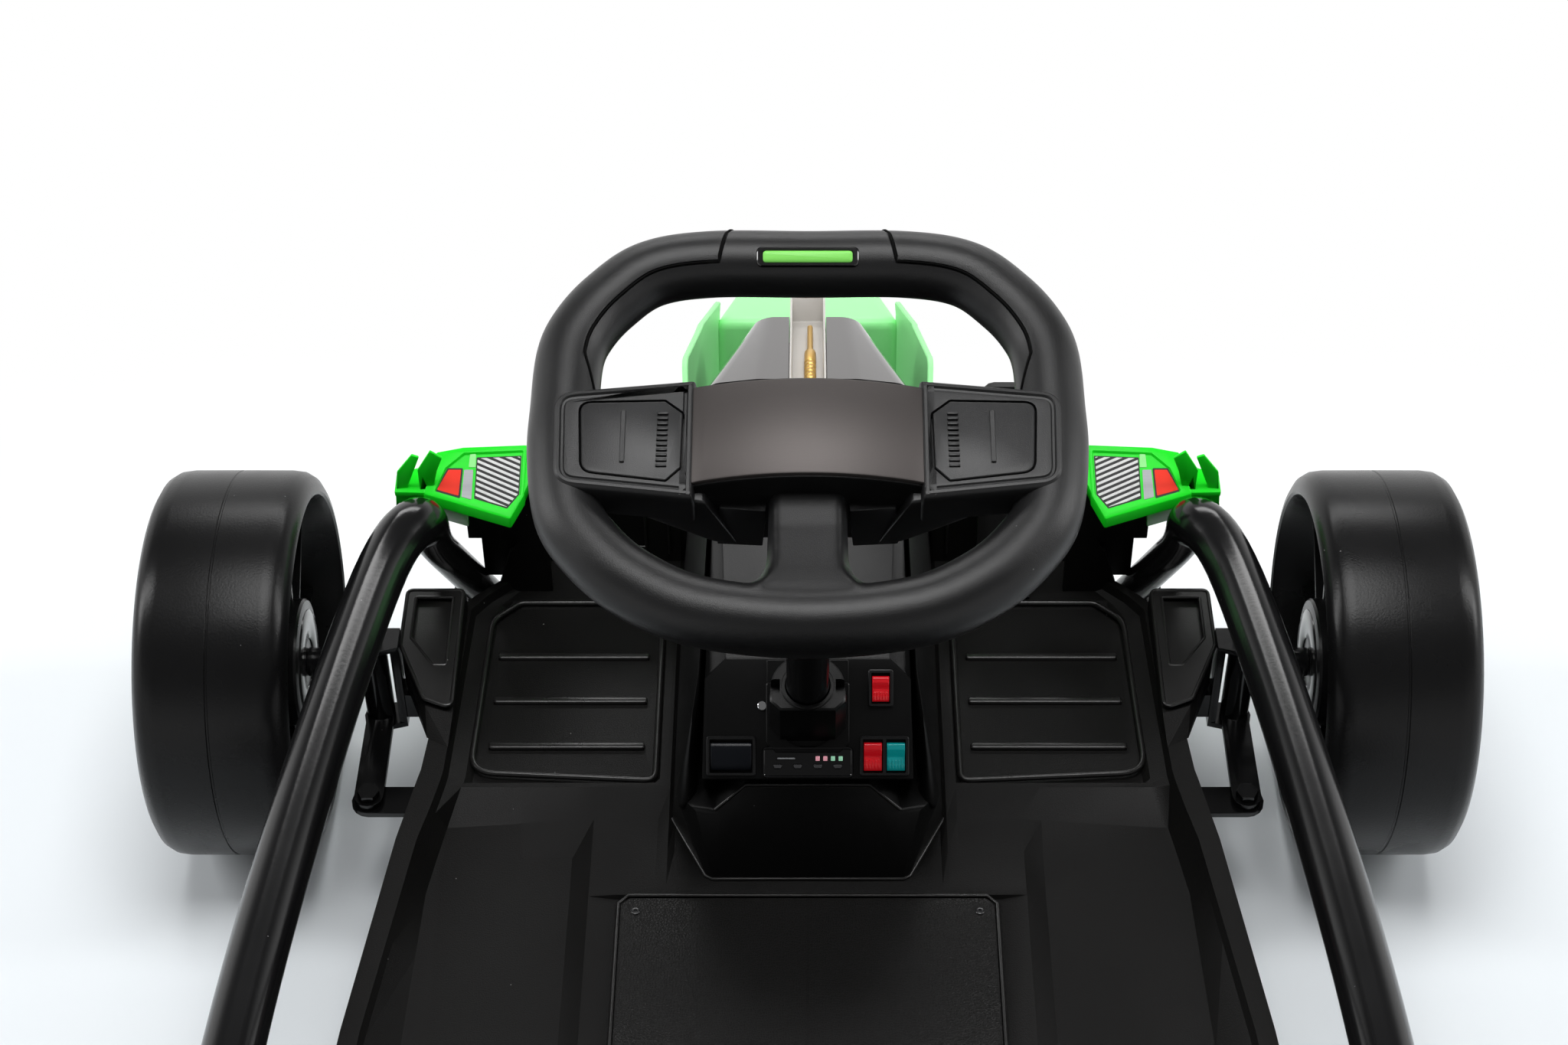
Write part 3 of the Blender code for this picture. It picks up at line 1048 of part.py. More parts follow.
def build_pedal():
    middle = (PEDAL_X[0] + PEDAL_X[1]) / 2
    half = (PEDAL_X[1] - PEDAL_X[0]) / 2
    frame = at(middle, *PEDAL_HINGE) @ Matrix.Rotation(PEDAL_ANGLE, 4, "X")
    outline = rounded([(-half, 0.014), (half, 0.014), (half, PEDAL_LENGTH), (-half, PEDAL_LENGTH)], 0.007, 3)
    pedal = plate("accelerator_pedal", outline, PEDAL_THICKNESS, "satin_black_plastic",
                  frame @ at(0, 0, -PEDAL_THICKNESS / 2))
    pedal = to_mesh(pedal)
    knuckle = cylinder("pedal_knuckle", 0.0055, -half * 0.50, half * 0.50, None,
                       along((middle, *PEDAL_HINGE), (1, 0, 0)), 20)
    join(pedal, knuckle)
    bridge = hull("pedal_bridge", [(x, y, z) for x in (-half * 0.50, half * 0.50) for y, z in
                                   ((0.0, 0.004), (0.0, -0.004), (0.022, -0.001), (0.022, -0.005))],
                  None, frame)
    join(pedal, bridge)
    bore = cylinder("pedal_bore", 0.0030 + GAP, -half, half, None, along((middle, *PEDAL_HINGE), (1, 0, 0)), 16)
    cut(pedal, bore)
    seat_z = LEDGE_Z + GAP
    bracket = box("pedal_bracket", (middle - half + 0.001, PEDAL_HINGE[0] - 0.0055, seat_z),
                  (middle + half - 0.001, PEDAL_HINGE[0] + 0.009, seat_z + 0.0025), "gloss_black_steel")
    for side in (-1, 1):
        inner = middle + side * (half * 0.50 + RUNNING_GAP)
        outer = middle + side * (half - 0.001)
        xs = sorted((inner, outer))
        ear = hull(f"pedal_ear_{side}", [(x, y, z) for x in xs for y, z in
                                         ((PEDAL_HINGE[0] - 0.005, seat_z + 0.001), (PEDAL_HINGE[0] + 0.008, seat_z + 0.001),
                                          (PEDAL_HINGE[0] - 0.005, PEDAL_HINGE[1] + 0.0045),
                                          (PEDAL_HINGE[0] + 0.004, PEDAL_HINGE[1] + 0.0045))], None)
        join(bracket, ear)
    pin = cylinder("pedal_pin", 0.0030, -half + 0.002, half - 0.002, None,
                   along((middle, *PEDAL_HINGE), (1, 0, 0)), 16)
    join(bracket, pin)


# Nose and wings

CHANNEL_HALF_WIDTH = 0.0098


def build_nose():
    near_y, far_y = 0.3600, 0.4640
    fairing_points = []
    for side in (-1, 1):
        fairing_points += [(side * 0.0600, near_y, 0.2960), (side * 0.0680, near_y, 0.2700),
                           (side * 0.0700, near_y, PLATEAU_Z + GAP), (side * 0.0330, far_y, 0.2600),
                           (side * 0.0400, far_y, 0.2480), (side * 0.0520, far_y + 0.012, PLATEAU_Z + GAP),
                           (side * 0.0300, near_y, 0.3010), (side * 0.0250, far_y, 0.2640)]
    fairing = open_hull("nose_fairing", fairing_points, 0.003, "dark_metallic_plastic", (0, 0, -1))
    channel_slope = math.atan2(0.2640 - 0.3010, far_y - near_y)
    frame = at(0, near_y, 0.3010) @ Matrix.Rotation(channel_slope, 4, "X")
    channel = box("fairing_channel", (-CHANNEL_HALF_WIDTH - 0.0015 - GAP, -0.02, -0.0200),
                  (CHANNEL_HALF_WIDTH + 0.0015 + GAP, 0.16, 0.02), None, frame)
    cut(fairing, channel)

    trough = box("nose_spine", (-CHANNEL_HALF_WIDTH - 0.0015, 0.004, -0.0195), (CHANNEL_HALF_WIDTH + 0.0015, 0.180, -0.0005),
                 "satin_black_plastic", frame)
    cut(trough, box("spine_hollow", (-CHANNEL_HALF_WIDTH, -0.01, -0.0175), (CHANNEL_HALF_WIDTH, 0.150, 0.01),
                    None, frame))
    rod, barrel = 0.0018, 0.0037
    profile = [(0.0, 0.128), (rod, 0.128), (rod, 0.082), (barrel, 0.080)]
    for ring in range(8):
        low = 0.060 - ring * 0.006
        profile += [(barrel, low + 0.0015), (barrel - 0.0008, low + 0.001), (barrel - 0.0008, low - 0.001),
                    (barrel, low - 0.0015)]
    profile += [(barrel, 0.004), (0.0, 0.004)]
    damper_axis = frame @ at(0.0015, 0, -0.0175 + barrel + GAP) @ Matrix.Rotation(-math.pi / 2, 4, "X")
    turned("nose_damper", profile, 12, "yellow_plastic", damper_axis)
    build_surround()


def build_surround():
    """The green nose frame: two blades and the tip that joins them."""
    tip_low = RAIL_TOP_Z - TUBE_SECTION / 2 + BUMPER_RADIUS * 0.9 + GAP
    tip = hull("nose_surround", [(side * x, y, z) for side in (-1, 1) for x, y, z in
                                 ((0.0620, 0.5320, 0.2060), (0.0660, 0.5320, tip_low), (0.0480, 0.5860, 0.1880),
                                  (0.0500, HALF_LENGTH, 0.1500), (0.0560, HALF_LENGTH - 0.012, tip_low))],
               "bright_green_plastic")
    spine_slot = box("tip_slot", (-CHANNEL_HALF_WIDTH - 0.0015 - GAP, 0.50, 0.130),
                     (CHANNEL_HALF_WIDTH + 0.0015 + GAP, 0.560, 0.30), None)
    cut(tip, spine_slot)
    for side in (-1, 1):
        blade = [(0.0710, 0.3700, 0.1500), (0.0740, 0.3700, 0.1500), (0.0705, 0.3750, 0.2500),
                 (0.0735, 0.3750, 0.2500), (0.0725, 0.4300, 0.2600), (0.0765, 0.4300, 0.2550),
                 (0.0540, 0.5250, 0.2300), (0.0600, 0.5250, 0.2280), (0.0560, 0.5450, 0.2000),
                 (0.0610, 0.5450, 0.2000), (0.0600, 0.5450, 0.1000), (0.0660, 0.5450, 0.1000),
                 (0.0720, 0.4300, 0.1250), (0.0760, 0.4300, 0.1250)]
        join(tip, hull(f"nose_blade_{side}", mirrored(blade, side), None))


WING_THICKNESS = 0.009
WING_SLOPE = 0.5
WING_NEAR_Y = 0.357
WING_NEAR_Z = 0.200
WING_RECESS = 0.0015
WING_EDGE = ((0.2393, 0.3644), (0.1845, 0.3494), (0.1764, 0.3633), (0.1752, 0.3941), (0.2156, 0.3926), (0.2324, 0.3896))
WING_FIELD = ((0.2313, 0.3666), (0.1876, 0.3544), (0.1795, 0.3640), (0.1785, 0.3870), (0.2193, 0.3845), (0.2250, 0.3806))


def wing_height(y, drop=0.0):
    """Height of the wing's sloping top at a place along the kart."""
    return WING_NEAR_Z + WING_SLOPE * (y - WING_NEAR_Y) - drop


def build_wings():
    panel = [(x, y, wing_height(y)) for x, y in WING_EDGE]
    inner = [(x, y, wing_height(y)) for x, y in ((0.1660, 0.3900), (0.1764, 0.3633), (0.1752, 0.3941))]
    strut = [(0.1660, 0.3870, 0.2080), (0.1748, 0.3907, 0.2080), (0.1600, 0.4450, 0.1960), (0.1700, 0.4640, 0.1960)]
    cross = [(0.0785, 0.4450, 0.1960), (0.1700, 0.4450, 0.1960), (0.1700, 0.4640, 0.1960), (0.0765, 0.4640, 0.1960)]
    floor = [(0.2580, 0.3690, 0.2010), (0.2580, 0.3840, 0.2030), (0.2350, 0.3660, 0.2030), (0.2320, 0.3880, 0.2090)]
    skirt = [(x, y + depth, z) for x, y, z in ((0.2575, 0.3700, 0.2000), (0.2586, 0.3720, 0.1860),
                                               (0.2145, 0.3720, 0.1680), (0.2115, 0.3600, 0.1930)) for depth in (0.0, 0.006)]
    outer_fin = [(0.2586, 0.3710, 0.1860), (0.2550, 0.3700, 0.2160), (0.2449, 0.3700, 0.2297), (0.2399, 0.3700, 0.2277),
                 (0.2516, 0.3700, 0.1985), (0.2586, 0.3840, 0.1860), (0.2560, 0.3800, 0.2080), (0.2449, 0.3740, 0.2297),
                 (0.2399, 0.3740, 0.2277), (0.2516, 0.3840, 0.1985)]
    inner_fin = [(0.2419, 0.3690, 0.2190), (0.2329, 0.3690, 0.2347), (0.2253, 0.3700, 0.2285), (0.2380, 0.3660, 0.1990),
                 (0.2419, 0.3660, 0.1990), (0.2419, 0.3740, 0.2170), (0.2329, 0.3730, 0.2347), (0.2253, 0.3740, 0.2285),
                 (0.2340, 0.3860, 0.1990), (0.2390, 0.3860, 0.1990)]
    for side, label in ((-1, "left"), (1, "right")):
        name = f"front_wing_{label}"
        wing = None
        for index, group in enumerate((panel, inner, strut, cross, floor)):
            slab = [(side * x, y, z + shift) for x, y, z in group for shift in (0.0, -WING_THICKNESS)]
            if wing is None:
                wing = hull(name, slab, "bright_green_plastic")
            else:
                join(wing, hull(f"{name}_slab_{index}", slab, None))
        seat_z = TOE_WALL_Z + GAP
        foot = [(x, y, z) for x in (0.1640, 0.1760) for y in (0.3980, 0.4100) for z in (seat_z, 0.2060)]
        for index, group in enumerate((skirt, outer_fin, inner_fin, foot)):
            join(wing, hull(f"{name}_rib_{index}", mirrored(group, side), None))
        field = [(side * x, y, wing_height(y, drop)) for x, y in WING_FIELD for drop in (WING_RECESS, -WING_RECESS)]
        cut(wing, hull(f"{name}_field", field, None))


# Seat

SEAT_LINE = ((-0.1000, 0.2080), (-0.1250, 0.1960), (-0.1800, 0.1860), (-0.2600, 0.1800), (-0.3300, 0.1820),
             (-0.3750, 0.2020), (-0.4000, 0.2400), (-0.4180, 0.3000), (-0.4380, 0.3900), (-0.4560, 0.4700),
             (-0.4700, 0.5300), (-0.4780, 0.5640))
SEAT_BOLSTER = (0.020, 0.034, 0.052, 0.066, 0.078, 0.088, 0.084, 0.070, 0.058, 0.046, 0.030, 0.012)
SEAT_WIDTHS = (0.96, 1.0, 1.0, 1.0, 1.0, 1.0, 1.0, 0.98, 0.94, 0.86, 0.74, 0.60)
SEAT_ACROSS = (0.0, 0.30, 0.55, 0.74, 0.88, 1.0)


def seat_points(index):
    """One row of the seat surface, from left to right."""
    count = len(SEAT_LINE)
    y, z = SEAT_LINE[index]
    before, after = SEAT_LINE[max(index - 1, 0)], SEAT_LINE[min(index + 1, count - 1)]
    along_line = Vector((after[0] - before[0], after[1] - before[1])).normalized()
    normal = Vector((along_line.y, -along_line.x))
    if normal.y < 0 and index < 5:
        normal = -normal
    row = []
    for share in [-s for s in SEAT_ACROSS[:0:-1]] + list(SEAT_ACROSS):
        rise = max(0.0, (abs(share) - 0.45) / 0.55) ** 1.6
        lift = SEAT_BOLSTER[index] * rise
        x = share * SEAT_HALF_WIDTH * SEAT_WIDTHS[index]
        row.append((x, y + normal.x * lift, z + normal.y * lift))
    return row


def build_seat():
    bm = bmesh.new()
    rows = [[bm.verts.new(point) for point in seat_points(index)] for index in range(len(SEAT_LINE))]
    for first, second in zip(rows, rows[1:]):
        for index in range(len(first) - 1):
            bm.faces.new((first[index], second[index], second[index + 1], first[index + 1]))
    bmesh.ops.recalc_face_normals(bm, faces=bm.faces)
    middle = rows[3][len(rows[3]) // 2]
    if middle.normal.z < 0 or sum(f.normal.z for f in middle.link_faces) < 0:
        bmesh.ops.reverse_faces(bm, faces=bm.faces)
    mesh = bpy.data.meshes.new("seat_shell")
    bm.to_mesh(mesh)
    bm.free()
    seat = add("seat_shell", mesh, "seat_black")
    solidify = seat.modifiers.new("wall", "SOLIDIFY")
    solidify.thickness = SEAT_WALL
    solidify.offset = -1.0
    for side in (-1, 1):
        xs = sorted((side * 0.060, side * 0.085))
        runner = box(f"seat_runner_{side}", (xs[0], -0.3400, SEAT_BASE_TOP_Z + GAP), (xs[1], -0.1750, 0.1815), None)
        join(seat, runner)

    half = 0.125
    base_low = RAIL_TOP_Z + GAP
    base = box("seat_base", (-half, -0.3900, PLATEAU_Z + GAP), (half, -0.1150, SEAT_BASE_TOP_Z), "satin_black_plastic")
    cut(base, box("seat_base_hollow", (-half + 0.004, -0.3860, 0.05), (half - 0.004, -0.1190, SEAT_BASE_TOP_Z - 0.004),
                  None))
    cut(base, box("seat_base_notch", (-REAR_CROSS_HALF_WIDTH - 0.01, REAR_CROSS_Y - TUBE_SECTION / 2 - GAP, base_low - 0.01),
                  (REAR_CROSS_HALF_WIDTH + 0.01, REAR_CROSS_Y + TUBE_SECTION / 2 + GAP,
                   RAIL_TOP_Z + 2 * GAP + TUBE_SECTION), None))
    cut(base, box("seat_base_plate_notch", (-RAIL_X - 0.01, -0.60, 0.05), (RAIL_X + 0.01, REAR_CROSS_Y, PLATEAU_Z + 0.012),
                  None))


# Rear drive

GEARBOX_INSET = 0.0095
GEARBOX_WIDTH = 0.0400
GEARBOX_OUTER_X = WHEEL_CENTRE_X - WHEEL_WIDTH / 2 - GEARBOX_INSET
GEARBOX_X = (GEARBOX_OUTER_X - GEARBOX_WIDTH, GEARBOX_OUTER_X)
MOTOR_RADIUS = 0.0180


def build_drive():
    half_axle = WHEEL_CENTRE_X + WHEEL_WIDTH / 2 - WHEEL_HUB_SETBACK - 0.014 + 0.010
    axle = cylinder("rear_axle", STUB_RADIUS, -half_axle, half_axle, "zinc_steel",
                    along((0, REAR_AXLE_Y, WHEEL_RADIUS), (1, 0, 0)), 16)
    nut_start = WHEEL_CENTRE_X + WHEEL_WIDTH / 2 - WHEEL_HUB_SETBACK - 0.014 + RUNNING_GAP
    for side in (-1, 1):
        join(axle, cylinder(f"axle_nut_{side}", STUB_RADIUS + 0.005, nut_start, nut_start + 0.008, None,
                            along((0, REAR_AXLE_Y, WHEEL_RADIUS), (side, 0, 0)), 12))
    for side, label in ((-1, "left"), (1, "right")):
        xs = sorted((side * GEARBOX_X[0], side * GEARBOX_X[1]))
        outline = rounded([(REAR_AXLE_Y - 0.042, WHEEL_RADIUS - 0.036), (REAR_AXLE_Y + 0.052, WHEEL_RADIUS - 0.034),
                           (REAR_AXLE_Y + 0.100, WHEEL_RADIUS + 0.000), (REAR_AXLE_Y + 0.092, WHEEL_RADIUS + 0.046),
                           (REAR_AXLE_Y - 0.030, WHEEL_RADIUS + 0.042)], 0.014, 3)
        upright = Matrix(((0, 0, 1, 0), (1, 0, 0, 0), (0, 1, 0, 0), (0, 0, 0, 1)))
        hole = circle(STUB_RADIUS + GAP, centre=(REAR_AXLE_Y, WHEEL_RADIUS), count=16)
        plate(f"gearbox_{label}", outline, GEARBOX_X[1] - GEARBOX_X[0], "gearbox_black",
              at((xs[0] + xs[1]) / 2, 0, 0) @ upright, holes=[hole])
        motor_matrix = along((side * (GEARBOX_X[0] - GAP), REAR_AXLE_Y + 0.060, WHEEL_RADIUS + 0.012), (-side, 0, 0))
        profile = [(0.0, 0.066), (0.006, 0.066), (0.006, 0.060), (MOTOR_RADIUS - 0.002, 0.060),
                   (MOTOR_RADIUS, 0.058), (MOTOR_RADIUS, 0.0), (0.0, 0.0)]
        turned(f"drive_motor_{label}", profile, 20, "zinc_steel", motor_matrix)


def build_kart():
    start_scene()
    build_frame()
    build_wheels()
    build_knuckles()
    build_tie_bar()
    build_column()
    build_steering_wheel()
    build_tray()
    build_battery()
    build_console()
    build_pedal()
    build_nose()
    build_wings()
    build_seat()
    build_drive()


build_kart()
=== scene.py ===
import json
import math

import bmesh
import bpy
from mathutils import Matrix, Vector


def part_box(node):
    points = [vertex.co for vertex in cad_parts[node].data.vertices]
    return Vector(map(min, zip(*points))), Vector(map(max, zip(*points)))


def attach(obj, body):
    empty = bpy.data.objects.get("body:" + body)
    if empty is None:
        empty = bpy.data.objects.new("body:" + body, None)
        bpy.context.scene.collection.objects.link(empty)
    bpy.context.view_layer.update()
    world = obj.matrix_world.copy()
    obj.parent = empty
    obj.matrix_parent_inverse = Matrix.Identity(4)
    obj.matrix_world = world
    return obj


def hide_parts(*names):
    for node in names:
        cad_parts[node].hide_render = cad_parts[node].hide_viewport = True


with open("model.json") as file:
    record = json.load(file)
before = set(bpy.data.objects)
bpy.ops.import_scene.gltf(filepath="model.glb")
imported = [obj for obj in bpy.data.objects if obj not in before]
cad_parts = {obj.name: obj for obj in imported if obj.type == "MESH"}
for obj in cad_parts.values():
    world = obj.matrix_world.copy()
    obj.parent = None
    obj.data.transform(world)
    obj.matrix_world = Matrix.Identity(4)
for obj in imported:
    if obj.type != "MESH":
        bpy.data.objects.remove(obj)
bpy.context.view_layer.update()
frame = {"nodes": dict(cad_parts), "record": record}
nodes = frame["nodes"]
bodyOf = {node: body for body, members in frame["record"]["behaviour"]["bodies"].items() for node in members}
slotOf = {part["node"]: part["material_slot"] for part in frame["record"]["subparts"]}
sides = ((-1, "left"), (1, "right"))
print("packed frame:", len(nodes), "nodes")


# Node trees
def startTree(kind, name, inputs, outputs):
    # inputs are a label, a kind of socket and its default, or None where every use sets it
    tree = bpy.data.node_groups.new(name, kind)
    for label, socketKind in outputs:
        tree.interface.new_socket(label, in_out="OUTPUT", socket_type=socketKind)
    for label, socketKind, value in inputs:
        socket = tree.interface.new_socket(label, in_out="INPUT", socket_type=socketKind)
        if value is not None:
            socket.default_value = value
    return tree, tree.nodes.new("NodeGroupInput"), tree.nodes.new("NodeGroupOutput")


def addNode(tree, kind, inputs, **settings):
    # each input is either a plain value or the output of another node
    node = tree.nodes.new(kind)
    for key, value in settings.items():
        setattr(node, key, value)
    for key, value in inputs.items():
        if isinstance(value, bpy.types.NodeSocket):
            tree.links.new(value, node.inputs[key])
        else:
            node.inputs[key].default_value = value
    return node


def addMath(tree, operation, first, second):
    return addNode(tree, "ShaderNodeMath", {0: first, 1: second}, operation=operation).outputs[0]


# Shared surfaces, each a node group placed in the materials that use it
grain = {
    "blotchScale": 14.0, "blotchDetail": 4.0, "blotchRoughness": 0.6, "roughnessDrift": 0.6,
    "speckScale": 130.0, "speckRadius": 0.045, "speckPick": 0.93, "speckColour": (0.35, 0.35, 0.35, 1.0),
    "mouldHeight": 0.0006, "mouldDetail": 3.0,
    "leatherHeight": 0.0004, "creaseWidth": 0.16, "warpScale": 160.0, "warpReach": (0.0016, 0.0016, 0.0016),
    "brushedHeight": 0.0003, "brushedStretch": (0.02, 1.0, 1.0),
}
surfaceInputs = (
    ("Colour", "NodeSocketColor", (0.03, 0.03, 0.03, 1.0)), ("Roughness", "NodeSocketFloat", 0.5),
    ("Grain Scale", "NodeSocketFloat", 900.0), ("Grain Depth", "NodeSocketFloat", 0.15),
    ("Variation", "NodeSocketFloat", 0.10), ("Specks", "NodeSocketFloat", 0.0),
)
surfaceOutputs = (("Colour", "NodeSocketColor"), ("Roughness", "NodeSocketFloat"), ("Normal", "NodeSocketVector"))


def startSurface(name):
    group, source, sink = startTree("ShaderNodeTree", name, surfaceInputs, surfaceOutputs)
    return group, source.outputs, sink, group.nodes.new("ShaderNodeTexCoord").outputs["Object"]


def addNoise(group, vector, scale, detail, roughness):
    values = {"Vector": vector, "Scale": scale, "Detail": detail, "Roughness": roughness}
    return addNode(group, "ShaderNodeTexNoise", values).outputs


def addBlotches(group, place):
    return addNoise(group, place, grain["blotchScale"], grain["blotchDetail"], grain["blotchRoughness"])["Fac"]


def closeSurface(group, given, sink, height, blotch, place, distance):
    # colour and roughness drift with the blotches, and a few lint specks lighten the colour
    drift = addMath(group, "MULTIPLY", addMath(group, "SUBTRACT", blotch, 0.5), given["Variation"])
    bright = addMath(group, "ADD", drift, 1.0)
    scaled = addNode(group, "ShaderNodeVectorMath", {0: given["Colour"], "Scale": bright}, operation="SCALE")
    cells = addNode(group, "ShaderNodeTexVoronoi", {"Scale": grain["speckScale"], "Vector": place})
    speck = addMath(group, "LESS_THAN", cells.outputs["Distance"], grain["speckRadius"])
    picked = addNode(group, "ShaderNodeSeparateColor", {0: cells.outputs["Color"]}).outputs[0]
    speck = addMath(group, "MULTIPLY", speck, addMath(group, "GREATER_THAN", picked, grain["speckPick"]))
    speck = addMath(group, "MULTIPLY", speck, given["Specks"])
    mix = addNode(group, "ShaderNodeMix", {"Factor": speck, "A": scaled.outputs[0], "B": grain["speckColour"]},
                  data_type="RGBA")
    rough = addMath(group, "ADD", given["Roughness"], addMath(group, "MULTIPLY", drift, grain["roughnessDrift"]))
    bump = addNode(group, "ShaderNodeBump",
                   {"Distance": distance, "Strength": given["Grain Depth"], "Height": height})
    for label, result in (("Colour", mix.outputs["Result"]), ("Roughness", rough),
                          ("Normal", bump.outputs["Normal"])):
        group.links.new(result, sink.inputs[label])
    return group


def makeMouldGrain():
    group, given, sink, place = startSurface("mouldGrain")
    fine = addNoise(group, place, given["Grain Scale"], grain["mouldDetail"], 0.6)["Fac"]
    return closeSurface(group, given, sink, fine, addBlotches(group, place), place, grain["mouldHeight"])


def makeLeatherGrain():
    # pebbles parted by fine creases
    group, given, sink, place = startSurface("leatherGrain")
    warp = addNoise(group, place, grain["warpScale"], 2.0, 0.5)["Color"]
    moved = addNode(group, "ShaderNodeVectorMath", {0: warp, 1: grain["warpReach"], 2: place},
                    operation="MULTIPLY_ADD")
    pebble = addNode(group, "ShaderNodeTexVoronoi", {"Vector": moved.outputs[0], "Scale": given["Grain Scale"]},
                     feature="DISTANCE_TO_EDGE")
    ramp = addNode(group, "ShaderNodeMapRange",
                   {"From Max": grain["creaseWidth"], "Value": pebble.outputs["Distance"]}).outputs["Result"]
    return closeSurface(group, given, sink, ramp, addBlotches(group, place), place, grain["leatherHeight"])


def makeBrushedLines():
    # long scratches that run across the part, along X
    group, given, sink, place = startSurface("brushedLines")
    stretch = addNode(group, "ShaderNodeMapping", {"Scale": grain["brushedStretch"], "Vector": place}).outputs[0]
    lines = addNoise(group, stretch, given["Grain Scale"], 4.0, 0.7)["Fac"]
    return closeSurface(group, given, sink, lines, lines, place, grain["brushedHeight"])


surfaceGroups = {"mould": makeMouldGrain(), "leather": makeLeatherGrain(), "brushed": makeBrushedLines()}
shaderSockets = {"specular": "Specular IOR Level", "metallic": "Metallic", "coat": "Coat Weight",
                 "coatRough": "Coat Roughness", "glow": "Emission Color", "glowStrength": "Emission Strength"}


def makeMaterial(name, colour, rough, depth, variation, scale=900, specks=0.0, surface="mould", **sockets):
    material = bpy.data.materials.new(name)
    material.use_nodes = True
    tree = material.node_tree
    shader = tree.nodes["Principled BSDF"]
    group = tree.nodes.new("ShaderNodeGroup")
    group.node_tree = surfaceGroups[surface]
    values = ((*colour, 1.0), rough, scale, depth, variation, specks)
    for (label, kind, default), value in zip(surfaceInputs, values):
        group.inputs[label].default_value = value
    for label, target in (("Colour", "Base Color"), ("Roughness", "Roughness"), ("Normal", "Normal")):
        tree.links.new(group.outputs[label], shader.inputs[target])
    for key, value in sockets.items():
        shader.inputs[shaderSockets[key]].default_value = value
    return material


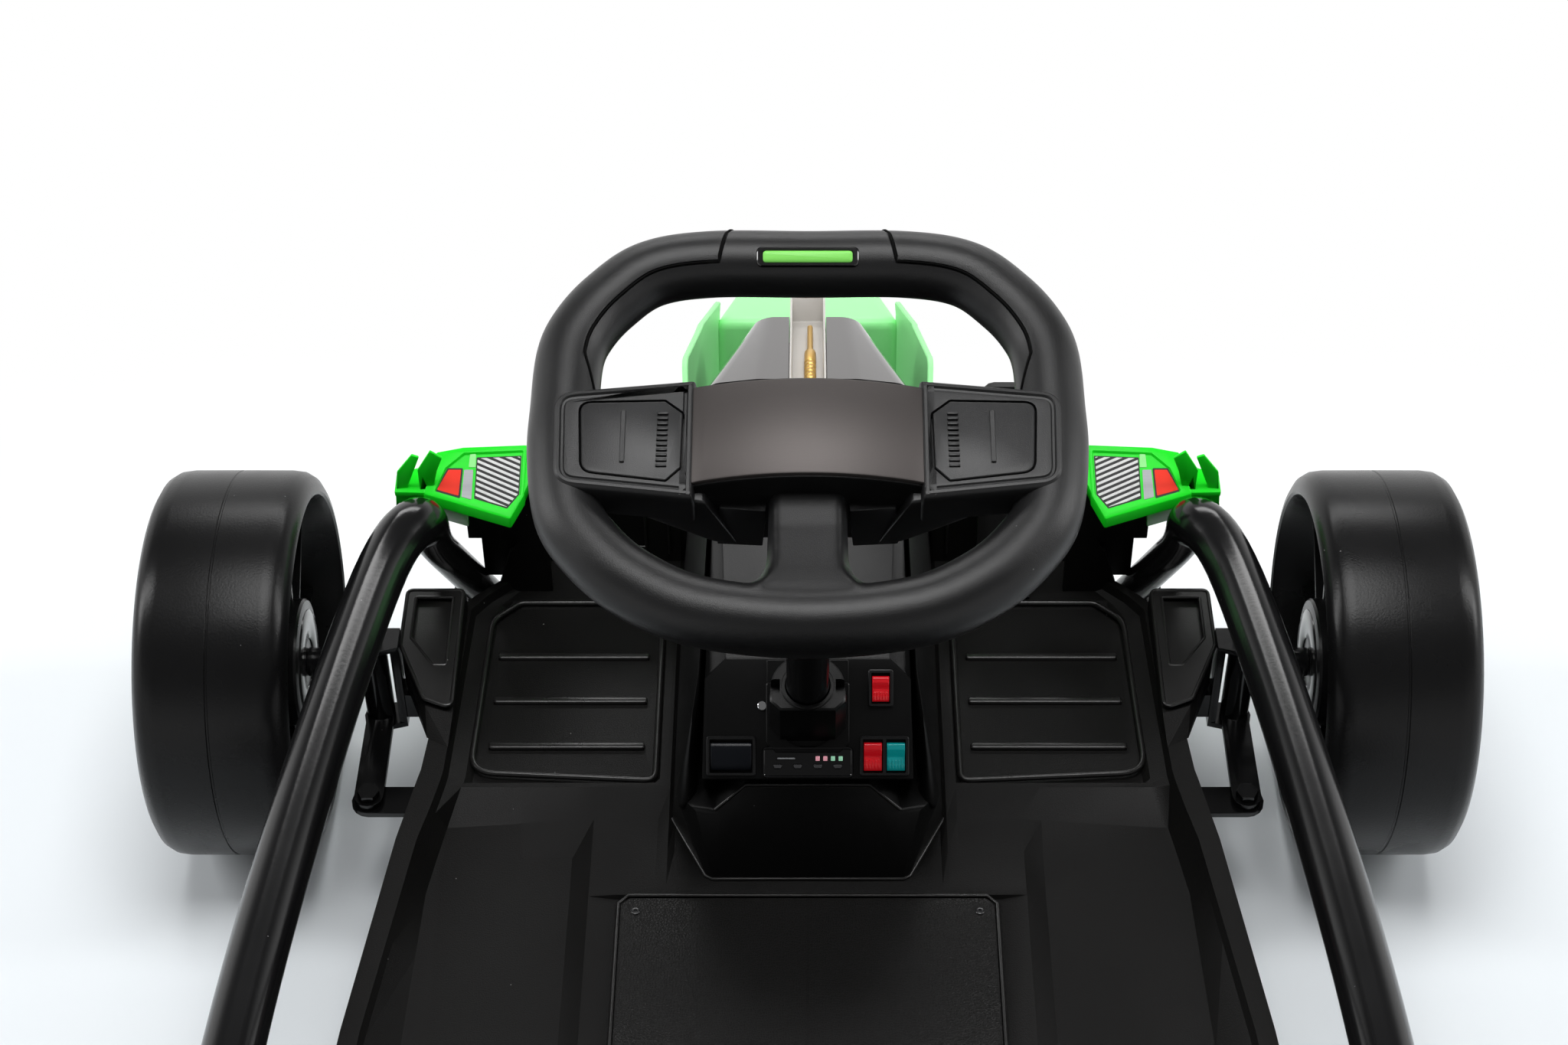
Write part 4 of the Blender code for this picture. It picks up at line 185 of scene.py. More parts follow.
# Each finish: colour, roughness, grain depth and colour variation, then what differs from the plain mould grain
finishes = {
    "glossSteel": ((0.0045, 0.0045, 0.0048), 0.17, 0.05, 0.15, dict(scale=420, specks=0.3, specular=0.42)),
    "satinPlastic": ((0.0070, 0.0068, 0.0068), 0.40, 0.20, 0.25, dict(scale=1500, specks=0.4, specular=0.22)),
    "panelPlastic": ((0.0045, 0.0045, 0.0046), 0.34, 0.12, 0.25, dict(scale=1500, specks=0.3, specular=0.20)),
    "trayPlastic": ((0.0058, 0.0056, 0.0054), 0.40, 0.30, 0.30, dict(scale=1300, specks=0.8, specular=0.11)),
    "gripPlastic": ((0.0075, 0.0075, 0.0078), 0.33, 0.22, 0.20, dict(scale=2100, specks=0.3, specular=0.30)),
    "podPlastic": ((0.0078, 0.0078, 0.0082), 0.36, 0.20, 0.20, dict(scale=1900, specks=0.3, specular=0.34)),
    "hubMetallic": ((0.058, 0.051, 0.049), 0.46, 0.12, 0.30, dict(scale=3200, surface="brushed", metallic=0.70)),
    # a lighter copy of the tray plastic for ribs, beads, ridges and lips: a painted highlight along those edges
    "trayHighlightEdge": ((0.0090, 0.0087, 0.0085), 0.30, 0.14, 0.25, dict(scale=1300, specks=0.5, specular=0.42)),
    "fairingGloss": ((0.046, 0.040, 0.038), 0.14, 0.03, 0.10,
                     dict(scale=300, metallic=0.35, coat=0.6, coatRough=0.05)),
    "greenPlastic": ((0.008, 0.70, 0.016), 0.34, 0.06, 0.12, dict(specks=0.2, specular=0.14)),
    # the nose blades and tip glow a little: a painted glow, as they are no lamp
    "paleGreenPaintedGlow": ((0.30, 0.82, 0.32), 0.36, 0.05, 0.10,
                  dict(specular=0.30, glow=(0.45, 1.0, 0.50, 1.0), glowStrength=0.07)),
    "wheelPlastic": ((0.0055, 0.0055, 0.0057), 0.28, 0.14, 0.30, dict(scale=700, specks=0.6, specular=0.18)),
    "wheelHub": ((0.0060, 0.0060, 0.0062), 0.15, 0.05, 0.15, dict(scale=700, specks=0.4, specular=0.45)),
    "zinc": ((0.50, 0.50, 0.51), 0.27, 0.10, 0.25, dict(metallic=1.0)),
    "chrome": ((0.80, 0.80, 0.81), 0.10, 0.03, 0.10, dict(metallic=1.0)),
    "darkScrew": ((0.012, 0.012, 0.013), 0.28, 0.10, 0.25, dict(specular=0.55)),
    # the red and teal rocker keys glow a little: a painted glow, as they are no lamps
    "redKeyPaintedGlow": ((0.50, 0.006, 0.012), 0.16, 0.03, 0.15,
               dict(coat=0.5, glow=(1.0, 0.01, 0.02, 1.0), glowStrength=0.16)),
    "tealKeyPaintedGlow": ((0.003, 0.27, 0.28), 0.16, 0.03, 0.15,
                dict(coat=0.5, glow=(0.0, 0.6, 0.6, 1.0), glowStrength=0.10)),
    "hornKey": ((0.0060, 0.0075, 0.0110), 0.32, 0.03, 0.20, dict(specular=0.30)),
    "lightGreen": ((0.19, 0.60, 0.10), 0.34, 0.04, 0.08,
                   dict(specular=0.25, glow=(0.20, 0.70, 0.12, 1.0), glowStrength=0.05)),
    "goldDamper": ((0.72, 0.45, 0.12), 0.30, 0.08, 0.20, dict(scale=600, metallic=0.6)),
    "paleSpine": ((0.52, 0.50, 0.47), 0.32, 0.05, 0.12, dict(scale=600)),
    "batteryGrey": ((0.08, 0.08, 0.085), 0.50, 0.15, 0.15, dict(scale=800)),
    "gearboxPlastic": ((0.011, 0.011, 0.0115), 0.46, 0.25, 0.25, dict(specular=0.30)),
    "seatPlastic": ((0.0095, 0.0095, 0.0098), 0.38, 0.30, 0.20, dict(scale=800, specks=0.3, specular=0.32)),
    "coverLeather": ((0.0062, 0.0060, 0.0058), 0.40, 0.38, 0.20,
                     dict(scale=620, specks=0.7, surface="leather", specular=0.16)),
    "glossDisplay": ((0.0022, 0.0022, 0.0025), 0.12, 0.02, 0.10, dict(scale=300, coat=0.3)),
    "greyTrim": ((0.060, 0.060, 0.063), 0.35, 0.08, 0.15, {}),
    "darkGround": ((0.022, 0.022, 0.023), 0.36, 0.04, 0.15, dict(specular=0.12)),
    "stickerRed": ((0.80, 0.030, 0.012), 0.40, 0.03, 0.08, dict(specular=0.10)),
    "stickerSilver": ((0.38, 0.39, 0.41), 0.42, 0.05, 0.30, dict(surface="brushed", specular=0.20)),
    "stickerWhite": ((0.66, 0.66, 0.66), 0.40, 0.02, 0.06, dict(specular=0.12)),
    "stickerGreen": ((0.12, 0.62, 0.10), 0.28, 0.02, 0.06, {}),
    "lampPink": ((0.62, 0.30, 0.36), 0.25, 0.02, 0.10, dict(glow=(1.0, 0.42, 0.50, 1.0), glowStrength=0.35)),
    "lampGreen": ((0.30, 0.58, 0.42), 0.25, 0.02, 0.10, dict(glow=(0.45, 0.95, 0.62, 1.0), glowStrength=0.30)),
    # near black for the thin tube laid in each grip groove: painted shade in the crease
    "groovePaintedShade": ((0.0010, 0.0010, 0.0010), 0.70, 0.05, 0.10, dict(specular=0.05)),
}
materials = {name: makeMaterial(name, *look, **extra) for name, (*look, extra) in finishes.items()}
print("finishes:", len(materials))

# The finish of each of the record's material slots
slotFinish = {
    "gloss_black_steel": "glossSteel", "satin_black_plastic": "satinPlastic", "matt_black_tray": "trayPlastic",
    "grip_black_plastic": "gripPlastic", "dark_metallic_plastic": "hubMetallic",
    "bright_green_plastic": "greenPlastic",
    "wheel_black": "wheelPlastic", "zinc_steel": "zinc", "red_switch": "redKeyPaintedGlow", "teal_switch": "tealKeyPaintedGlow",
    "light_green": "lightGreen", "yellow_plastic": "goldDamper", "battery_grey": "batteryGrey",
    "gearbox_black": "gearboxPlastic", "seat_black": "seatPlastic", "leather_black": "coverLeather",
}


# Pieces
def addPiece(name, mesh, finish, body, slot=None, stands=(), edge=0.0, segments=2, angle=30.0, crease=35.0):
    if finish:
        mesh.materials.clear()
        mesh.materials.append(materials[finish])
    mesh.shade_smooth()
    mesh.set_sharp_from_angle(angle=math.radians(crease))
    piece = bpy.data.objects.new(name, mesh)
    bpy.context.scene.collection.objects.link(piece)
    if edge:
        rounding = piece.modifiers.new("softEdges", "BEVEL")
        rounding.width = edge
        rounding.segments = segments
        rounding.limit_method = "ANGLE"
        rounding.angle_limit = math.radians(angle)
        rounding.harden_normals = True
    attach(piece, body)
    if stands:
        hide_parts(*stands)
    return piece


def addToWheel(name, mesh, finish="podPlastic", slot="grip_black_plastic", stands=(), crease=35.0):
    return addPiece(name, mesh, finish, "steering_column", slot, stands, crease=crease)


def addFixed(name, mesh, finish, slot, stands=(), crease=35.0):
    return addPiece(name, mesh, finish, "chassis", slot, stands, crease=crease)


# Shapes
def faceOutwards(bm):
    bmesh.ops.recalc_face_normals(bm, faces=bm.faces)
    if bm.calc_volume(signed=True) < 0:
        bmesh.ops.reverse_faces(bm, faces=bm.faces)


def finishMesh(bm, mesh):
    bm.to_mesh(mesh)
    bm.free()
    return mesh


def buildMesh(name, points, faces):
    bm = bmesh.new()
    made = [bm.verts.new(point) for point in points]
    for face in faces:
        bm.faces.new([made[index] for index in face])
    faceOutwards(bm)
    return finishMesh(bm, bpy.data.meshes.new(name))


def weldMesh(mesh, distance):
    bm = bmesh.new()
    bm.from_mesh(mesh)
    bmesh.ops.remove_doubles(bm, verts=bm.verts, dist=distance)
    faceOutwards(bm)
    return finishMesh(bm, mesh)


def joinMeshes(name, meshes):
    bm = bmesh.new()
    for mesh in meshes:
        bm.from_mesh(mesh)
    return finishMesh(bm, bpy.data.meshes.new(name))


def mergedCopy(node):
    # a CAD node's loose triangles, joined into whole faces
    bm = bmesh.new()
    bm.from_mesh(nodes[node].data)
    bmesh.ops.remove_doubles(bm, verts=bm.verts, dist=0.00001)
    bmesh.ops.dissolve_limit(bm, angle_limit=math.radians(0.6), verts=bm.verts, edges=bm.edges)
    return finishMesh(bm, bpy.data.meshes.new(node))


def toSide(points, side):
    return [(side * x, y, z) for x, y, z in points]


def bothSides(points):
    return toSide(points, -1) + toSide(points, 1)


def inFrame(place, points):
    return [place @ Vector(point) for point in points]


def loftRings(name, rings, loop=False):
    # a skin over rings of equal point counts; loop joins the last ring to the first
    count = len(rings[0])
    faces = []
    for row in range(len(rings) if loop else len(rings) - 1):
        after = (row + 1) % len(rings)
        for step in range(count):
            beside = (step + 1) % count
            faces.append((row * count + step, row * count + beside, after * count + beside, after * count + step))
    if not loop:
        faces += [tuple(range(count)), tuple((len(rings) - 1) * count + step for step in range(count))]
    return buildMesh(name, [point for ring in rings for point in ring], faces)


def roundOutline(corners, radii, steps=5):
    # the corners of an outline, each rounded by its own radius
    if isinstance(radii, (int, float)):
        radii = [radii] * len(corners)
    outline = []
    for index, corner in enumerate(corners):
        here = Vector(corner)
        before = Vector(corners[index - 1]) - here
        after = Vector(corners[(index + 1) % len(corners)]) - here
        reach = radii[index] / math.tan(before.angle(after) / 2)
        reach = min(reach, before.length * 0.49, after.length * 0.49)
        start, end = here + before.normalized() * reach, here + after.normalized() * reach
        for step in range(steps + 1):
            share = step / steps
            outline.append(start * (1 - share) ** 2 + here * 2 * share * (1 - share) + end * share ** 2)
    return outline


def roundRectangle(centre, size, radius, steps):
    (x, y), width, depth = centre, size[0] / 2, size[1] / 2
    corners = [(x - width, y - depth), (x + width, y - depth), (x + width, y + depth), (x - width, y + depth)]
    return roundOutline(corners, radius, steps)


def anticlockwise(outline):
    area = sum(outline[i - 1].x * outline[i].y - outline[i].x * outline[i - 1].y for i in range(len(outline)))
    return outline if area > 0 else outline[::-1]


def insetOutline(outline, distance):
    # moves an anticlockwise outline inwards
    moved = []
    for index, here in enumerate(outline):
        along = (here - outline[index - 1]).normalized()
        onward = (outline[(index + 1) % len(outline)] - here).normalized()
        first, second = Vector((-along.y, along.x)), Vector((-onward.y, onward.x))
        middle = (first + second).normalized()
        moved.append(here + middle * distance / max(0.4, middle.dot(first)))
    return moved


def flipOutline(outline, side):
    # the mirror image for the left, still anticlockwise
    return outline if side > 0 else [Vector((-point.x, point.y)) for point in reversed(outline)]


def steppedPlate(name, outline, levels, place):
    # a plate whose outline shrinks by an inset at each height
    rings = []
    for inset, height in levels:
        rings.append([place @ Vector((point.x, point.y, height)) for point in insetOutline(outline, inset)])
    return loftRings(name, rings)


def smoothPath(points, steps, loop=False):
    points = [Vector(point) for point in points]
    count = len(points)
    path = []
    for index in range(count if loop else count - 1):
        picks = [points[(index + shift) % count] if loop else points[min(max(index + shift, 0), count - 1)]
                 for shift in (-1, 0, 1, 2)]
        for step in range(steps):
            t = step / steps
            path.append(0.5 * (2 * picks[1] + (picks[2] - picks[0]) * t
                               + (2 * picks[0] - 5 * picks[1] + 4 * picks[2] - picks[3]) * t ** 2
                               + (3 * picks[1] - picks[0] - 3 * picks[2] + picks[3]) * t ** 3))
    if not loop:
        path.append(points[-1])
    return path


def sweepTube(name, path, radii, around=16, loop=False):
    # a round section carried along a path without twist
    if isinstance(radii, (int, float)):
        radii = [radii] * len(path)
    path = [Vector(point) for point in path]
    count = len(path)
    tangents = []
    for index in range(count):
        before = path[index - 1] if loop or index else path[0]
        after = path[(index + 1) % count] if loop or index < count - 1 else path[-1]
        tangents.append((after - before).normalized())
    normal = tangents[0].orthogonal().normalized()
    rings = []
    for point, tangent, radius in zip(path, tangents, radii):
        normal = (normal - tangent * normal.dot(tangent)).normalized()
        across = tangent.cross(normal)
        rings.append([point + (normal * math.cos(turn) + across * math.sin(turn)) * radius
                      for turn in (2 * math.pi * step / around for step in range(around))])
    return loftRings(name, rings, loop)


def latheMesh(name, profile, steps, place, loop=False):
    # profile of (radius, height) turned round the third axis of place
    rings = []
    for radius, height in profile:
        radius = max(radius, 0.00002)
        rings.append([place @ Vector((radius * math.cos(turn), radius * math.sin(turn), height))
                      for turn in (2 * math.pi * step / steps for step in range(steps))])
    return weldMesh(loftRings(name, rings, loop), 0.00006)


def blockMesh(name, low, high, place=Matrix.Identity(4)):
    corners = [(x, y, z) for z in (low[2], high[2]) for x, y in
               ((low[0], low[1]), (high[0], low[1]), (high[0], high[1]), (low[0], high[1]))]
    faces = [(3, 2, 1, 0), (4, 5, 6, 7), (0, 1, 5, 4), (1, 2, 6, 5), (2, 3, 7, 6), (3, 0, 4, 7)]
    return buildMesh(name, inFrame(place, corners), faces)


def hullMesh(name, points, place=Matrix.Identity(4)):
    bm = bmesh.new()
    for point in inFrame(place, points):
        bm.verts.new(point)
    made = bmesh.ops.convex_hull(bm, input=bm.verts)
    spare = [item for item in made["geom_interior"] if isinstance(item, bmesh.types.BMVert)]
    bmesh.ops.delete(bm, geom=spare, context="VERTS")
    bmesh.ops.dissolve_limit(bm, angle_limit=math.radians(1.0), verts=bm.verts, edges=bm.edges)
    faceOutwards(bm)
    return finishMesh(bm, bpy.data.meshes.new(name))


def placeOnBench(name, mesh):
    holder = bpy.data.objects.new(name, mesh)
    bpy.context.scene.collection.objects.link(holder)
    return holder


def plainResult(holder):
    bpy.context.view_layer.update()
    return bpy.data.meshes.new_from_object(holder.evaluated_get(bpy.context.evaluated_depsgraph_get()))


def withModifiers(mesh, settings):
    # the mesh after a list of modifiers, each given as (kind, its settings)
    benches = [placeOnBench("bench", mesh)]
    for kind, values in settings:
        modifier = benches[0].modifiers.new(kind, kind)
        for key, value in values.items():
            if isinstance(value, bpy.types.Mesh):
                value = placeOnBench("benchTool", value)
                benches.append(value)
            setattr(modifier, key, value)
    result = plainResult(benches[0])
    result.name = mesh.name
    for bench in benches:
        bpy.data.objects.remove(bench, do_unlink=True)
    return result


def carve(mesh, tool, operation="DIFFERENCE", solver="EXACT"):
    # a solver that gives nothing back is followed by the other one
    for choice in (solver, "MANIFOLD" if solver == "EXACT" else "EXACT"):
        result = withModifiers(mesh, [("BOOLEAN", dict(operation=operation, solver=choice, object=tool))])
        if len(result.polygons):
            break
    return result


def softenEdges(mesh, width, segments=2, angle=30.0):
    return withModifiers(mesh, [("BEVEL", dict(width=width, segments=segments, limit_method="ANGLE",
                                               angle_limit=math.radians(angle)))])


def softHull(name, points, place, width, segments=2, angle=20):
    return softenEdges(hullMesh(name, points, place), width, segments, angle)


# Geometry node trees for what repeats
finishInput = ("Finish", "NodeSocketMaterial", None)
geometryOutput = (("Geometry", "NodeSocketGeometry"),)


def startCopies(name, inputs):
    inputs = (("Geometry", "NodeSocketGeometry", None), *inputs, finishInput)
    tree, source, sink = startTree("GeometryNodeTree", name, inputs, geometryOutput)
    return tree, source.outputs, sink


def closeCopies(tree, given, sink, copies):
    realize = addNode(tree, "GeometryNodeRealizeInstances", {})
    paint = addNode(tree, "GeometryNodeSetMaterial", {})
    tree.links.new(copies.outputs["Instances"], realize.inputs["Geometry"])
    tree.links.new(realize.outputs["Geometry"], paint.inputs["Geometry"])
    tree.links.new(given["Finish"], paint.inputs["Material"])
    tree.links.new(paint.outputs["Geometry"], sink.inputs["Geometry"])
    return tree


def makeRowTree():
    # copies of one shape, each a fixed step from the last
    tree, given, sink = startCopies("rowOfCopies",
                                    (("Count", "NodeSocketInt", None), ("Step", "NodeSocketVector", None)))
    line = addNode(tree, "GeometryNodeMeshLine", {"Count": given["Count"], "Offset": given["Step"]})
    copies = addNode(tree, "GeometryNodeInstanceOnPoints",
                     {"Points": line.outputs["Mesh"], "Instance": given["Geometry"]})
    return closeCopies(tree, given, sink, copies)


def makeRingTree():
    # copies of one shape turned round the third axis
    tree, given, sink = startCopies("ringOfCopies",
                                    (("Count", "NodeSocketInt", None), ("Turn", "NodeSocketFloat", None)))
    points = addNode(tree, "GeometryNodeMeshLine", {"Offset": (0.0, 0.0, 0.0), "Count": given["Count"]})
    index = addNode(tree, "GeometryNodeInputIndex", {})
    turn = addMath(tree, "MULTIPLY", index.outputs["Index"], given["Turn"])
    angles = addNode(tree, "ShaderNodeCombineXYZ", {"Z": turn})
    copies = addNode(tree, "GeometryNodeInstanceOnPoints", {
        "Points": points.outputs["Mesh"], "Instance": given["Geometry"], "Rotation": angles.outputs["Vector"]})
    return closeCopies(tree, given, sink, copies)


screwShape = {"around": 18, "crownShare": 0.86, "crownHeight": 0.25}


def makeScrewTree():
    # a screw head with a hexagon socket on each point, square to the point's own direction
    floats = ("Head Radius", "Head Height", "Socket Share", "Socket Depth")
    tree, given, sink = startCopies("screwHeads", [(label, "NodeSocketFloat", None) for label in floats])
    head = addNode(tree, "GeometryNodeMeshCylinder", {
        "Vertices": screwShape["around"], "Radius": given["Head Radius"], "Depth": given["Head Height"]})
    shape, top = head.outputs["Mesh"], head.outputs["Top"]
    # the crown, then the socket's rim, then its floor
    for depth, amount, share in (("Head Height", screwShape["crownHeight"], screwShape["crownShare"]),
                                 (None, 0.0, given["Socket Share"]), ("Socket Depth", -1.0, None)):
        push = addNode(tree, "GeometryNodeExtrudeMesh", {
            "Individual": False, "Mesh": shape, "Selection": top, "Offset Scale": 0.0})
        if depth:
            tree.links.new(addMath(tree, "MULTIPLY", given[depth], amount), push.inputs["Offset Scale"])
        shape, top = push.outputs["Mesh"], push.outputs["Top"]
        if share:
            shape = addNode(tree, "GeometryNodeScaleElements", {
                "Geometry": shape, "Selection": top, "Scale": share}).outputs["Geometry"]
    facing = addNode(tree, "GeometryNodeInputNamedAttribute", {"Name": "facing"}, data_type="FLOAT_VECTOR")
    turn = addNode(tree, "FunctionNodeAlignRotationToVector", {"Vector": facing.outputs["Attribute"]}, axis="Z")
    copies = addNode(tree, "GeometryNodeInstanceOnPoints", {
        "Points": given["Geometry"], "Instance": shape, "Rotation": turn.outputs["Rotation"]})
    return closeCopies(tree, given, sink, copies)


trees = {"row": makeRowTree(), "screws": makeScrewTree(), "ring": makeRingTree()}


def runTree(mesh, treeName, values, finish):
    # the tree's result as a plain mesh
    values["Finish"] = materials[finish]
    tree = trees[treeName]
    holder = placeOnBench("treeBench", mesh)
    modifier = holder.modifiers.new(treeName, "NODES")
    modifier.node_group = tree
    for item in tree.interface.items_tree:
        if item.in_out == "INPUT" and item.name in values:
            modifier[item.identifier] = values[item.name]
    result = plainResult(holder)
    holder.modifiers.remove(modifier)
    bpy.data.objects.remove(holder, do_unlink=True)
    return result


def rowOf(mesh, count, step, finish):
    return runTree(mesh, "row", {"Count": count, "Step": step}, finish)


def ringOf(mesh, count, finish):
    return runTree(mesh, "ring", {"Count": count, "Turn": 2 * math.pi / count}, finish)


def addScrews(name, places, body, finish, slot, radius, height, share, depth):
    # places are pairs of a point and the direction that the head faces
    mesh = bpy.data.meshes.new(name)
    mesh.from_pydata([tuple(point) for point, facing in places], [], [])
    facings = mesh.attributes.new("facing", "FLOAT_VECTOR", "POINT")
    for index, (point, facing) in enumerate(places):
        facings.data[index].vector = Vector(facing).normalized()
    sizes = {"Head Radius": radius, "Head Height": height, "Socket Share": share, "Socket Depth": depth}
    return addPiece(name, runTree(mesh, "screws", sizes, finish), None, body, slot)


# Steering wheel, in its own plane: x to the right, y away from the driver, z along the column
steering = {
    "columnFoot": (0.0, 0.1838, 0.2018), "columnLean": 15.0, "hubDistance": 0.2855,
    "rimRadius": 0.0173, "rimSetback": 0.0165, "voxel": 0.0013,
    "rimLine": ((0.0, 0.1176), (0.0500, 0.1176), (0.0810, 0.1112), (0.1013, 0.0938), (0.1139, 0.0758),
                (0.1198, 0.0580), (0.1212, 0.0284), (0.1215, 0.0012), (0.1168, -0.0330), (0.1055, -0.0528),
                (0.0852, -0.0722), (0.0525, -0.0882), (0.0, -0.0942)),
    "grooveRadius": 0.0012, "grooveShadeRadius": 0.0006, "grooveSide": 32.0, "grooveSwing": 42.0,
    "grooveLow": 0.026, "grooveBend": 0.053, "grooveTurn": 0.0455, "grooveTop": 0.0362,
    # lower spoke: distance from the hub, half widths at the front, side and back, front and back heights
    "spoke": ((-0.022, 0.0166, 0.0195, 0.0150, -0.0070, -0.0340),
              (-0.046, 0.0164, 0.0200, 0.0150, -0.0060, -0.0330),
              (-0.060, 0.0160, 0.0203, 0.0160, -0.0045, -0.0320),
              (-0.066, 0.0160, 0.0217, 0.0180, -0.0038, -0.0318),
              (-0.0705, 0.0162, 0.0246, 0.0205, -0.0032, -0.0316),
              (-0.0735, 0.0168, 0.0285, 0.0240, -0.0027, -0.0314),
              (-0.0760, 0.0180, 0.0345, 0.0300, -0.0023, -0.0312),
              (-0.0800, 0.0210, 0.0430, 0.0380, -0.0017, -0.0310),
              (-0.0880, 0.0260, 0.0460, 0.0400, -0.0008, -0.0310)),
    "spokeMiddle": -0.0165, "spokeRadii": (0.004, 0.004, 0.010, 0.0045, 0.0045, 0.010),
}
columnLean = math.radians(steering["columnLean"])
columnFrame = Matrix.Translation(steering["columnFoot"]) @ Matrix.Rotation(columnLean, 4, "X")
wheelFrame = columnFrame @ Matrix.Translation((0.0, 0.0, steering["hubDistance"]))


def rimPath():
    right = steering["rimLine"]
    corners = list(right) + [(-x, y) for x, y in right[-2:0:-1]]
    return smoothPath([(x, y, -steering["rimSetback"]) for x, y in corners], 10, loop=True)


def rimSurfacePoint(path, place, turn):
    # a point on the rim, turn degrees from the driver's side towards the hub
    low = int(math.floor(place)) % len(path)
    middle = path[low].lerp(path[(low + 1) % len(path)], place - math.floor(place))
    along = (path[(low + 2) % len(path)] - path[low - 1]).normalized()
    inwards = Vector((-along.y, along.x, 0.0))
    if inwards.dot(-middle) < 0:
        inwards = -inwards
    radius, turn = steering["rimRadius"], math.radians(turn)
    return middle + Vector((0, 0, 1)) * math.cos(turn) * radius + inwards * math.sin(turn) * radius


def placeOnRim(path, test):
    # first place along the right half of the rim where test holds
    return float(next(index for index in range(len(path) // 2) if test(path[index])))


def grooveMesh(path, side, radius):
    # the parting line of the grip: up from the pod, across the rim to its outer top, and back down behind
    low = placeOnRim(path, lambda point: point.x > 0.05 and point.y < steering["grooveLow"])
    bend = placeOnRim(path, lambda point: point.x > 0.05 and point.y < steering["grooveBend"])
    corner = placeOnRim(path, lambda point: point.x > steering["grooveTurn"])
    top = placeOnRim(path, lambda point: point.x > steering["grooveTop"])
    near, outside, far = steering["grooveSide"], -90.0, 180.0 - steering["grooveSide"] - 360.0
    swing = steering["grooveSwing"]
    stations = [(low + (bend - low) * step / 10, near + swing * (1 - step / 10)) for step in range(10)]
    stations += [(bend + (corner - bend) * step / 30, near) for step in range(31)]
    for (start, startTurn), (end, endTurn) in (((corner, near), (top, outside)), ((top, outside), (corner, far))):
        stations += [(start + (end - start) * step / 12, startTurn + (endTurn - startTurn) * step / 12)
                     for step in range(1, 13)]
    stations += [(corner + (low - corner) * step / 30, far) for step in range(1, 31)]
    points = [rimSurfacePoint(path, place, turn) for place, turn in stations]
    return sweepTube(f"groove{side}", inFrame(wheelFrame, toSide(points, side)), radius, 6)


def spokeMesh():
    rings = []
    for reach, front, middle, back, high, low in steering["spoke"]:
        waist = steering["spokeMiddle"]
        corners = [(-back, low), (back, low), (middle, waist), (front, high), (-front, high), (-middle, waist)]
        ring = roundOutline(corners, steering["spokeRadii"], 4)
        rings.append(inFrame(wheelFrame, [(point.x, reach, point.y) for point in ring]))
    return loftRings("lowerSpoke", rings)


lightBar = {
    "tilt": 23.0, "middle": (0.0, 0.1176), "bezel": (0.0524, 0.0108), "slot": (0.0466, 0.0068),
    "bar": (0.0458, 0.0060),
    "recessDepth": -0.004, "slotDepth": -0.0032,
    "bezelLevels": ((0.0003, -0.0042), (0.0003, -0.0003), (0.0008, 0.0001), (0.0014, 0.0001)),
    "barLevels": ((0.0, -0.0030), (0.0, -0.0002), (0.0006, 0.0003), (0.0016, 0.0005)),
}
lightBarFrame = (wheelFrame @ Matrix.Translation((*lightBar["middle"], -steering["rimSetback"]))
                 @ Matrix.Rotation(math.radians(lightBar["tilt"]), 4, "X")
                 @ Matrix.Translation((0.0, 0.0, steering["rimRadius"])))


def barPlate(name, part, radius, steps, levels):
    return steppedPlate(name, roundRectangle((0.0, 0.0), lightBar[part], radius, steps), levels, lightBarFrame)


def makeRim():
    path = rimPath()
    rim = sweepTube("wheelRim", inFrame(wheelFrame, path), steering["rimRadius"], 32, loop=True)
    joined = withModifiers(carve(rim, spokeMesh(), "UNION"), [
        ("REMESH", dict(mode="VOXEL", voxel_size=steering["voxel"], use_smooth_shade=True)),
        ("SMOOTH", dict(factor=0.5, iterations=9)),
    ])
    for side, label in sides:
        joined = carve(joined, grooveMesh(path, side, steering["grooveRadius"]), solver="MANIFOLD")
    recess = barPlate("lightRecess", "bezel", 0.0035, 5, ((0, lightBar["recessDepth"]), (0, 0.010)))
    joined = carve(joined, recess, solver="MANIFOLD")
    for side, label in sides:
        # a near-black thin tube along each groove: painted shade in the crease
        addToWheel(f"wheel_grip_groove_shade_{label}", grooveMesh(path, side, steering["grooveShadeRadius"]), "groovePaintedShade",
                   crease=60)
    addToWheel("wheel_rim", joined, "gripPlastic", stands=("steering_wheel",), crease=40)


def makeLightBar():
    bezel = barPlate("lightBezel", "bezel", 0.0035, 6, lightBar["bezelLevels"])
    bezel = carve(bezel, barPlate("lightSlot", "slot", 0.0022, 6, ((0, lightBar["slotDepth"]), (0, 0.01))))
    addToWheel("wheel_light_bezel", bezel, "glossDisplay")
    bar = barPlate("lightBar", "bar", 0.0020, 6, lightBar["barLevels"])
    addToWheel("wheel_light_bar_lens", bar, "lightGreen", "light_green", ("wheel_light_bar",))


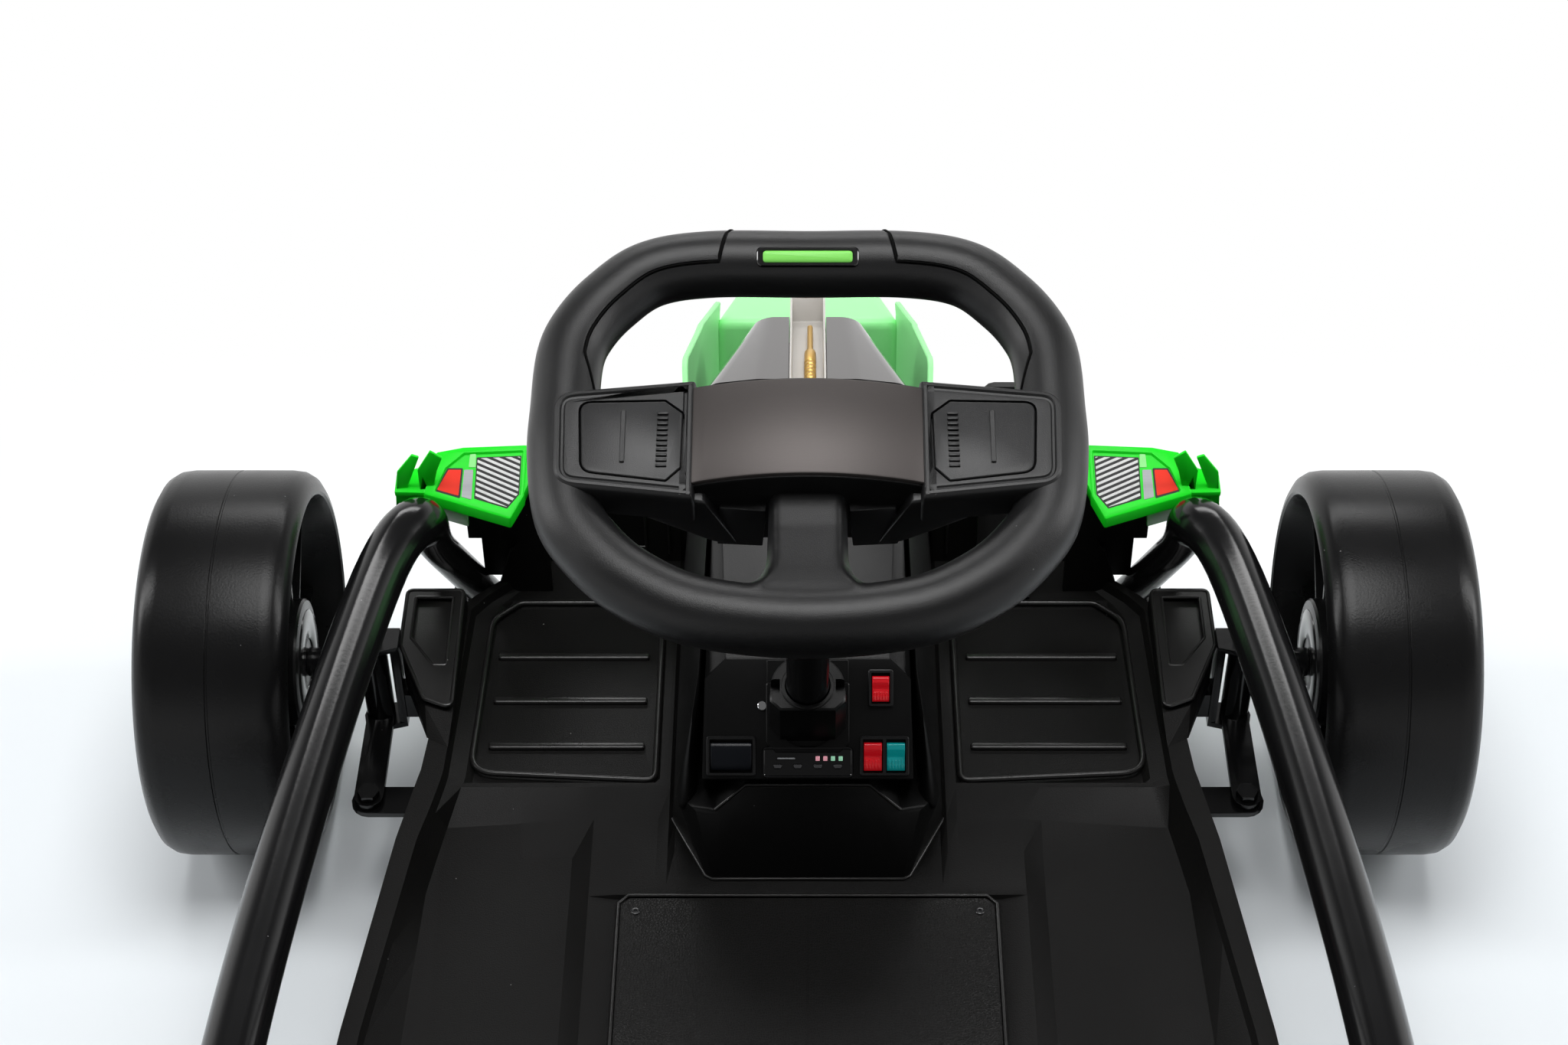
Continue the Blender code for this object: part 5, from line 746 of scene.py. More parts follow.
# Pods at the ends of the crossbar, with their thumb pads
pod = {
    "outline": ((0.0560, -0.0347), (0.1232, -0.0270), (0.1248, 0.0262), (0.0560, 0.0330)),
    "radii": (0.0010, 0.0120, 0.0110, 0.0010),
    "levels": ((-0.0010, -0.0200), (-0.0012, -0.0050), (-0.0006, -0.0006), (0.0003, 0.0010), (0.0013, 0.0018),
               (0.0027, 0.0019), (0.0035, 0.0007), (0.0046, 0.0006), (0.0053, 0.0014), (0.0062, 0.0015)),
    "pad": ((0.0617, -0.0179), (0.0689, -0.0254), (0.1098, -0.0200), (0.1118, 0.0197), (0.0701, 0.0206),
            (0.0613, 0.0133)),
    "padRadii": (0.0012, 0.0012, 0.0070, 0.0055, 0.0012, 0.0012),
    "padLevels": ((0.0, -0.0030), (0.0, 0.0010), (0.0004, 0.0016), (0.0011, 0.0018)),
    "pocketFloor": -0.0050, "pocketGap": 0.0010,
    "ridge": (0.0026, 0.0302), "ridgeRadius": 0.0009, "ridgePlace": (0.0903, -0.0005),
    "ridgeLevels": ((0, 0.0012), (0, 0.0026), (0.0004, 0.0030)),
    "ribLow": (-0.0027, -0.0007, 0.0012), "ribHigh": (0.0027, 0.0007, 0.0031), "ribPlace": (0.0712, -0.0174),
    "ribStep": (-0.00003, 0.00302), "ribCount": 11,
    # the crossbar behind the pod
    "arm": ((0.050, -0.0335, -0.0062), (0.050, 0.0285, -0.0062), (0.116, -0.0235, -0.0065),
            (0.117, 0.0215, -0.0065), (0.034, -0.0322, -0.0480), (0.034, 0.0250, -0.0480),
            (0.046, -0.0322, -0.0455), (0.050, 0.0250, -0.0400), (0.113, -0.0190, -0.0195),
            (0.113, 0.0190, -0.0195), (0.118, -0.0152, -0.0120), (0.118, 0.0152, -0.0120)),
    "armEdge": 0.0016,
}


def makePod(side, label):
    outline = flipOutline(roundOutline(pod["outline"], pod["radii"], 8), side)
    padOutline = flipOutline(roundOutline(pod["pad"], pod["padRadii"], 5), side)
    shell = steppedPlate("podShell", outline, pod["levels"], wheelFrame)
    pocket = steppedPlate("padPocket", insetOutline(padOutline, -pod["pocketGap"]),
                          ((0, pod["pocketFloor"]), (0, 0.02)), wheelFrame)
    addToWheel(f"thumb_pod_{label}", carve(shell, pocket), crease=32)

    pad = steppedPlate("thumbPad", padOutline, pod["padLevels"], wheelFrame)
    x, y = pod["ridgePlace"]
    ridge = steppedPlate("padRidge", roundRectangle((0.0, 0.0), pod["ridge"], pod["ridgeRadius"], 3),
                         pod["ridgeLevels"],
                         wheelFrame @ Matrix.Translation((side * x, y, 0.0)))
    body, node = f"{label}_thumb_pad", f"thumb_pad_{label}"
    rib = softenEdges(blockMesh("padRib", pod["ribLow"], pod["ribHigh"]), 0.0003)
    x, y = pod["ribPlace"]
    rib.transform(wheelFrame @ Matrix.Translation((side * x, y, 0.0)))
    step = wheelFrame.to_3x3() @ Vector((side * pod["ribStep"][0], pod["ribStep"][1], 0.0))
    ribs = rowOf(rib, pod["ribCount"], step, "podPlastic")
    addPiece(f"{node}_face", joinMeshes("padFace", [pad, ridge]), "podPlastic", body, "grip_black_plastic", (node,),
             crease=32)
    addPiece(f"{node}_ribs", ribs, None, body, "grip_black_plastic")

    crossbar = softHull("crossbar", toSide(pod["arm"], side), wheelFrame, pod["armEdge"], 3)
    addToWheel(f"wheel_crossbar_{label}", crossbar)


# Hub: a bowed metal-look cover on a deep black body, with a ledge each side of the spoke
hub = {
    "halfWidth": 0.0577, "low": -0.0268, "high": 0.0288, "edgeHeight": 0.0012, "bow": 0.0092, "thickness": 0.0012,
    "lipSide": 0.0004, "lipLow": 0.0010, "lipHigh": 0.0018, "lipDrop": 0.0022, "lipBack": -0.0150,
    "core": ((0.0560, -0.0270, -0.0020), (0.0560, 0.0290, -0.0020), (0.0455, -0.0272, -0.0170),
             (0.0455, -0.0285, -0.0478), (0.0455, 0.0245, -0.0478)),
    "ledge": ((0.0195, -0.0262, -0.0165), (0.0432, -0.0262, -0.0165), (0.0205, -0.0318, -0.0168),
              (0.0432, -0.0300, -0.0168), (0.0225, -0.0330, -0.0478), (0.0450, -0.0318, -0.0478),
              (0.0225, -0.0240, -0.0478), (0.0450, -0.0240, -0.0478)),
    "socket": ((0.0125, -0.0660), (0.0160, -0.0660), (0.0168, -0.0650), (0.0172, -0.0440), (0.0125, -0.0440)),
}


def bowedPlate(name, halfWidth, low, high, edgeHeight, base, roundness, steps=28):
    # a plate across the wheel whose front is bowed; base is its flat back, roundness the easing of its edges
    rings = []
    for step in range(steps + 1):
        x = -halfWidth + 2 * halfWidth * step / steps
        top = edgeHeight + hub["bow"] * (1 - (x / halfWidth) ** 2)
        near, level = roundness * 0.35, top - roundness * 0.3
        section = [(low, base), (low, top - roundness), (low + near, level), (low + roundness, top),
                   (high - roundness, top), (high - near, level), (high, top - roundness), (high, base)]
        if step in (0, steps):
            section = [(y, min(z, top - roundness * 0.6)) for y, z in section]
        rings.append(inFrame(wheelFrame, [(x, y, z) for y, z in section]))
    return loftRings(name, rings)


def makeHub():
    halfWidth, low, high, edge = hub["halfWidth"], hub["low"], hub["high"], hub["edgeHeight"]
    cover = bowedPlate("hubCover", halfWidth, low, high, edge, edge - hub["thickness"], 0.0012)
    addToWheel("wheel_hub_face", cover, "hubMetallic", "dark_metallic_plastic", ("wheel_hub_cover",), crease=28)
    lip = bowedPlate("hubLip", halfWidth + hub["lipSide"], low - hub["lipLow"], high + hub["lipHigh"],
                     edge - hub["lipDrop"], hub["lipBack"], 0.0014)
    addToWheel("wheel_hub_lip", lip, "panelPlastic", crease=28)
    core = [(side * x, y, z) for x, y, z in hub["core"] for side in (-1, 1)]
    parts = [softHull("hubCore", core, wheelFrame, 0.0012)]
    parts += [softHull("hubLedge", toSide(hub["ledge"], side), wheelFrame, 0.0007) for side, label in sides]
    parts.append(latheMesh("sleeveSocket", hub["socket"], 40, wheelFrame, loop=True))
    addToWheel("wheel_hub_core", joinMeshes("hubCore", parts))


makeRim()
makeLightBar()
for side, label in sides:
    makePod(side, label)
makeHub()
print("steering wheel")


# Console, its panel and the switches, in the panel's own plane
panelFrame = Matrix.Translation((0.0, 0.1554, 0.1734)) @ Matrix.Rotation(math.radians(45), 4, "X")
panelUp = panelFrame.to_3x3() @ Vector((0, 0, 1))
through = ((0, -0.02), (0, 0.01))
console = {
    "lower": ((0.0561, 0.1362, 0.1068), (0.0598, 0.1385, 0.1068), (0.0811, 0.1826, 0.1068),
              (0.0802, 0.2007, 0.1068), (0.0600, 0.1525, 0.1420), (0.0537, 0.1518, 0.1505),
              (0.0660, 0.1545, 0.1500), (0.0770, 0.1633, 0.1500), (0.0780, 0.3500, 0.1500),
              (0.0802, 0.3540, 0.1068)),
    "chin": ((0.0561, 0.1364, 0.1072), (0.0537, 0.1520, 0.1508), (0.0358, 0.1572, 0.1668),
             (0.0358, 0.1750, 0.1690), (0.0540, 0.1720, 0.1500), (0.0560, 0.1720, 0.1072)),
    "upperBack": ((0.0540, 0.3540, 0.2850), (0.0600, 0.3540, 0.1500), (0.0600, 0.1760, 0.1490)),
    "upperDrop": (0.0038, 0.030),
    "fairing": ((0.0700, 0.1575, 0.1500), (0.0668, 0.1790, 0.2010), (0.0625, 0.1990, 0.2210),
                (0.0560, 0.3540, 0.2830), (0.0700, 0.3540, 0.2400), (0.0782, 0.3540, 0.1500),
                (0.0770, 0.1640, 0.1500), (0.0748, 0.1560, 0.1440), (0.0650, 0.1640, 0.1440),
                (0.0640, 0.1850, 0.1960), (0.0560, 0.3540, 0.1500), (0.0775, 0.1800, 0.1440)),
    "brow": ((-0.0537, 0.1524, 0.1508), (-0.0358, 0.1576, 0.1666), (0.0358, 0.1576, 0.1666),
             (0.0537, 0.1524, 0.1508)),
    "base": ((-0.0811, 0.1826, 0.1072), (-0.0598, 0.1387, 0.1072), (-0.0561, 0.1364, 0.1072),
             (0.0561, 0.1364, 0.1072), (0.0598, 0.1387, 0.1072), (0.0811, 0.1826, 0.1072)),
    "browRadius": 0.0012, "baseRadius": 0.0011,
    "panel": ((-0.0608, 0.0003), (0.0608, 0.0003), (0.0595, 0.0580), (0.0472, 0.0697), (-0.0472, 0.0697),
              (-0.0595, 0.0580)),
    "panelLevels": ((0.0, -0.0036), (0.0, -0.0006), (0.0003, -0.0001), (0.0008, 0.0)),
    "rear": ((0.0, 0.06225), (0.0472, 0.0135)), "rearLevels": ((0, -0.0005), (0, 0.0008), (0.0004, 0.0012)),
    "columnHole": (0.0140, -0.05), "screwPlace": (-0.0262, 0.0425, 0.0004),
    "screw": (0.0027, 0.0014, 0.45, 0.0009),
}


def columnBore(radius, low, steps):
    profile = ((0.0, low), (radius, low), (radius, 0.06), (0.0, 0.06))
    return latheMesh("columnBore", profile, steps, columnFrame)


def makeConsoleBody():
    sink, depth = console["upperDrop"]
    top = inFrame(panelFrame, [(x, y, -sink) for x, y in console["panel"]])
    block = top + [point - panelUp * depth for point in top]
    block += [(side * x, y, z) for x, y, z in console["upperBack"] for side in (-1, 1)]
    flat = Matrix.Identity(4)
    shapes = [softHull("lowerBody", bothSides(console["lower"]), flat, 0.0022, 3, 15),
              softHull("chin", bothSides(console["chin"]), flat, 0.0014, 3, 15),
              softHull("upperBody", block, flat, 0.0020, 3, 15)]
    shapes += [softHull("sideFairing", toSide(console["fairing"], side), flat, 0.0016, 3, 15)
               for side, label in sides]
    beads = [sweepTube("consoleBead", console[line], console[f"{line}Radius"], 8) for line in ("brow", "base")]
    # the beads along the console's brow and base use the lighter tray finish: painted highlight lines on those
    # edges
    addFixed("console_edge_beads", joinMeshes("consoleBeads", beads), "trayHighlightEdge", "satin_black_plastic", crease=60)
    addFixed("console_shell", joinMeshes("consoleShell", shapes), "panelPlastic", "satin_black_plastic",
             ("console_body",), crease=32)


# Switches: name, middle and size of the frame, and each key's node and finish
switches = {
    "frames": (("power", (0.0420, 0.0527), (0.0145, 0.0215), (("power_rocker", "power_key", "redKeyPaintedGlow"),)),
               ("horn", (-0.0441, 0.0137), (0.0283, 0.0230), (("horn_rocker", "horn_key", "hornKey"),)),
               ("drive", (0.0441, 0.0137), (0.0283, 0.0230), (("direction_rocker", "direction_key", "redKeyPaintedGlow"),
                                                             ("speed_rocker", "speed_key", "tealKeyPaintedGlow")))),
    "holeInset": 0.002, "wall": 0.0018, "corner": 0.0017, "keyGap": 0.0006, "keySink": -0.0030, "keyTilt": 9.0,
    "bezelLevels": ((0.0010, -0.0140), (0.0010, 0.0002), (0.0, 0.0003), (0.0, 0.0017), (0.0005, 0.0023),
                    (0.0012, 0.0023)),
    "wellLevels": ((0, -0.0125), (0, 0.01)), "keyRound": 0.0006,
    "ribLow": (-0.00045, -0.0065, 0.0036), "ribHigh": (0.00045, -0.0016, 0.0054), "ribReach": 0.70, "ribCount": 5,
}


def makePanel():
    plate = steppedPlate("panelPlate", roundOutline(console["panel"], 0.0012, 4), console["panelLevels"],
                         panelFrame)
    inset = switches["holeInset"]
    holes = [(centre, (size[0] - inset, size[1] - inset)) for name, centre, size, keys in switches["frames"]]
    for centre, size in (*holes, display["hole"]):
        plate = carve(plate,
                      steppedPlate("panelHole", roundRectangle(centre, size, 0.0006, 2), through, panelFrame))
    plate = carve(plate, columnBore(*console["columnHole"], 32))
    rear = steppedPlate("panelRear", roundRectangle(*console["rear"], 0.001, 3), console["rearLevels"], panelFrame)
    rear = carve(rear, columnBore(*console["columnHole"], 32))
    addFixed("console_panel_plate", joinMeshes("panelPlate", [plate, rear]), "panelPlastic", "satin_black_plastic",
             ("console_panel",), crease=30)
    addScrews("console_panel_screw", [(panelFrame @ Vector(console["screwPlace"]), panelUp)], "chassis", "chrome",
              "zinc_steel", *console["screw"])


collar = {
    "halfRound": 0.0215,
    "shoulder": ((-0.0220, -0.0060), (-0.0218, -0.0096), (-0.0158, -0.0156), (0.0158, -0.0156),
                 (0.0218, -0.0096), (0.0220, -0.0060)),
    "levels": ((0.0, -0.0300), (0.0, 0.0266), (0.0005, 0.0282), (0.0016, 0.0290), (0.0030, 0.0290)),
    "bore": (0.0126, -0.06), "notchX": (0.0158, 0.0260), "notchY": 0.0045, "notchZ": (0.0200, 0.0400),
    "below": ((-0.05, -0.06, -0.12), (0.05, 0.15, 0.0004)),
    "lip": ((0.0126, 0.0240), (0.0126, 0.0298), (0.0131, 0.0303), (0.0146, 0.0303), (0.0152, 0.0296),
            (0.0152, 0.0240)),
    "foot": ((-0.0240, 0.0215), (-0.0185, 0.0155), (0.0185, 0.0155), (0.0240, 0.0215), (0.0240, 0.0560),
             (-0.0240, 0.0560)),
    "footLevels": ((0, -0.0010), (0, 0.0014), (0.0006, 0.0020)), "footBore": (0.0200, -0.06),
}


def makeCollar():
    radius = collar["halfRound"]
    turns = [math.pi * step / 20 for step in range(21)]
    outline = [(radius * math.cos(turn), radius * math.sin(turn)) for turn in turns]
    outline = [Vector(point) for point in (*outline, *collar["shoulder"])]
    body = carve(steppedPlate("collarBody", outline, collar["levels"], columnFrame),
                 columnBore(*collar["bore"], 40))
    for side, label in sides:
        start, end = sorted(side * x for x in collar["notchX"])
        half, (low, high) = collar["notchY"], collar["notchZ"]
        body = carve(body, blockMesh("collarNotch", (start, -half, low), (end, half, high), columnFrame))
    body = carve(body, blockMesh("collarFoot", *collar["below"], panelFrame))
    lip = latheMesh("collarLip", collar["lip"], 48, columnFrame, loop=True)
    foot = steppedPlate("collarBase", roundOutline(collar["foot"], 0.0016, 3), collar["footLevels"], panelFrame)
    foot = carve(foot, columnBore(*collar["footBore"], 40))
    addFixed("column_collar_block", joinMeshes("collarBlock", [body, lip, foot]), "panelPlastic",
             "gloss_black_steel",
             ("column_collar",), crease=32)


# Sections of a see-saw key: each place along it is a share of its half length and a distance more, then a height
keySections = {
    "ribbed": ((-1, 0, 0.0034), (-1, 0.0007, 0.0046), (-0.55, 0, 0.0052), (0, -0.0010, 0.0041), (0, 0, 0.0038),
               (0, 0.0010, 0.0041), (0.55, 0, 0.0052), (1, -0.0007, 0.0048), (1, 0, 0.0036)),
    "plain": ((-1, 0, 0.0036), (-0.8, 0, 0.0046), (-0.45, 0, 0.0050), (0, 0, 0.0050), (0.45, 0, 0.0053),
              (0.8, 0, 0.0052), (1, 0, 0.0042)),
    "under": ((0.9, 0, -0.0020), (0, 0.0035, -0.0075), (0, -0.0035, -0.0075), (-0.9, 0, -0.0020)),
    "endGap": 0.0015, "sideRound": 0.0006,
}


def keyMesh(halfWidth, halfLength, kind, place):
    reach, ease = halfLength - keySections["endGap"], keySections["sideRound"]
    profile = [(reach * share + more, z) for share, more, z in (*keySections[kind], *keySections["under"])]
    rings = [inFrame(place, [(x, y, z) for y, z in profile])
             for x in (-halfWidth, -halfWidth + ease, halfWidth - ease, halfWidth)]
    return softenEdges(loftRings("key", rings), 0.0003, 2, 25)


def makeSwitches():
    wall = switches["wall"]
    for name, (x, y), size, keys in switches["frames"]:
        bezel = steppedPlate("bezel", roundRectangle((x, y), size, switches["corner"], 3), switches["bezelLevels"],
                             panelFrame)
        width = (size[0] - wall * (len(keys) + 1)) / len(keys)
        for index, (node, body, finish) in enumerate(keys):
            middle = x - size[0] / 2 + wall + width / 2 + index * (width + wall)
            opening = roundRectangle((middle, y), (width, size[1] - 2 * wall), switches["keyRound"], 2)
            bezel = carve(bezel, steppedPlate("well", opening, switches["wellLevels"], panelFrame))
            place = (panelFrame @ Matrix.Translation((middle, y, switches["keySink"]))
                     @ Matrix.Rotation(math.radians(switches["keyTilt"]), 4, "X"))
            half, kind = width / 2 - switches["keyGap"], "plain" if name == "horn" else "ribbed"
            key = keyMesh(half, size[1] / 2 - wall, kind, place)
            # the red and teal keys carry a painted glow in their finish
            addPiece(f"{node}_key", key, finish, body, slotOf[node], (node,), crease=30)
            if kind == "ribbed":
                rib = softenEdges(blockMesh("keyRib", switches["ribLow"], switches["ribHigh"]), 0.0002)
                reach, count = half * switches["ribReach"], switches["ribCount"]
                rib.transform(place @ Matrix.Translation((-reach, 0.0, 0.0)))
                step = place.to_3x3() @ Vector((2 * reach / (count - 1), 0.0, 0.0))
                addPiece(f"{node}_ribs", rowOf(rib, count, step, finish), None, body, slotOf[node])
        addFixed(f"{name}_switch_frame", bezel, "podPlastic", "satin_black_plastic", (f"{name}_switch_bezel",),
                 crease=30)


display = {
    "hole": ((0.0, 0.0101), (0.0506, 0.0160)),
    "outline": ((0.0, 0.01005), (0.0526, 0.0181)), "corner": 0.0030,
    "levels": ((0.0012, -0.0075), (0.0012, 0.0002), (0.0, 0.0003), (0.0, 0.0014), (0.0005, 0.0021),
               (0.0011, 0.0021), (0.0016, 0.0015)),
    "socket": ((-0.0124, 0.0128), (0.0122, 0.0031)), "socketLevels": ((0, 0.0002), (0, 0.01)),
    "tongue": ((-0.0175, 0.0119, 0.0004), (-0.0073, 0.0127, 0.0013)),
    "button": ((-0.0017, -0.0012), (0.0017, -0.0012), (0.0027, 0.0010), (-0.0027, 0.0010)),
    "buttonPlaces": (-0.01725, -0.00575, 0.00575, 0.01725), "buttonRow": 0.0078, "buttonGap": 0.0004,
    "wellLevels": ((0, -0.0030), (0, 0.01)), "buttonLevels": ((0, -0.0016), (0, 0.0016), (0.0003, 0.0020)),
    "lampPlaces": (0.0057, 0.0101, 0.0145, 0.0189), "lampRow": 0.0123, "lampSize": (0.0024, 0.0027),
    "lampLevels": ((0, 0.0010), (0, 0.0016), (0.0003, 0.0018)),
    "lampFinishes": ("lampPink", "lampPink", "lampGreen", "lampGreen"),
}


def makeDisplay():
    outline = roundRectangle(*display["outline"], display["corner"], 5)
    module = steppedPlate("displayModule", outline, display["levels"], panelFrame)
    recess = steppedPlate("socketRecess", roundRectangle(*display["socket"], 0.0009, 3), display["socketLevels"],
                          panelFrame)
    module = carve(module, recess)
    button = roundOutline(display["button"], 0.0005, 2)
    opening = insetOutline(button, -display["buttonGap"])
    for index, x in enumerate(display["buttonPlaces"], 1):
        place = panelFrame @ Matrix.Translation((x, display["buttonRow"], 0.0))
        module = carve(module, steppedPlate("buttonWell", opening, display["wellLevels"], place))
        key = steppedPlate("button", button, display["buttonLevels"], place)
        addPiece(f"display_button_{index}_key", key, "greyTrim", f"button_{index}", "satin_black_plastic",
                 (f"display_button_{index}",), crease=30)
    addFixed("display_module_body", module, "glossDisplay", "satin_black_plastic", ("display_module",), crease=30)
    tongue = softenEdges(blockMesh("socketTongue", *display["tongue"], panelFrame), 0.0002)
    addFixed("display_socket_tongue", tongue, "stickerSilver", "zinc_steel")
    for index, (x, finish) in enumerate(zip(display["lampPlaces"], display["lampFinishes"]), 1):
        outline = roundRectangle((x, display["lampRow"]), display["lampSize"], 0.0004, 2)
        lamp = steppedPlate("lamp", outline, display["lampLevels"], panelFrame)
        addFixed(f"display_lamp_{index}", lamp, finish, "light_green")


column = {
    "sleeve": ((0.0, 0.2368), (0.0120, 0.2368), (0.0120, 0.0340), (0.0124, 0.0330), (0.0124, 0.0310),
               (0.0120, 0.0300), (0.0120, -0.0300), (0.0110, -0.0310), (0.0080, -0.0310), (0.0080, -0.1112),
               (0.0, -0.1112)),
    "armHeights": (-0.1151, -0.1111), "armNear": 0.0125, "armFar": 0.0098, "pinPlace": (0.0, -0.0376, -0.1131),
    "pin": ((0.0, -0.0190), (0.0034, -0.0190), (0.0040, -0.0184), (0.0040, 0.0), (0.0055, 0.0020),
            (0.0055, 0.0050), (0.0, 0.0050)),
}


def makeColumn():
    shaft = latheMesh("columnSleeve", column["sleeve"], 48, columnFrame)
    turns = [math.pi * step / 8 for step in range(9)]
    near, far, reach = column["armNear"], column["armFar"], column["pinPlace"][1]
    outline = [(near * math.cos(turn), near * math.sin(turn)) for turn in turns]
    outline += [(far * math.cos(turn), reach - far * math.sin(turn)) for turn in turns]
    arm = softHull("pitmanArm", [(x, y, z) for z in column["armHeights"] for x, y in outline], columnFrame, 0.0005,
                   2, 30)
    pin = latheMesh("pitmanPin", column["pin"], 24, columnFrame @ Matrix.Translation(column["pinPlace"]))
    addToWheel("steering_column_tube", joinMeshes("columnTube", [shaft, arm, pin]), "glossSteel",
               "gloss_black_steel",
               ("steering_shaft",))


makeConsoleBody()
makePanel()
makeCollar()
makeSwitches()
makeDisplay()
makeColumn()
print("console")


# Floor: tread ribs, the rolled edge round each footwell, pod panels, and the battery cover
floor = {
    "ribY": 0.2405, "ribStep": 0.0380, "ribCount": 3, "ribX": (0.0998, 0.1960), "ribWidth": 0.0052,
    "ribLevels": ((0.0, 0.1050), (0.0, 0.1080), (0.0004, 0.1086), (0.0011, 0.1089)),
    "pan": ((0.0925, 0.2110), (0.2050, 0.2175), (0.2020, 0.3470), (0.1850, 0.3625), (0.0925, 0.3625)),
    "panRadii": (0.006, 0.016, 0.020, 0.010, 0.006), "panHeight": 0.1094, "panEdge": 0.0019,
    "toeFront": 0.3996, "toeHeights": (0.1180, 0.1830), "toeRadius": 0.0010, "toeBarX": (0.1050, 0.1340),
    # the right side stays clear of the pedal
    "toeX": {"left": (0.0900, 0.1050, 0.1340, 0.1500), "right": (0.0900, 0.1560)},
    "toeBars": {"left": (0.1240, 0.1780), "right": ()},
}


def makeFootwell(side, label):
    start, end = sorted(side * x for x in floor["ribX"])
    outline = roundRectangle(((start + end) / 2, 0.0), (end - start, floor["ribWidth"]), 0.0025, 5)
    rib = steppedPlate("rib", outline, floor["ribLevels"], Matrix.Translation((0.0, floor["ribY"], 0.0)))
    # the ribs use the lighter tray finish: a painted highlight on them
    ribs = rowOf(rib, floor["ribCount"], (0.0, floor["ribStep"], 0.0), "trayHighlightEdge")
    addFixed(f"tread_ribs_{label}", ribs, None, "matt_black_tray")
    outline = roundOutline(floor["pan"], floor["panRadii"], 6)
    path = [(side * point.x, point.y, floor["panHeight"]) for point in outline]
    # a tube round each footwell's border in the lighter tray finish: a painted highlight line
    edge = sweepTube("panEdge", path, floor["panEdge"], 12, True)
    addFixed(f"footwell_edge_{label}", edge, "trayHighlightEdge", "matt_black_tray", crease=60)


podPanel = {
    "outer": ((0.2195, 0.3462), (0.2520, 0.3462), (0.2522, 0.3020), (0.2345, 0.2600), (0.2195, 0.2535)),
    "inner": ((0.2235, 0.3425), (0.2483, 0.3425), (0.2483, 0.3075), (0.2324, 0.2850), (0.2235, 0.2850)),
    "outerRadius": 0.0022, "innerRadius": 0.0020, "height": 0.1321, "heightAt": 0.3480, "slope": 0.0500,
    "borderLevels": ((0.0, -0.010), (0.0, 0.0024), (0.0007, 0.0033), (0.0018, 0.0038)),
    "wellLevels": ((0.0034, 0.0002), (0.0, 0.0034), (-0.0006, 0.0080)),
    "ridge": ((0.2480, 0.3065), (0.2400, 0.2950), (0.2326, 0.2842)), "ridgeLift": 0.0006, "ridgeRadius": 0.0020,
    "outerBead": (0.0016, 0.0034, 0.0013), "innerBead": (-0.0004, 0.0032, 0.0011),
}


def podRing(outline, inset, lift):
    # an outline laid on the pod's slope
    height, heightAt, slope = podPanel["height"], podPanel["heightAt"], podPanel["slope"]
    points = insetOutline(outline, inset) if inset is not None else outline
    return [Vector((point.x, point.y, height - (heightAt - point.y) * slope + lift)) for point in points]


def makePodPanel(side, label):
    # a raised border round a sunken panel, with a low ridge across its corner
    lines = [flipOutline(roundOutline(podPanel[part], podPanel[f"{part}Radius"], 4), side)
             for part in ("outer", "inner")]
    border = loftRings("podBorder", [podRing(lines[0], *level) for level in podPanel["borderLevels"]])
    border = carve(border, loftRings("podWell", [podRing(lines[1], *level) for level in podPanel["wellLevels"]]))
    ends = podRing([Vector((side * x, y)) for x, y in podPanel["ridge"]], None, podPanel["ridgeLift"])
    parts = [border, sweepTube("podRidge", ends, podPanel["ridgeRadius"], 12)]
    for line, (inset, lift, radius) in zip(lines, (podPanel["outerBead"], podPanel["innerBead"])):
        parts.append(sweepTube("podBead", podRing(line, inset, lift), radius, 10, True))
    # border, ridge and beads use the lighter tray finish: painted highlight on the pod panel's edges
    addFixed(f"side_pod_panel_{label}", joinMeshes("podPanel", parts), "trayHighlightEdge", "matt_black_tray")


carrier = {
    "notch": (0.1900, 0.3738, 0.1546), "notchRadius": 0.0118, "lipRadius": 0.0010,
    "backs": (((0.1655, 0.3792, 0.1180), (0.2085, 0.3812, 0.1960)),
              ((0.1655, 0.3802, 0.1500), (0.2170, 0.3822, 0.1965))),
    "filler": ((0.0700, 0.4040, 0.1068), (0.0814, 0.4040, 0.1068), (0.0814, 0.4040, 0.1850),
               (0.0668, 0.4040, 0.1850), (0.0640, 0.4080, 0.1068), (0.0814, 0.4080, 0.1068),
               (0.0814, 0.4080, 0.1850), (0.0620, 0.4080, 0.1850)),
    "edge": 0.0006,
}


def makeCarrier(side, label):
    # a lip round the notch of the upright panel that carries the wing, its back, and the strip beside the console
    (x, y, z), radius = carrier["notch"], carrier["notchRadius"]
    path = [(side * (x + radius * math.cos(turn)), y, z + radius * math.sin(turn))
            for turn in (math.pi * (0.5 + step / 12) for step in range(13))]
    lip = sweepTube("carrierLip", path, carrier["lipRadius"], 8)
    addFixed(f"wing_carrier_lip_{label}", lip, "trayPlastic", "matt_black_tray", crease=60)
    blocks = []
    for low, high in carrier["backs"]:
        start, end = sorted((side * low[0], side * high[0]))
        blocks.append(blockMesh("carrierBack", (start, *low[1:]), (end, *high[1:])))
    back = softenEdges(joinMeshes("carrierBack", blocks), carrier["edge"])
    addFixed(f"wing_carrier_back_{label}", back, "trayPlastic", "matt_black_tray")
    filler = softHull("filler", toSide(carrier["filler"], side), Matrix.Identity(4), carrier["edge"], 2, 30)
    addFixed(f"console_side_filler_{label}", filler, "trayPlastic", "matt_black_tray")


def makeToeWall(side, label):
    front, (low, high), (near, far) = floor["toeFront"], floor["toeHeights"], floor["toeBarX"]
    lines = [((x, front, low), (x, front, high)) for x in floor["toeX"][label]]
    lines += [((near, front, z), (far, front, z)) for z in floor["toeBars"][label]]
    ridges = [sweepTube("toeRidge", toSide(line, side), floor["toeRadius"], 8) for line in lines]
    # the ridges use the lighter tray finish: painted highlight lines on the toe wall
    addFixed(f"toe_wall_ridges_{label}", joinMeshes("toeRidges", ridges), "trayHighlightEdge", "matt_black_tray", crease=60)


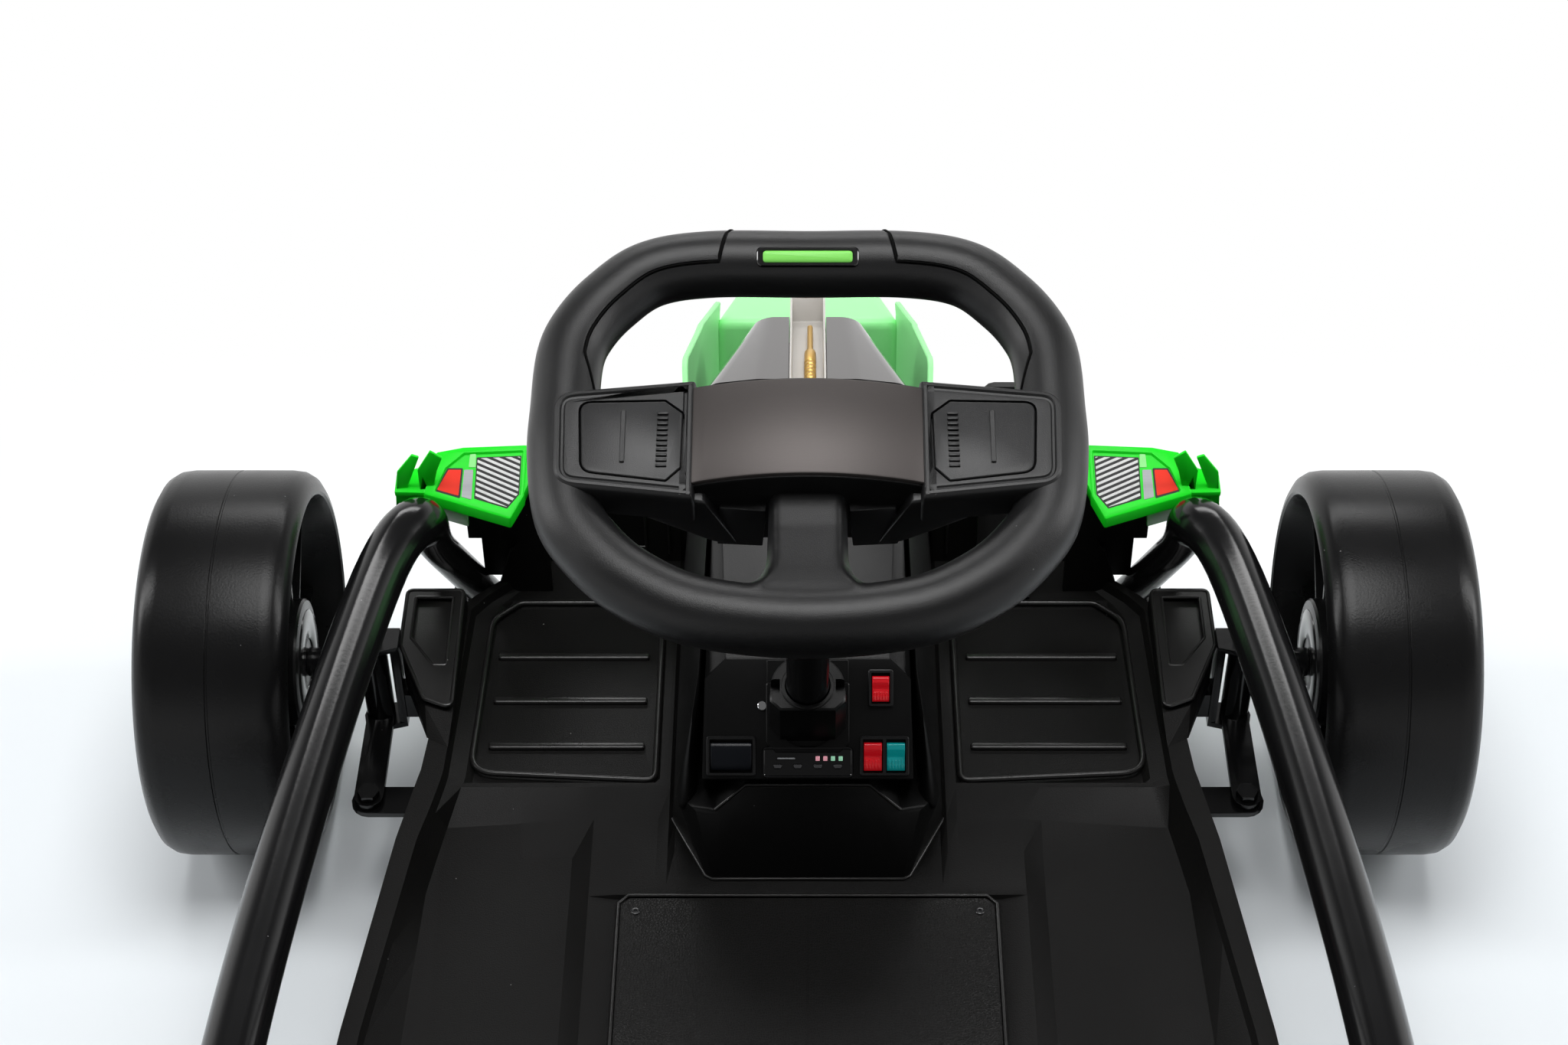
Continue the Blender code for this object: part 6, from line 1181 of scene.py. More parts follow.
cover = {
    "outline": ((-0.1092, -0.1045), (0.1092, -0.1045), (0.1092, 0.1180), (0.1040, 0.1232), (-0.1040, 0.1232),
                (-0.1092, 0.1180)),
    "levels": ((0.0, 0.1040), (0.0, 0.1058), (0.0004, 0.1063), (0.0010, 0.1065)),
    "groove": ((-0.0003, -0.2, 0.1060), (0.0003, 0.2, 0.12)),
    "lip": ((-0.1106, -0.1045), (-0.1106, 0.1186), (-0.1046, 0.1246), (0.1046, 0.1246), (0.1106, 0.1186),
            (0.1106, -0.1045)),
    "lipHeight": 0.1064, "lipRadius": 0.0012,
    "screwX": 0.1000, "screwY": (0.1130, -0.0950), "screwZ": 0.1065, "screw": (0.0026, 0.0010, 0.5, 0.0007),
}


def makeCover():
    plate = steppedPlate("cover", roundOutline(cover["outline"], 0.0030, 5), cover["levels"], Matrix.Identity(4))
    plate = carve(plate, blockMesh("coverGroove", *cover["groove"]))
    addFixed("battery_cover_panel", plate, "coverLeather", "leather_black", ("battery_cover",), crease=30)
    lip = sweepTube("coverLip", [(x, y, cover["lipHeight"]) for x, y in cover["lip"]], cover["lipRadius"], 8)
    # the lip uses the lighter tray finish: a painted highlight round the cover
    addFixed("battery_cover_lip", lip, "trayHighlightEdge", "matt_black_tray", crease=60)
    places = [((side * cover["screwX"], y, cover["screwZ"]), (0, 0, 1)) for side, label in sides
              for y in cover["screwY"]]
    addScrews("battery_cover_screws", places, "chassis", "darkScrew", "gloss_black_steel", *cover["screw"])


for side, label in sides:
    makeFootwell(side, label)
    makePodPanel(side, label)
    makeCarrier(side, label)
    makeToeWall(side, label)
makeCover()
print("floor")


# Front wings: a bordered sloping panel with stickers, two thin plates at the outer end, and the strut to the nose
wing = {
    "edge": ((0.2393, 0.3644), (0.1845, 0.3494), (0.1764, 0.3633), (0.1752, 0.3941), (0.2156, 0.3926),
             (0.2324, 0.3896)),
    "field": ((0.2325, 0.3661), (0.1868, 0.3536), (0.1786, 0.3640), (0.1778, 0.3905), (0.2150, 0.3890),
              (0.2262, 0.3800)),
    "height": 0.200, "heightAt": 0.357, "slope": 0.5, "thickness": 0.0088, "recess": 0.0014, "underInset": 0.0030,
    "root": ((0.1660, 0.3900), (0.1772, 0.3633), (0.1758, 0.3941)),
    # plates as their top corners and how far down they reach
    "plates": {
        "strut": (((0.1660, 0.3870, 0.2080), (0.1748, 0.3907, 0.2080), (0.1600, 0.4450, 0.1960),
                   (0.1700, 0.4640, 0.1960)),
                  -0.0088),
        "cross": (((0.0785, 0.4450, 0.1960), (0.1700, 0.4450, 0.1960), (0.1700, 0.4640, 0.1960),
                   (0.0765, 0.4640, 0.1960)),
                  -0.0088),
        "floor": (((0.2580, 0.3690, 0.2010), (0.2580, 0.3840, 0.2030), (0.2350, 0.3660, 0.2030),
                   (0.2320, 0.3880, 0.2090)),
                  -0.004),
    },
    "skirt": ((0.2575, 0.3700, 0.2000), (0.2586, 0.3720, 0.1860), (0.2145, 0.3720, 0.1680),
              (0.2115, 0.3600, 0.1930)),
    "skirtThickness": 0.004, "foot": ((0.1640, 0.1760), (0.3980, 0.4100), (0.1853, 0.2060)), "slabEdge": 0.0009,
    "fins": (((0.2586, 0.3712, 0.1862), (0.2552, 0.3712, 0.2155), (0.2449, 0.3712, 0.2297),
              (0.2404, 0.3712, 0.2277), (0.2505, 0.3712, 0.2010), (0.2500, 0.3712, 0.1900)),
             ((0.2419, 0.3692, 0.2190), (0.2329, 0.3692, 0.2347), (0.2258, 0.3692, 0.2290),
              (0.2300, 0.3692, 0.2180), (0.2345, 0.3692, 0.1990), (0.2419, 0.3692, 0.1990))),
    "finThickness": (0.0, 0.0024, -0.0004), "finEdge": 0.0006,
    "heel": ((0.2586, 0.3712, 0.1862), (0.2552, 0.3712, 0.2100), (0.2586, 0.3838, 0.1862),
             (0.2556, 0.3800, 0.2060), (0.2560, 0.3712, 0.1862)),
    "gusset": ((0.2419, 0.3692, 0.2000), (0.2360, 0.3692, 0.2000), (0.2392, 0.3692, 0.2140),
               (0.2390, 0.3860, 0.2000), (0.2350, 0.3860, 0.2000)),
}
# Stickers: outline, finish, height over the panel and slot
stickers = {
    "ground": (((0.2076, 0.3625), (0.1868, 0.3566), (0.1796, 0.3650), (0.1790, 0.3880), (0.2070, 0.3870)),
               "darkGround", 0.0002, "satin_black_plastic"),
    "red": (((0.2309, 0.3676), (0.2174, 0.3640), (0.2164, 0.3795), (0.2243, 0.3795)), "stickerRed", 0.0004,
            "light_green"),
    "silver": (((0.2155, 0.3634), (0.2092, 0.3617), (0.2089, 0.3795), (0.2145, 0.3795)), "stickerSilver", 0.0004,
               "light_green"),
    "tab": (((0.2118, 0.3810), (0.2074, 0.3810), (0.2076, 0.3890), (0.2112, 0.3890)), "stickerGreen", 0.0004,
            "light_green"),
}
stripe = {"width": 0.00145, "gap": 0.0031, "count": 14, "lean": 22.0, "middle": (0.1935, 0.3720),
          "halfLength": 0.03,
          "height": 0.00045, "margin": 0.0007, "rimWidth": 0.0011, "sink": 0.0004}


def wingPoint(x, y, lift, side):
    return Vector((side * x, y, wing["height"] + wing["slope"] * (y - wing["heightAt"]) + lift))


def wingPlate(name, corners, radius, levels, side):
    # an outline on the wing's slope with steps in height
    outline = anticlockwise(roundOutline(corners, radius, 4))
    rings = [[wingPoint(point.x, point.y, height, side) for point in insetOutline(outline, inset)]
             for inset, height in levels]
    return loftRings(name, rings)


def insetFlat(corners, distance):
    return insetOutline(anticlockwise([Vector(corner) for corner in corners]), distance)


def makeFin(points, side):
    # a thin upright plate between two faces of the same outline
    front = [Vector(point) for point in toSide(points, side)]
    back = [point + Vector(wing["finThickness"]) for point in front]
    return softenEdges(loftRings("fin", [front, back]), wing["finEdge"], 2, 25)


def makeWing(side, label):
    name = f"front_wing_{label}"
    low, recess = -wing["thickness"], wing["recess"]
    levels = ((0.0012, low), (0.0, low + 0.0012), (0.0, -0.0012), (0.0004, -0.0003), (0.0012, 0.0))
    body = wingPlate(name, wing["edge"], 0.0016, levels, side)
    body = carve(body,
                 wingPlate("field", wing["field"], 0.0012, ((0.0006, -recess), (0.0, 0.0), (0.0, 0.01)), side))
    under = insetFlat(wing["edge"], wing["underInset"])
    body = carve(body, wingPlate("under", under, 0.001, ((0, -0.03), (0, -recess - 0.0026)), side))
    slabs = [hullMesh("root", [wingPoint(x, y, drop, side) for x, y in wing["root"] for drop in (-0.0003, low)])]
    for part, (corners, depth) in wing["plates"].items():
        slabs.append(hullMesh(part, [(side * x, y, z + drop) for x, y, z in corners for drop in (0.0, depth)]))
    skirt = [(x, y + depth, z) for x, y, z in wing["skirt"] for depth in (0.0, wing["skirtThickness"])]
    foot = [(x, y, z) for x in wing["foot"][0] for y in wing["foot"][1] for z in wing["foot"][2]]
    slabs += [hullMesh("slab", toSide(corners, side)) for corners in (skirt, foot)]
    parts = [body] + [softenEdges(slab, wing["slabEdge"], 2, 20) for slab in slabs]
    parts += [makeFin(points, side) for points in wing["fins"]]
    parts += [hullMesh(part, toSide(wing[part], side)) for part in ("heel", "gusset")]
    addFixed(f"{name}_shell", joinMeshes(name, parts), "greenPlastic", "bright_green_plastic", (name,), crease=28)

    base, sink = -recess, stripe["sink"]
    for part, (corners, finish, height, slot) in stickers.items():
        mesh = wingPlate(part, corners, 0.0006, ((0.0, base - sink), (0.0, base + height)), side)
        addFixed(f"{name}_{part}", mesh, finish, slot)
    outline = insetFlat(stickers["red"][0], -stripe["rimWidth"])
    rim = wingPlate("redRim", outline, 0.0009, ((0.0, base - sink), (0.0, base + 0.0002)), side)
    addFixed(f"{name}_red_rim", rim, "darkGround", "satin_black_plastic")
    lean = math.radians(stripe["lean"])
    along, across = Vector((math.cos(lean), math.sin(lean))), Vector((-math.sin(lean), math.cos(lean)))
    start = Vector(stripe["middle"]) - across * stripe["gap"] * stripe["count"] / 2
    reach, breadth = along * stripe["halfLength"], across * stripe["width"]
    bar = wingPlate("stripe", [start - reach, start + reach, start + reach + breadth, start - reach + breadth],
                    0.0001,
                    ((0.0, base - 0.0003), (0.0, base + stripe["height"])), side)
    move = Vector((side * across.x, across.y, wing["slope"] * across.y)) * stripe["gap"]
    stripes = weldMesh(rowOf(bar, stripe["count"], move, "stickerWhite"), 0.00001)
    field = insetFlat(stickers["ground"][0], stripe["margin"])
    trimmed = carve(stripes, wingPlate("trim", field, 0.0008, ((0, -0.01), (0, 0.01)), side), "INTERSECT")
    addFixed(f"{name}_stripes", trimmed, None, "light_green")


for side, label in sides:
    makeWing(side, label)
print("wings")


# Side bars, one smooth sweep each
sideBar = {
    "line": ((0.2100, 0.3870, 0.0946), (0.2310, 0.3550, 0.1650), (0.2400, 0.3380, 0.2040),
             (0.2580, 0.2850, 0.2080), (0.2760, 0.1110, 0.2215), (0.2870, -0.0710, 0.2345),
             (0.2860, -0.2100, 0.2400), (0.2680, -0.2880, 0.2300), (0.2250, -0.3350, 0.1650),
             (0.2000, -0.3520, 0.1151)),
    "radii": (0.0110, 0.0112, 0.0158, 0.0158, 0.0158, 0.0158, 0.0158, 0.0158, 0.0112, 0.0110), "steps": 8,
    "trimX": (0.17, 0.25), "trimReach": (0.03, 0.04, 0.0002),
    "plugStation": 18, "plugShift": (-0.0150, 0.0, -0.0040), "plug": (0.0030, 0.0012, 0.6, 0.0008),
}


def makeSideBar(side, label):
    steps, stations = sideBar["steps"], sideBar["radii"]
    path = smoothPath(toSide(sideBar["line"], side), steps)
    radii = []
    for index in range(len(path)):
        whole, part = divmod(index, steps)
        low, high = stations[whole], stations[min(whole + 1, len(stations) - 1)]
        share = part / steps
        radii.append(low + (high - low) * (3 * share ** 2 - 2 * share ** 3))
    bar = sweepTube("bar", path, radii, 28)
    # both ends are cut level with what carries them
    low, high = sorted(side * x for x in sideBar["trimX"])
    depth, drop, above = sideBar["trimReach"]
    for x, y, z in (sideBar["line"][0], sideBar["line"][-1]):
        bar = carve(bar, blockMesh("trim", (low, y - depth, z - drop), (high, y + depth, z + above)))
    addFixed(f"side_bar_{label}_tube", bar, "glossSteel", "gloss_black_steel", (f"side_bar_{label}",), crease=60)
    x, y, z = sideBar["plugShift"]
    plug = (path[sideBar["plugStation"]] + Vector((side * x, y, z)), (-side, 0.0, -0.2))
    addScrews(f"side_bar_{label}_plug", [plug], "chassis", "darkScrew", "gloss_black_steel", *sideBar["plug"])


for side, label in sides:
    makeSideBar(side, label)
print("side bars")


# Wheels: one turned body with a parting seam, webs between hub and rim, and wheel nuts
wheel = {
    "profile": ((0.0066, -0.0388), (0.0350, -0.0388), (0.0385, -0.0380), (0.0398, -0.0365), (0.0400, -0.0190),
                (0.0440, -0.0150), (0.0840, -0.0150), (0.0960, -0.0190), (0.1010, -0.0280), (0.1035, -0.0400),
                (0.1050, -0.0450), (0.1068, -0.0459), (0.1110, -0.0450), (0.1160, -0.0420), (0.1190, -0.0370),
                (0.1199, -0.0300), (0.1200, -0.0010), (0.1194, -0.0005), (0.1194, 0.0005), (0.1200, 0.0010),
                (0.1199, 0.0300), (0.1190, 0.0370), (0.1160, 0.0420), (0.1110, 0.0450), (0.1068, 0.0459),
                (0.1050, 0.0450), (0.1035, 0.0400), (0.1010, 0.0280), (0.0960, 0.0190), (0.0840, 0.0150),
                (0.0440, 0.0150), (0.0400, 0.0170), (0.0398, 0.0225), (0.0385, 0.0242), (0.0350, 0.0249),
                (0.0066, 0.0249)),
    "webs": 10, "spokes": 5, "nuts": 5, "steps": 96, "radius": 0.1200, "x": 0.3515,
    "y": {"front": 0.3000, "rear": -0.4600},
    # webs and spokes as distance from the axle, height and half width
    "web": ((0.0395, -0.0300, 0.0016), (0.0395, -0.0120, 0.0016), (0.1000, -0.0120, 0.0016),
            (0.1025, -0.0260, 0.0016), (0.0850, -0.0230, 0.0016)),
    "spoke": ((0.0385, 0.0120, 0.0130), (0.0385, 0.0215, 0.0105), (0.0950, 0.0120, 0.0170),
              (0.0975, 0.0300, 0.0130)),
    "disc": ((0.0130, 0.0240), (0.0130, 0.0262), (0.0145, 0.0272), (0.0300, 0.0264), (0.0335, 0.0256),
             (0.0345, 0.0240)),
    "innerDisc": ((0.0150, -0.0380), (0.0150, -0.0394), (0.0160, -0.0400), (0.0310, -0.0400), (0.0330, -0.0392),
                  (0.0335, -0.0380)),
    "nutRing": 0.0240, "nutHeight": 0.0262, "nut": (0.0030, 0.0018, 0.55, 0.0012),
}


def wheelBlade(part):
    return hullMesh(part, [(reach, sign * half, height) for reach, height, half in wheel[part] for sign in (-1, 1)])


def makeWheel(end, side, label):
    body, node = f"{end}_{label}_wheel", f"{end}_wheel_{label}"
    place = (Matrix.Translation((side * wheel["x"], wheel["y"][end], wheel["radius"]))
             @ Matrix.Rotation(side * math.pi / 2, 4, "Y"))
    turned = latheMesh("wheelBody", wheel["profile"], wheel["steps"], place, loop=True)
    addPiece(f"{node}_body", turned, "wheelPlastic", body, "wheel_black", (node,), crease=32)
    for name, blade, count in (("inner_webs", wheelBlade("web"), wheel["webs"]),
                               ("spokes", softenEdges(wheelBlade("spoke"), 0.0012, 2, 20), wheel["spokes"])):
        ring = ringOf(blade, count, "wheelPlastic")
        ring.transform(place)
        addPiece(f"{node}_{name}", ring, None, body, "wheel_black")
    discs = [latheMesh("hubDisc", wheel[part], 48, place, loop=True) for part in ("disc", "innerDisc")]
    addPiece(f"{node}_hub_disc", joinMeshes("hubDiscs", discs), "wheelHub", body, "wheel_black", crease=32)
    out, ring = place.to_3x3() @ Vector((0.0, 0.0, 1.0)), wheel["nutRing"]
    nuts = [(place @ Vector((ring * math.cos(turn), ring * math.sin(turn), wheel["nutHeight"])), out)
            for turn in (2 * math.pi * step / wheel["nuts"] for step in range(wheel["nuts"]))]
    addScrews(f"{node}_nuts", nuts, body, "darkScrew", "wheel_black", *wheel["nut"])


for end in ("front", "rear"):
    for side, label in sides:
        makeWheel(end, side, label)
print("wheels")


# Nose: rounded fairing with its channel, the thin blades at each side, and the tip
nose = {
    "near": ((0.0700, 0.1068), (0.0690, 0.2650), (0.0600, 0.2975), (0.0300, 0.3015)),
    "far": ((0.0520, 0.1068), (0.0410, 0.2440), (0.0330, 0.2600), (0.0250, 0.2640)),
    "radii": (0.001, 0.016, 0.012, 0.030), "from": 0.3600, "to": 0.4640,
    "stations": (0.0, 0.02, 0.25, 0.5, 0.75, 0.97, 1.0),
    "channelTop": (0.3600, 0.3010), "channelFall": (0.1040, -0.0370),
    "channel": ((-0.0116, -0.02, -0.0200), (0.0116, 0.16, 0.02)),
    "hollow": ((0.066, 0.35, 0.10), (0.064, 0.35, 0.262), (0.050, 0.35, 0.270), (0.048, 0.460, 0.10),
               (0.036, 0.460, 0.238), (0.028, 0.460, 0.2400)),
    "blade": ((0.3705, 0.1500), (0.3725, 0.2300), (0.3850, 0.2500), (0.4300, 0.2570), (0.4800, 0.2450),
              (0.5250, 0.2285), (0.5440, 0.2000), (0.5440, 0.1020), (0.5000, 0.1150), (0.4300, 0.1260)),
    "bladeRadii": (0.004, 0.010, 0.020, 0.030, 0.030, 0.022, 0.014, 0.004, 0.02, 0.02),
    "bladeX": ((0.3700, 0.0725), (0.4300, 0.0750), (0.4800, 0.0670), (0.5250, 0.0575), (0.5460, 0.0590)),
    "bladeLevels": ((0.0008, 0.0), (0.0, 0.0007), (0.0, 0.0029), (0.0008, 0.0036)),
    "tip": ((0.0615, 0.5320, 0.2050), (0.0655, 0.5320, 0.1200), (0.0480, 0.5860, 0.1875),
            (0.0500, 0.6085, 0.1500), (0.0560, 0.5975, 0.1200)),
    "tipEdge": 0.008, "tipSlot": ((-0.0116, 0.50, 0.130), (0.0116, 0.560, 0.30)),
}


def fairingRing(share):
    y = nose["from"] + (nose["to"] - nose["from"]) * share
    corners = [(nx + (fx - nx) * share, nz + (fz - nz) * share)
               for (nx, nz), (fx, fz) in zip(nose["near"], nose["far"])]
    loop = corners + [(-x, z) for x, z in corners[::-1]]
    return [Vector((point.x, y, point.y)) for point in roundOutline(loop, nose["radii"] + nose["radii"][::-1], 5)]


def bladeAt(y):
    for (y0, x0), (y1, x1) in zip(nose["bladeX"], nose["bladeX"][1:]):
        if y <= y1:
            share = (y - y0) / (y1 - y0)
            return x0 + (x1 - x0) * share * share * (3 - 2 * share)
    return nose["bladeX"][-1][1]


def makeNose():
    shell = loftRings("fairing", [fairingRing(share) for share in nose["stations"]])
    (y, z), (run, fall) = nose["channelTop"], nose["channelFall"]
    place = Matrix.Translation((0.0, y, z)) @ Matrix.Rotation(math.atan2(fall, run), 4, "X")
    shell = carve(shell, blockMesh("channel", *nose["channel"], place))
    shell = carve(shell, hullMesh("hollow", bothSides(nose["hollow"])))
    addFixed("nose_fairing_shell", shell, "fairingGloss", "dark_metallic_plastic", ("nose_fairing",), crease=26)
    outline = anticlockwise(roundOutline(nose["blade"], nose["bladeRadii"], 5))
    for side, label in sides:
        rings = [[Vector((side * (bladeAt(point.x) + offset), point.x, point.y))
                  for point in insetOutline(outline, inset)]
                 for inset, offset in nose["bladeLevels"]]
        # the blades carry a painted glow in their finish
        addFixed(f"nose_blade_{label}", loftRings("blade", rings), "paleGreenPaintedGlow", "bright_green_plastic", crease=40)
    tip = softHull("noseTip", bothSides(nose["tip"]), Matrix.Identity(4), nose["tipEdge"], 4)
    tip = carve(tip, blockMesh("tipSlot", *nose["tipSlot"]))
    # the tip carries a painted glow in its finish
    addFixed("nose_tip", tip, "paleGreenPaintedGlow", "bright_green_plastic", ("nose_surround",), crease=32)


makeNose()
print("nose")


# Seat pads: stretches of the shell's middle line, quilted
seat = {
    "line": ((-0.1250, 0.1960), (-0.1800, 0.1860), (-0.2600, 0.1800), (-0.3300, 0.1820), (-0.3750, 0.2020),
             (-0.4000, 0.2400), (-0.4180, 0.3000), (-0.4380, 0.3900), (-0.4560, 0.4700), (-0.4650, 0.5100)),
    "pads": {"cushion": (0, 3), "backrest": (5, 9)},
    "halfWidth": 0.082, "puff": 0.0075, "quiltDepth": 0.18, "quiltLength": 5, "endRound": 9, "backing": 0.004,
    "gap": 0.0006,
}


def seatPad(first, last):
    path = smoothPath([(0.0, y, z) for y, z in seat["line"][first:last + 1]], seat["quiltLength"])
    rings = []
    count = len(path) - 1
    for index, point in enumerate(path):
        along = (path[min(index + 1, count)] - path[max(index - 1, 0)]).normalized()
        normal = Vector((0.0, -along.z, along.y))
        if normal.y < 0 and normal.z < 0 or normal.z < -0.2:
            normal = -normal
        ease = min(1.0, min(index, count - index) / count * seat["endRound"]) ** 0.5
        quilt = 1 - seat["quiltDepth"] + seat["quiltDepth"] * abs(math.sin(math.pi * index / seat["quiltLength"]))
        ring = []
        for step in range(17):
            share = -1 + step / 8
            x = seat["halfWidth"] * share * (0.9 + 0.1 * ease)
            swell = seat["puff"] * (1 - share ** 6) * ease * quilt
            ring.append(point + Vector((x, 0.0, 0.0)) + normal * (seat["gap"] + swell))
        ring += [ring[16] - normal * seat["backing"], ring[0] - normal * seat["backing"]]
        rings.append(ring)
    return loftRings("seatPad", rings)


for label, stretch in seat["pads"].items():
    addPiece(f"seat_pad_{label}", seatPad(*stretch), "coverLeather", "seat", "leather_black", crease=50)


# Screws of the gearboxes, fins of the motors and ribs under the battery tub
rear = {
    "screwSpread": (0.32, 0.30), "screw": (0.0034, 0.0016, 0.5, 0.0010),
    "finInside": 0.0020, "finProud": 0.0004, "finHalf": 0.0008, "finShare": 0.30, "finCount": 9,
    "tubMargin": 0.012, "tubRib": 0.003, "tubRibRise": (0.0002, -0.0030), "tubRibCount": 8,
}


def nodeBounds(node):
    return [Vector(corner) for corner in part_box(node)]


def makeRearDetails():
    for side, label in sides:
        low, high = nodeBounds(f"gearbox_{label}")
        middle, size, face = (low + high) / 2, high - low, high.x if side < 0 else low.x
        wide, tall = rear["screwSpread"]
        places = [((face, middle.y + sy * size.y * wide, middle.z + sz * size.z * tall), (-side, 0, 0))
                  for sy in (-1, 1) for sz in (-1, 1)]
        addScrews(f"gearbox_{label}_screws", places, "chassis", "zinc", "zinc_steel", *rear["screw"])
        low, high = nodeBounds(f"drive_motor_{label}")
        middle, size = (low + high) / 2, high - low
        radius, reach = min(size.y, size.z) / 2, size.x * rear["finShare"]
        inside, outside, half = radius - rear["finInside"], radius + rear["finProud"], rear["finHalf"]
        place = (Matrix.Translation(middle) @ Matrix.Rotation(math.pi / 2, 4, "Y")
                 @ Matrix.Translation((0.0, 0.0, -reach)))
        fin = latheMesh("motorFin", ((inside, -half), (outside, -half), (outside, half), (inside, half)), 40, place,
                        loop=True)
        fins = rowOf(fin, rear["finCount"], Vector((2 * reach / (rear["finCount"] - 1), 0.0, 0.0)),
                     "gearboxPlastic")
        addFixed(f"drive_motor_{label}_fins", fins, None, "gearbox_black")
    low, high = nodeBounds("battery_tub")
    margin, width, (top, bottom) = rear["tubMargin"], rear["tubRib"], rear["tubRibRise"]
    rib = blockMesh("tubRib", (low.x + margin, low.y + margin, low.z + top),
                    (high.x - margin, low.y + margin + width, low.z + bottom))
    step = Vector((0.0, (high.y - low.y - 2 * margin - width) / (rear["tubRibCount"] - 1), 0.0))
    ribs = rowOf(softenEdges(rib, 0.0005), rear["tubRibCount"], step, "satinPlastic")
    addFixed("battery_tub_ribs", ribs, None, "satin_black_plastic")


makeRearDetails()
print("rear")

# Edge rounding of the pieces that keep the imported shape, and another finish where the slot's isn't right
dressed = (
    (("main_rail_left", "main_rail_right", "front_subframe"), dict(edge=0.0018)),
    (("front_axle_beam",), dict(edge=0.0012)),
    (("rear_frame",), dict(edge=0.0015)),
    (("front_bumper", "rear_bumper"), dict(angle=60, crease=60)),
    (("steering_knuckle_left", "steering_knuckle_right"), {}),
    (("kingpin_left", "kingpin_right", "tie_bolt_left", "tie_bolt_right"), dict(finish="glossSteel", edge=0.0004)),
    (("tie_bar",), dict(edge=0.0007)),
    (("floor_tray",), dict(edge=0.0016, segments=3, angle=12, crease=30)),
    (("battery_tub", "battery_pack"), dict(edge=0.002)),
    (("accelerator_pedal",), dict(edge=0.0010)),
    (("pedal_bracket", "rear_axle"), dict(edge=0.0005)),
    (("nose_spine",), dict(finish="paleSpine", edge=0.0005)),
    (("nose_damper",), dict(edge=0.0003)),
    (("seat_shell",), dict(edge=0.0012, angle=40)),
    (("seat_base", "gearbox_left", "gearbox_right"), dict(edge=0.003, segments=3)),
    (("drive_motor_left", "drive_motor_right"), {}),
)


def dressNode(node, finish=None, edge=0.0008, **look):
    finish = finish or slotFinish[slotOf[node]]
    addPiece(f"{node}_dressed", mergedCopy(node), finish, bodyOf[node], slotOf[node], (node,), edge, **look)


for members, look in dressed:
    for node in members:
        dressNode(node, **look)
print("dressed nodes:", sum(len(members) for members, look in dressed))


# Floor, light and camera
studio = {
    "floorColour": (0.80, 0.84, 0.87), "floorRoughness": 0.12, "floorSize": 14.0, "floorDrop": -0.0005,
    "whiteFrom": 0.30, "whiteTo": 0.75, "lightLevel": 0.58,
    "ceiling": 0.13, "ceilingFrom": 0.12, "ceilingTo": 0.55,
    "lamps": (
        ("overheadLamp", (0.0, 0.1, 2.8), (0.0, 0.1, 0.0), 1.4, 1.4, 54.0),
        ("leftLamp", (-2.4, 0.5, 1.7), (-0.1, 0.1, 0.1), 0.5, 2.2, 38.0),
        ("rightLamp", (2.4, 0.5, 1.7), (0.1, 0.1, 0.1), 0.5, 2.2, 38.0),
        ("frontLamp", (0.0, 3.0, 2.1), (0.0, 0.2, 0.2), 2.4, 0.6, 30.0),
    ),
}
view = {"place": (0.0, -0.9065, 1.38515), "tilt": 46.5, "lens": 64.04, "sensor": 36.0, "shiftX": -0.01514,
        "near": 0.05}


def addToStage(name, content, place):
    holder = bpy.data.objects.new(name, content)
    holder.location = place
    bpy.context.scene.collection.objects.link(holder)
    return holder


def seenRays(tree):
    # camera, mirror and glass rays
    path = tree.nodes.new("ShaderNodeLightPath").outputs
    seen = path["Is Camera Ray"]
    for label in ("Is Glossy Ray", "Is Transmission Ray"):
        seen = addMath(tree, "MAXIMUM", seen, path[label])
    return seen


def whitenFar(tree, shader):
    # beyond the kart's nose the floor turns to the plain white of the background
    place = tree.nodes.new("ShaderNodeTexCoord").outputs["Object"]
    split = addNode(tree, "ShaderNodeSeparateXYZ", {0: place})
    fade = addNode(tree, "ShaderNodeMapRange", {
        "From Min": studio["whiteFrom"], "From Max": studio["whiteTo"], "Value": split.outputs["Y"]},
        interpolation_type="SMOOTHSTEP")
    share = addMath(tree, "MULTIPLY", seenRays(tree), fade.outputs["Result"])
    white = tree.nodes.new("ShaderNodeEmission")
    mix = addNode(tree, "ShaderNodeMixShader", {"Fac": share, 1: shader.outputs[0], 2: white.outputs[0]})
    tree.links.new(mix.outputs[0], tree.nodes["Material Output"].inputs["Surface"])


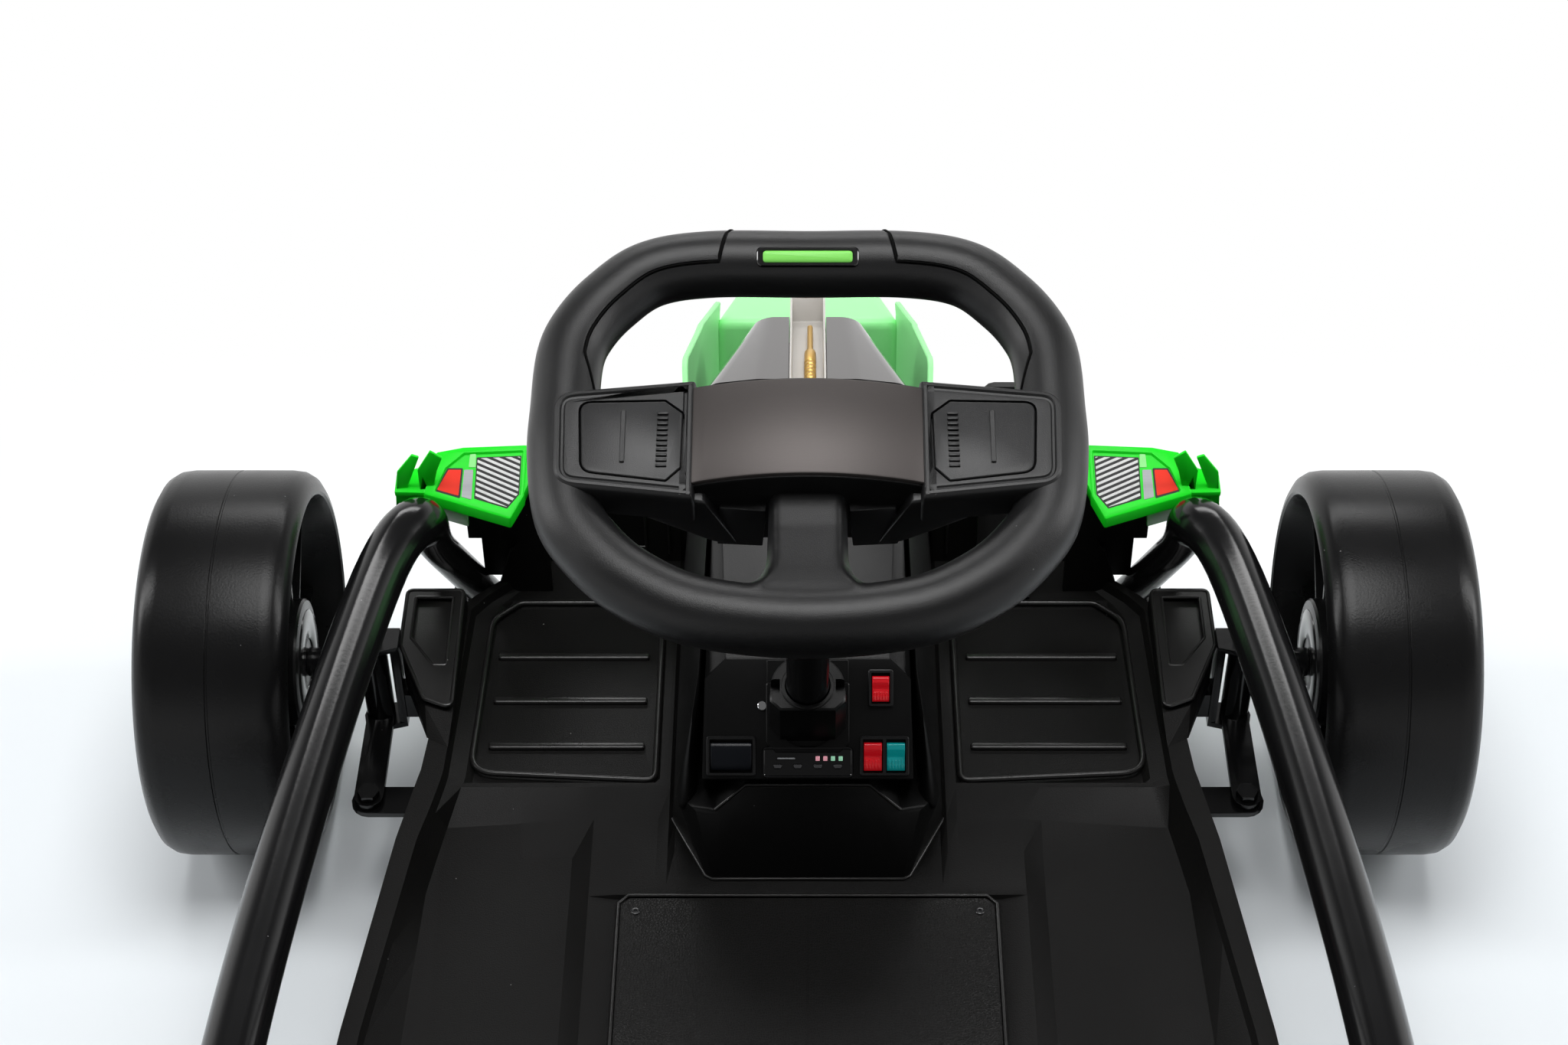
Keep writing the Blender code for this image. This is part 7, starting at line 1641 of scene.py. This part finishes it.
def makeFloor():
    half = studio["floorSize"] / 2
    mesh = bpy.data.meshes.new("studioFloor")
    mesh.from_pydata([(-half, -half, 0), (half, -half, 0), (half, half, 0), (-half, half, 0)], [], [(0, 1, 2, 3)])
    material = bpy.data.materials.new("studioFloor")
    material.use_nodes = True
    shader = material.node_tree.nodes["Principled BSDF"]
    shader.inputs["Base Color"].default_value = (*studio["floorColour"], 1.0)
    shader.inputs["Roughness"].default_value = studio["floorRoughness"]
    whitenFar(material.node_tree, shader)
    mesh.materials.append(material)
    addToStage("studioFloor", mesh, (0.0, 0.0, studio["floorDrop"]))


def makeWorld():
    # a pale room with a greyer ceiling; the camera and shiny finishes see it at full strength
    world = bpy.data.worlds.new("paleStudio")
    world.use_nodes = True
    bpy.context.scene.world = world
    tree = world.node_tree
    direction = tree.nodes.new("ShaderNodeTexCoord").outputs["Generated"]
    split = addNode(tree, "ShaderNodeSeparateXYZ", {0: direction})
    ceiling = addNode(tree, "ShaderNodeMapRange", {
        "From Min": studio["ceilingFrom"], "From Max": studio["ceilingTo"], "To Min": 1.0,
        "To Max": studio["ceiling"],
        "Value": split.outputs["Z"]}, interpolation_type="SMOOTHSTEP")
    level = addNode(tree, "ShaderNodeMapRange",
                    {"Value": seenRays(tree), "To Min": studio["lightLevel"], "To Max": 1.0})
    background = tree.nodes["Background"]
    background.inputs["Color"].default_value = (1.0, 1.0, 1.0, 1.0)
    strength = addMath(tree, "MULTIPLY", level.outputs["Result"], ceiling.outputs["Result"])
    tree.links.new(strength, background.inputs["Strength"])


def makeLamp(name, place, target, width, depth, power):
    lamp = bpy.data.lights.new(name, "AREA")
    lamp.shape = "RECTANGLE"
    lamp.size, lamp.size_y, lamp.energy = width, depth, power
    aim = (Vector(target) - Vector(place)).to_track_quat("-Z", "Y").to_euler()
    addToStage(name, lamp, place).rotation_euler = aim


def makeCamera():
    camera = bpy.data.cameras.new("photoCamera")
    camera.lens, camera.sensor_width, camera.shift_x = view["lens"], view["sensor"], view["shiftX"]
    camera.clip_start = view["near"]
    holder = addToStage("photoCamera", camera, view["place"])
    holder.rotation_euler = (math.radians(view["tilt"]), 0.0, 0.0)
    bpy.context.scene.camera = holder


makeFloor()
makeWorld()
for lamp in studio["lamps"]:
    makeLamp(*lamp)
makeCamera()
bpy.context.scene.view_settings.view_transform = "Standard"
print("studio ready")
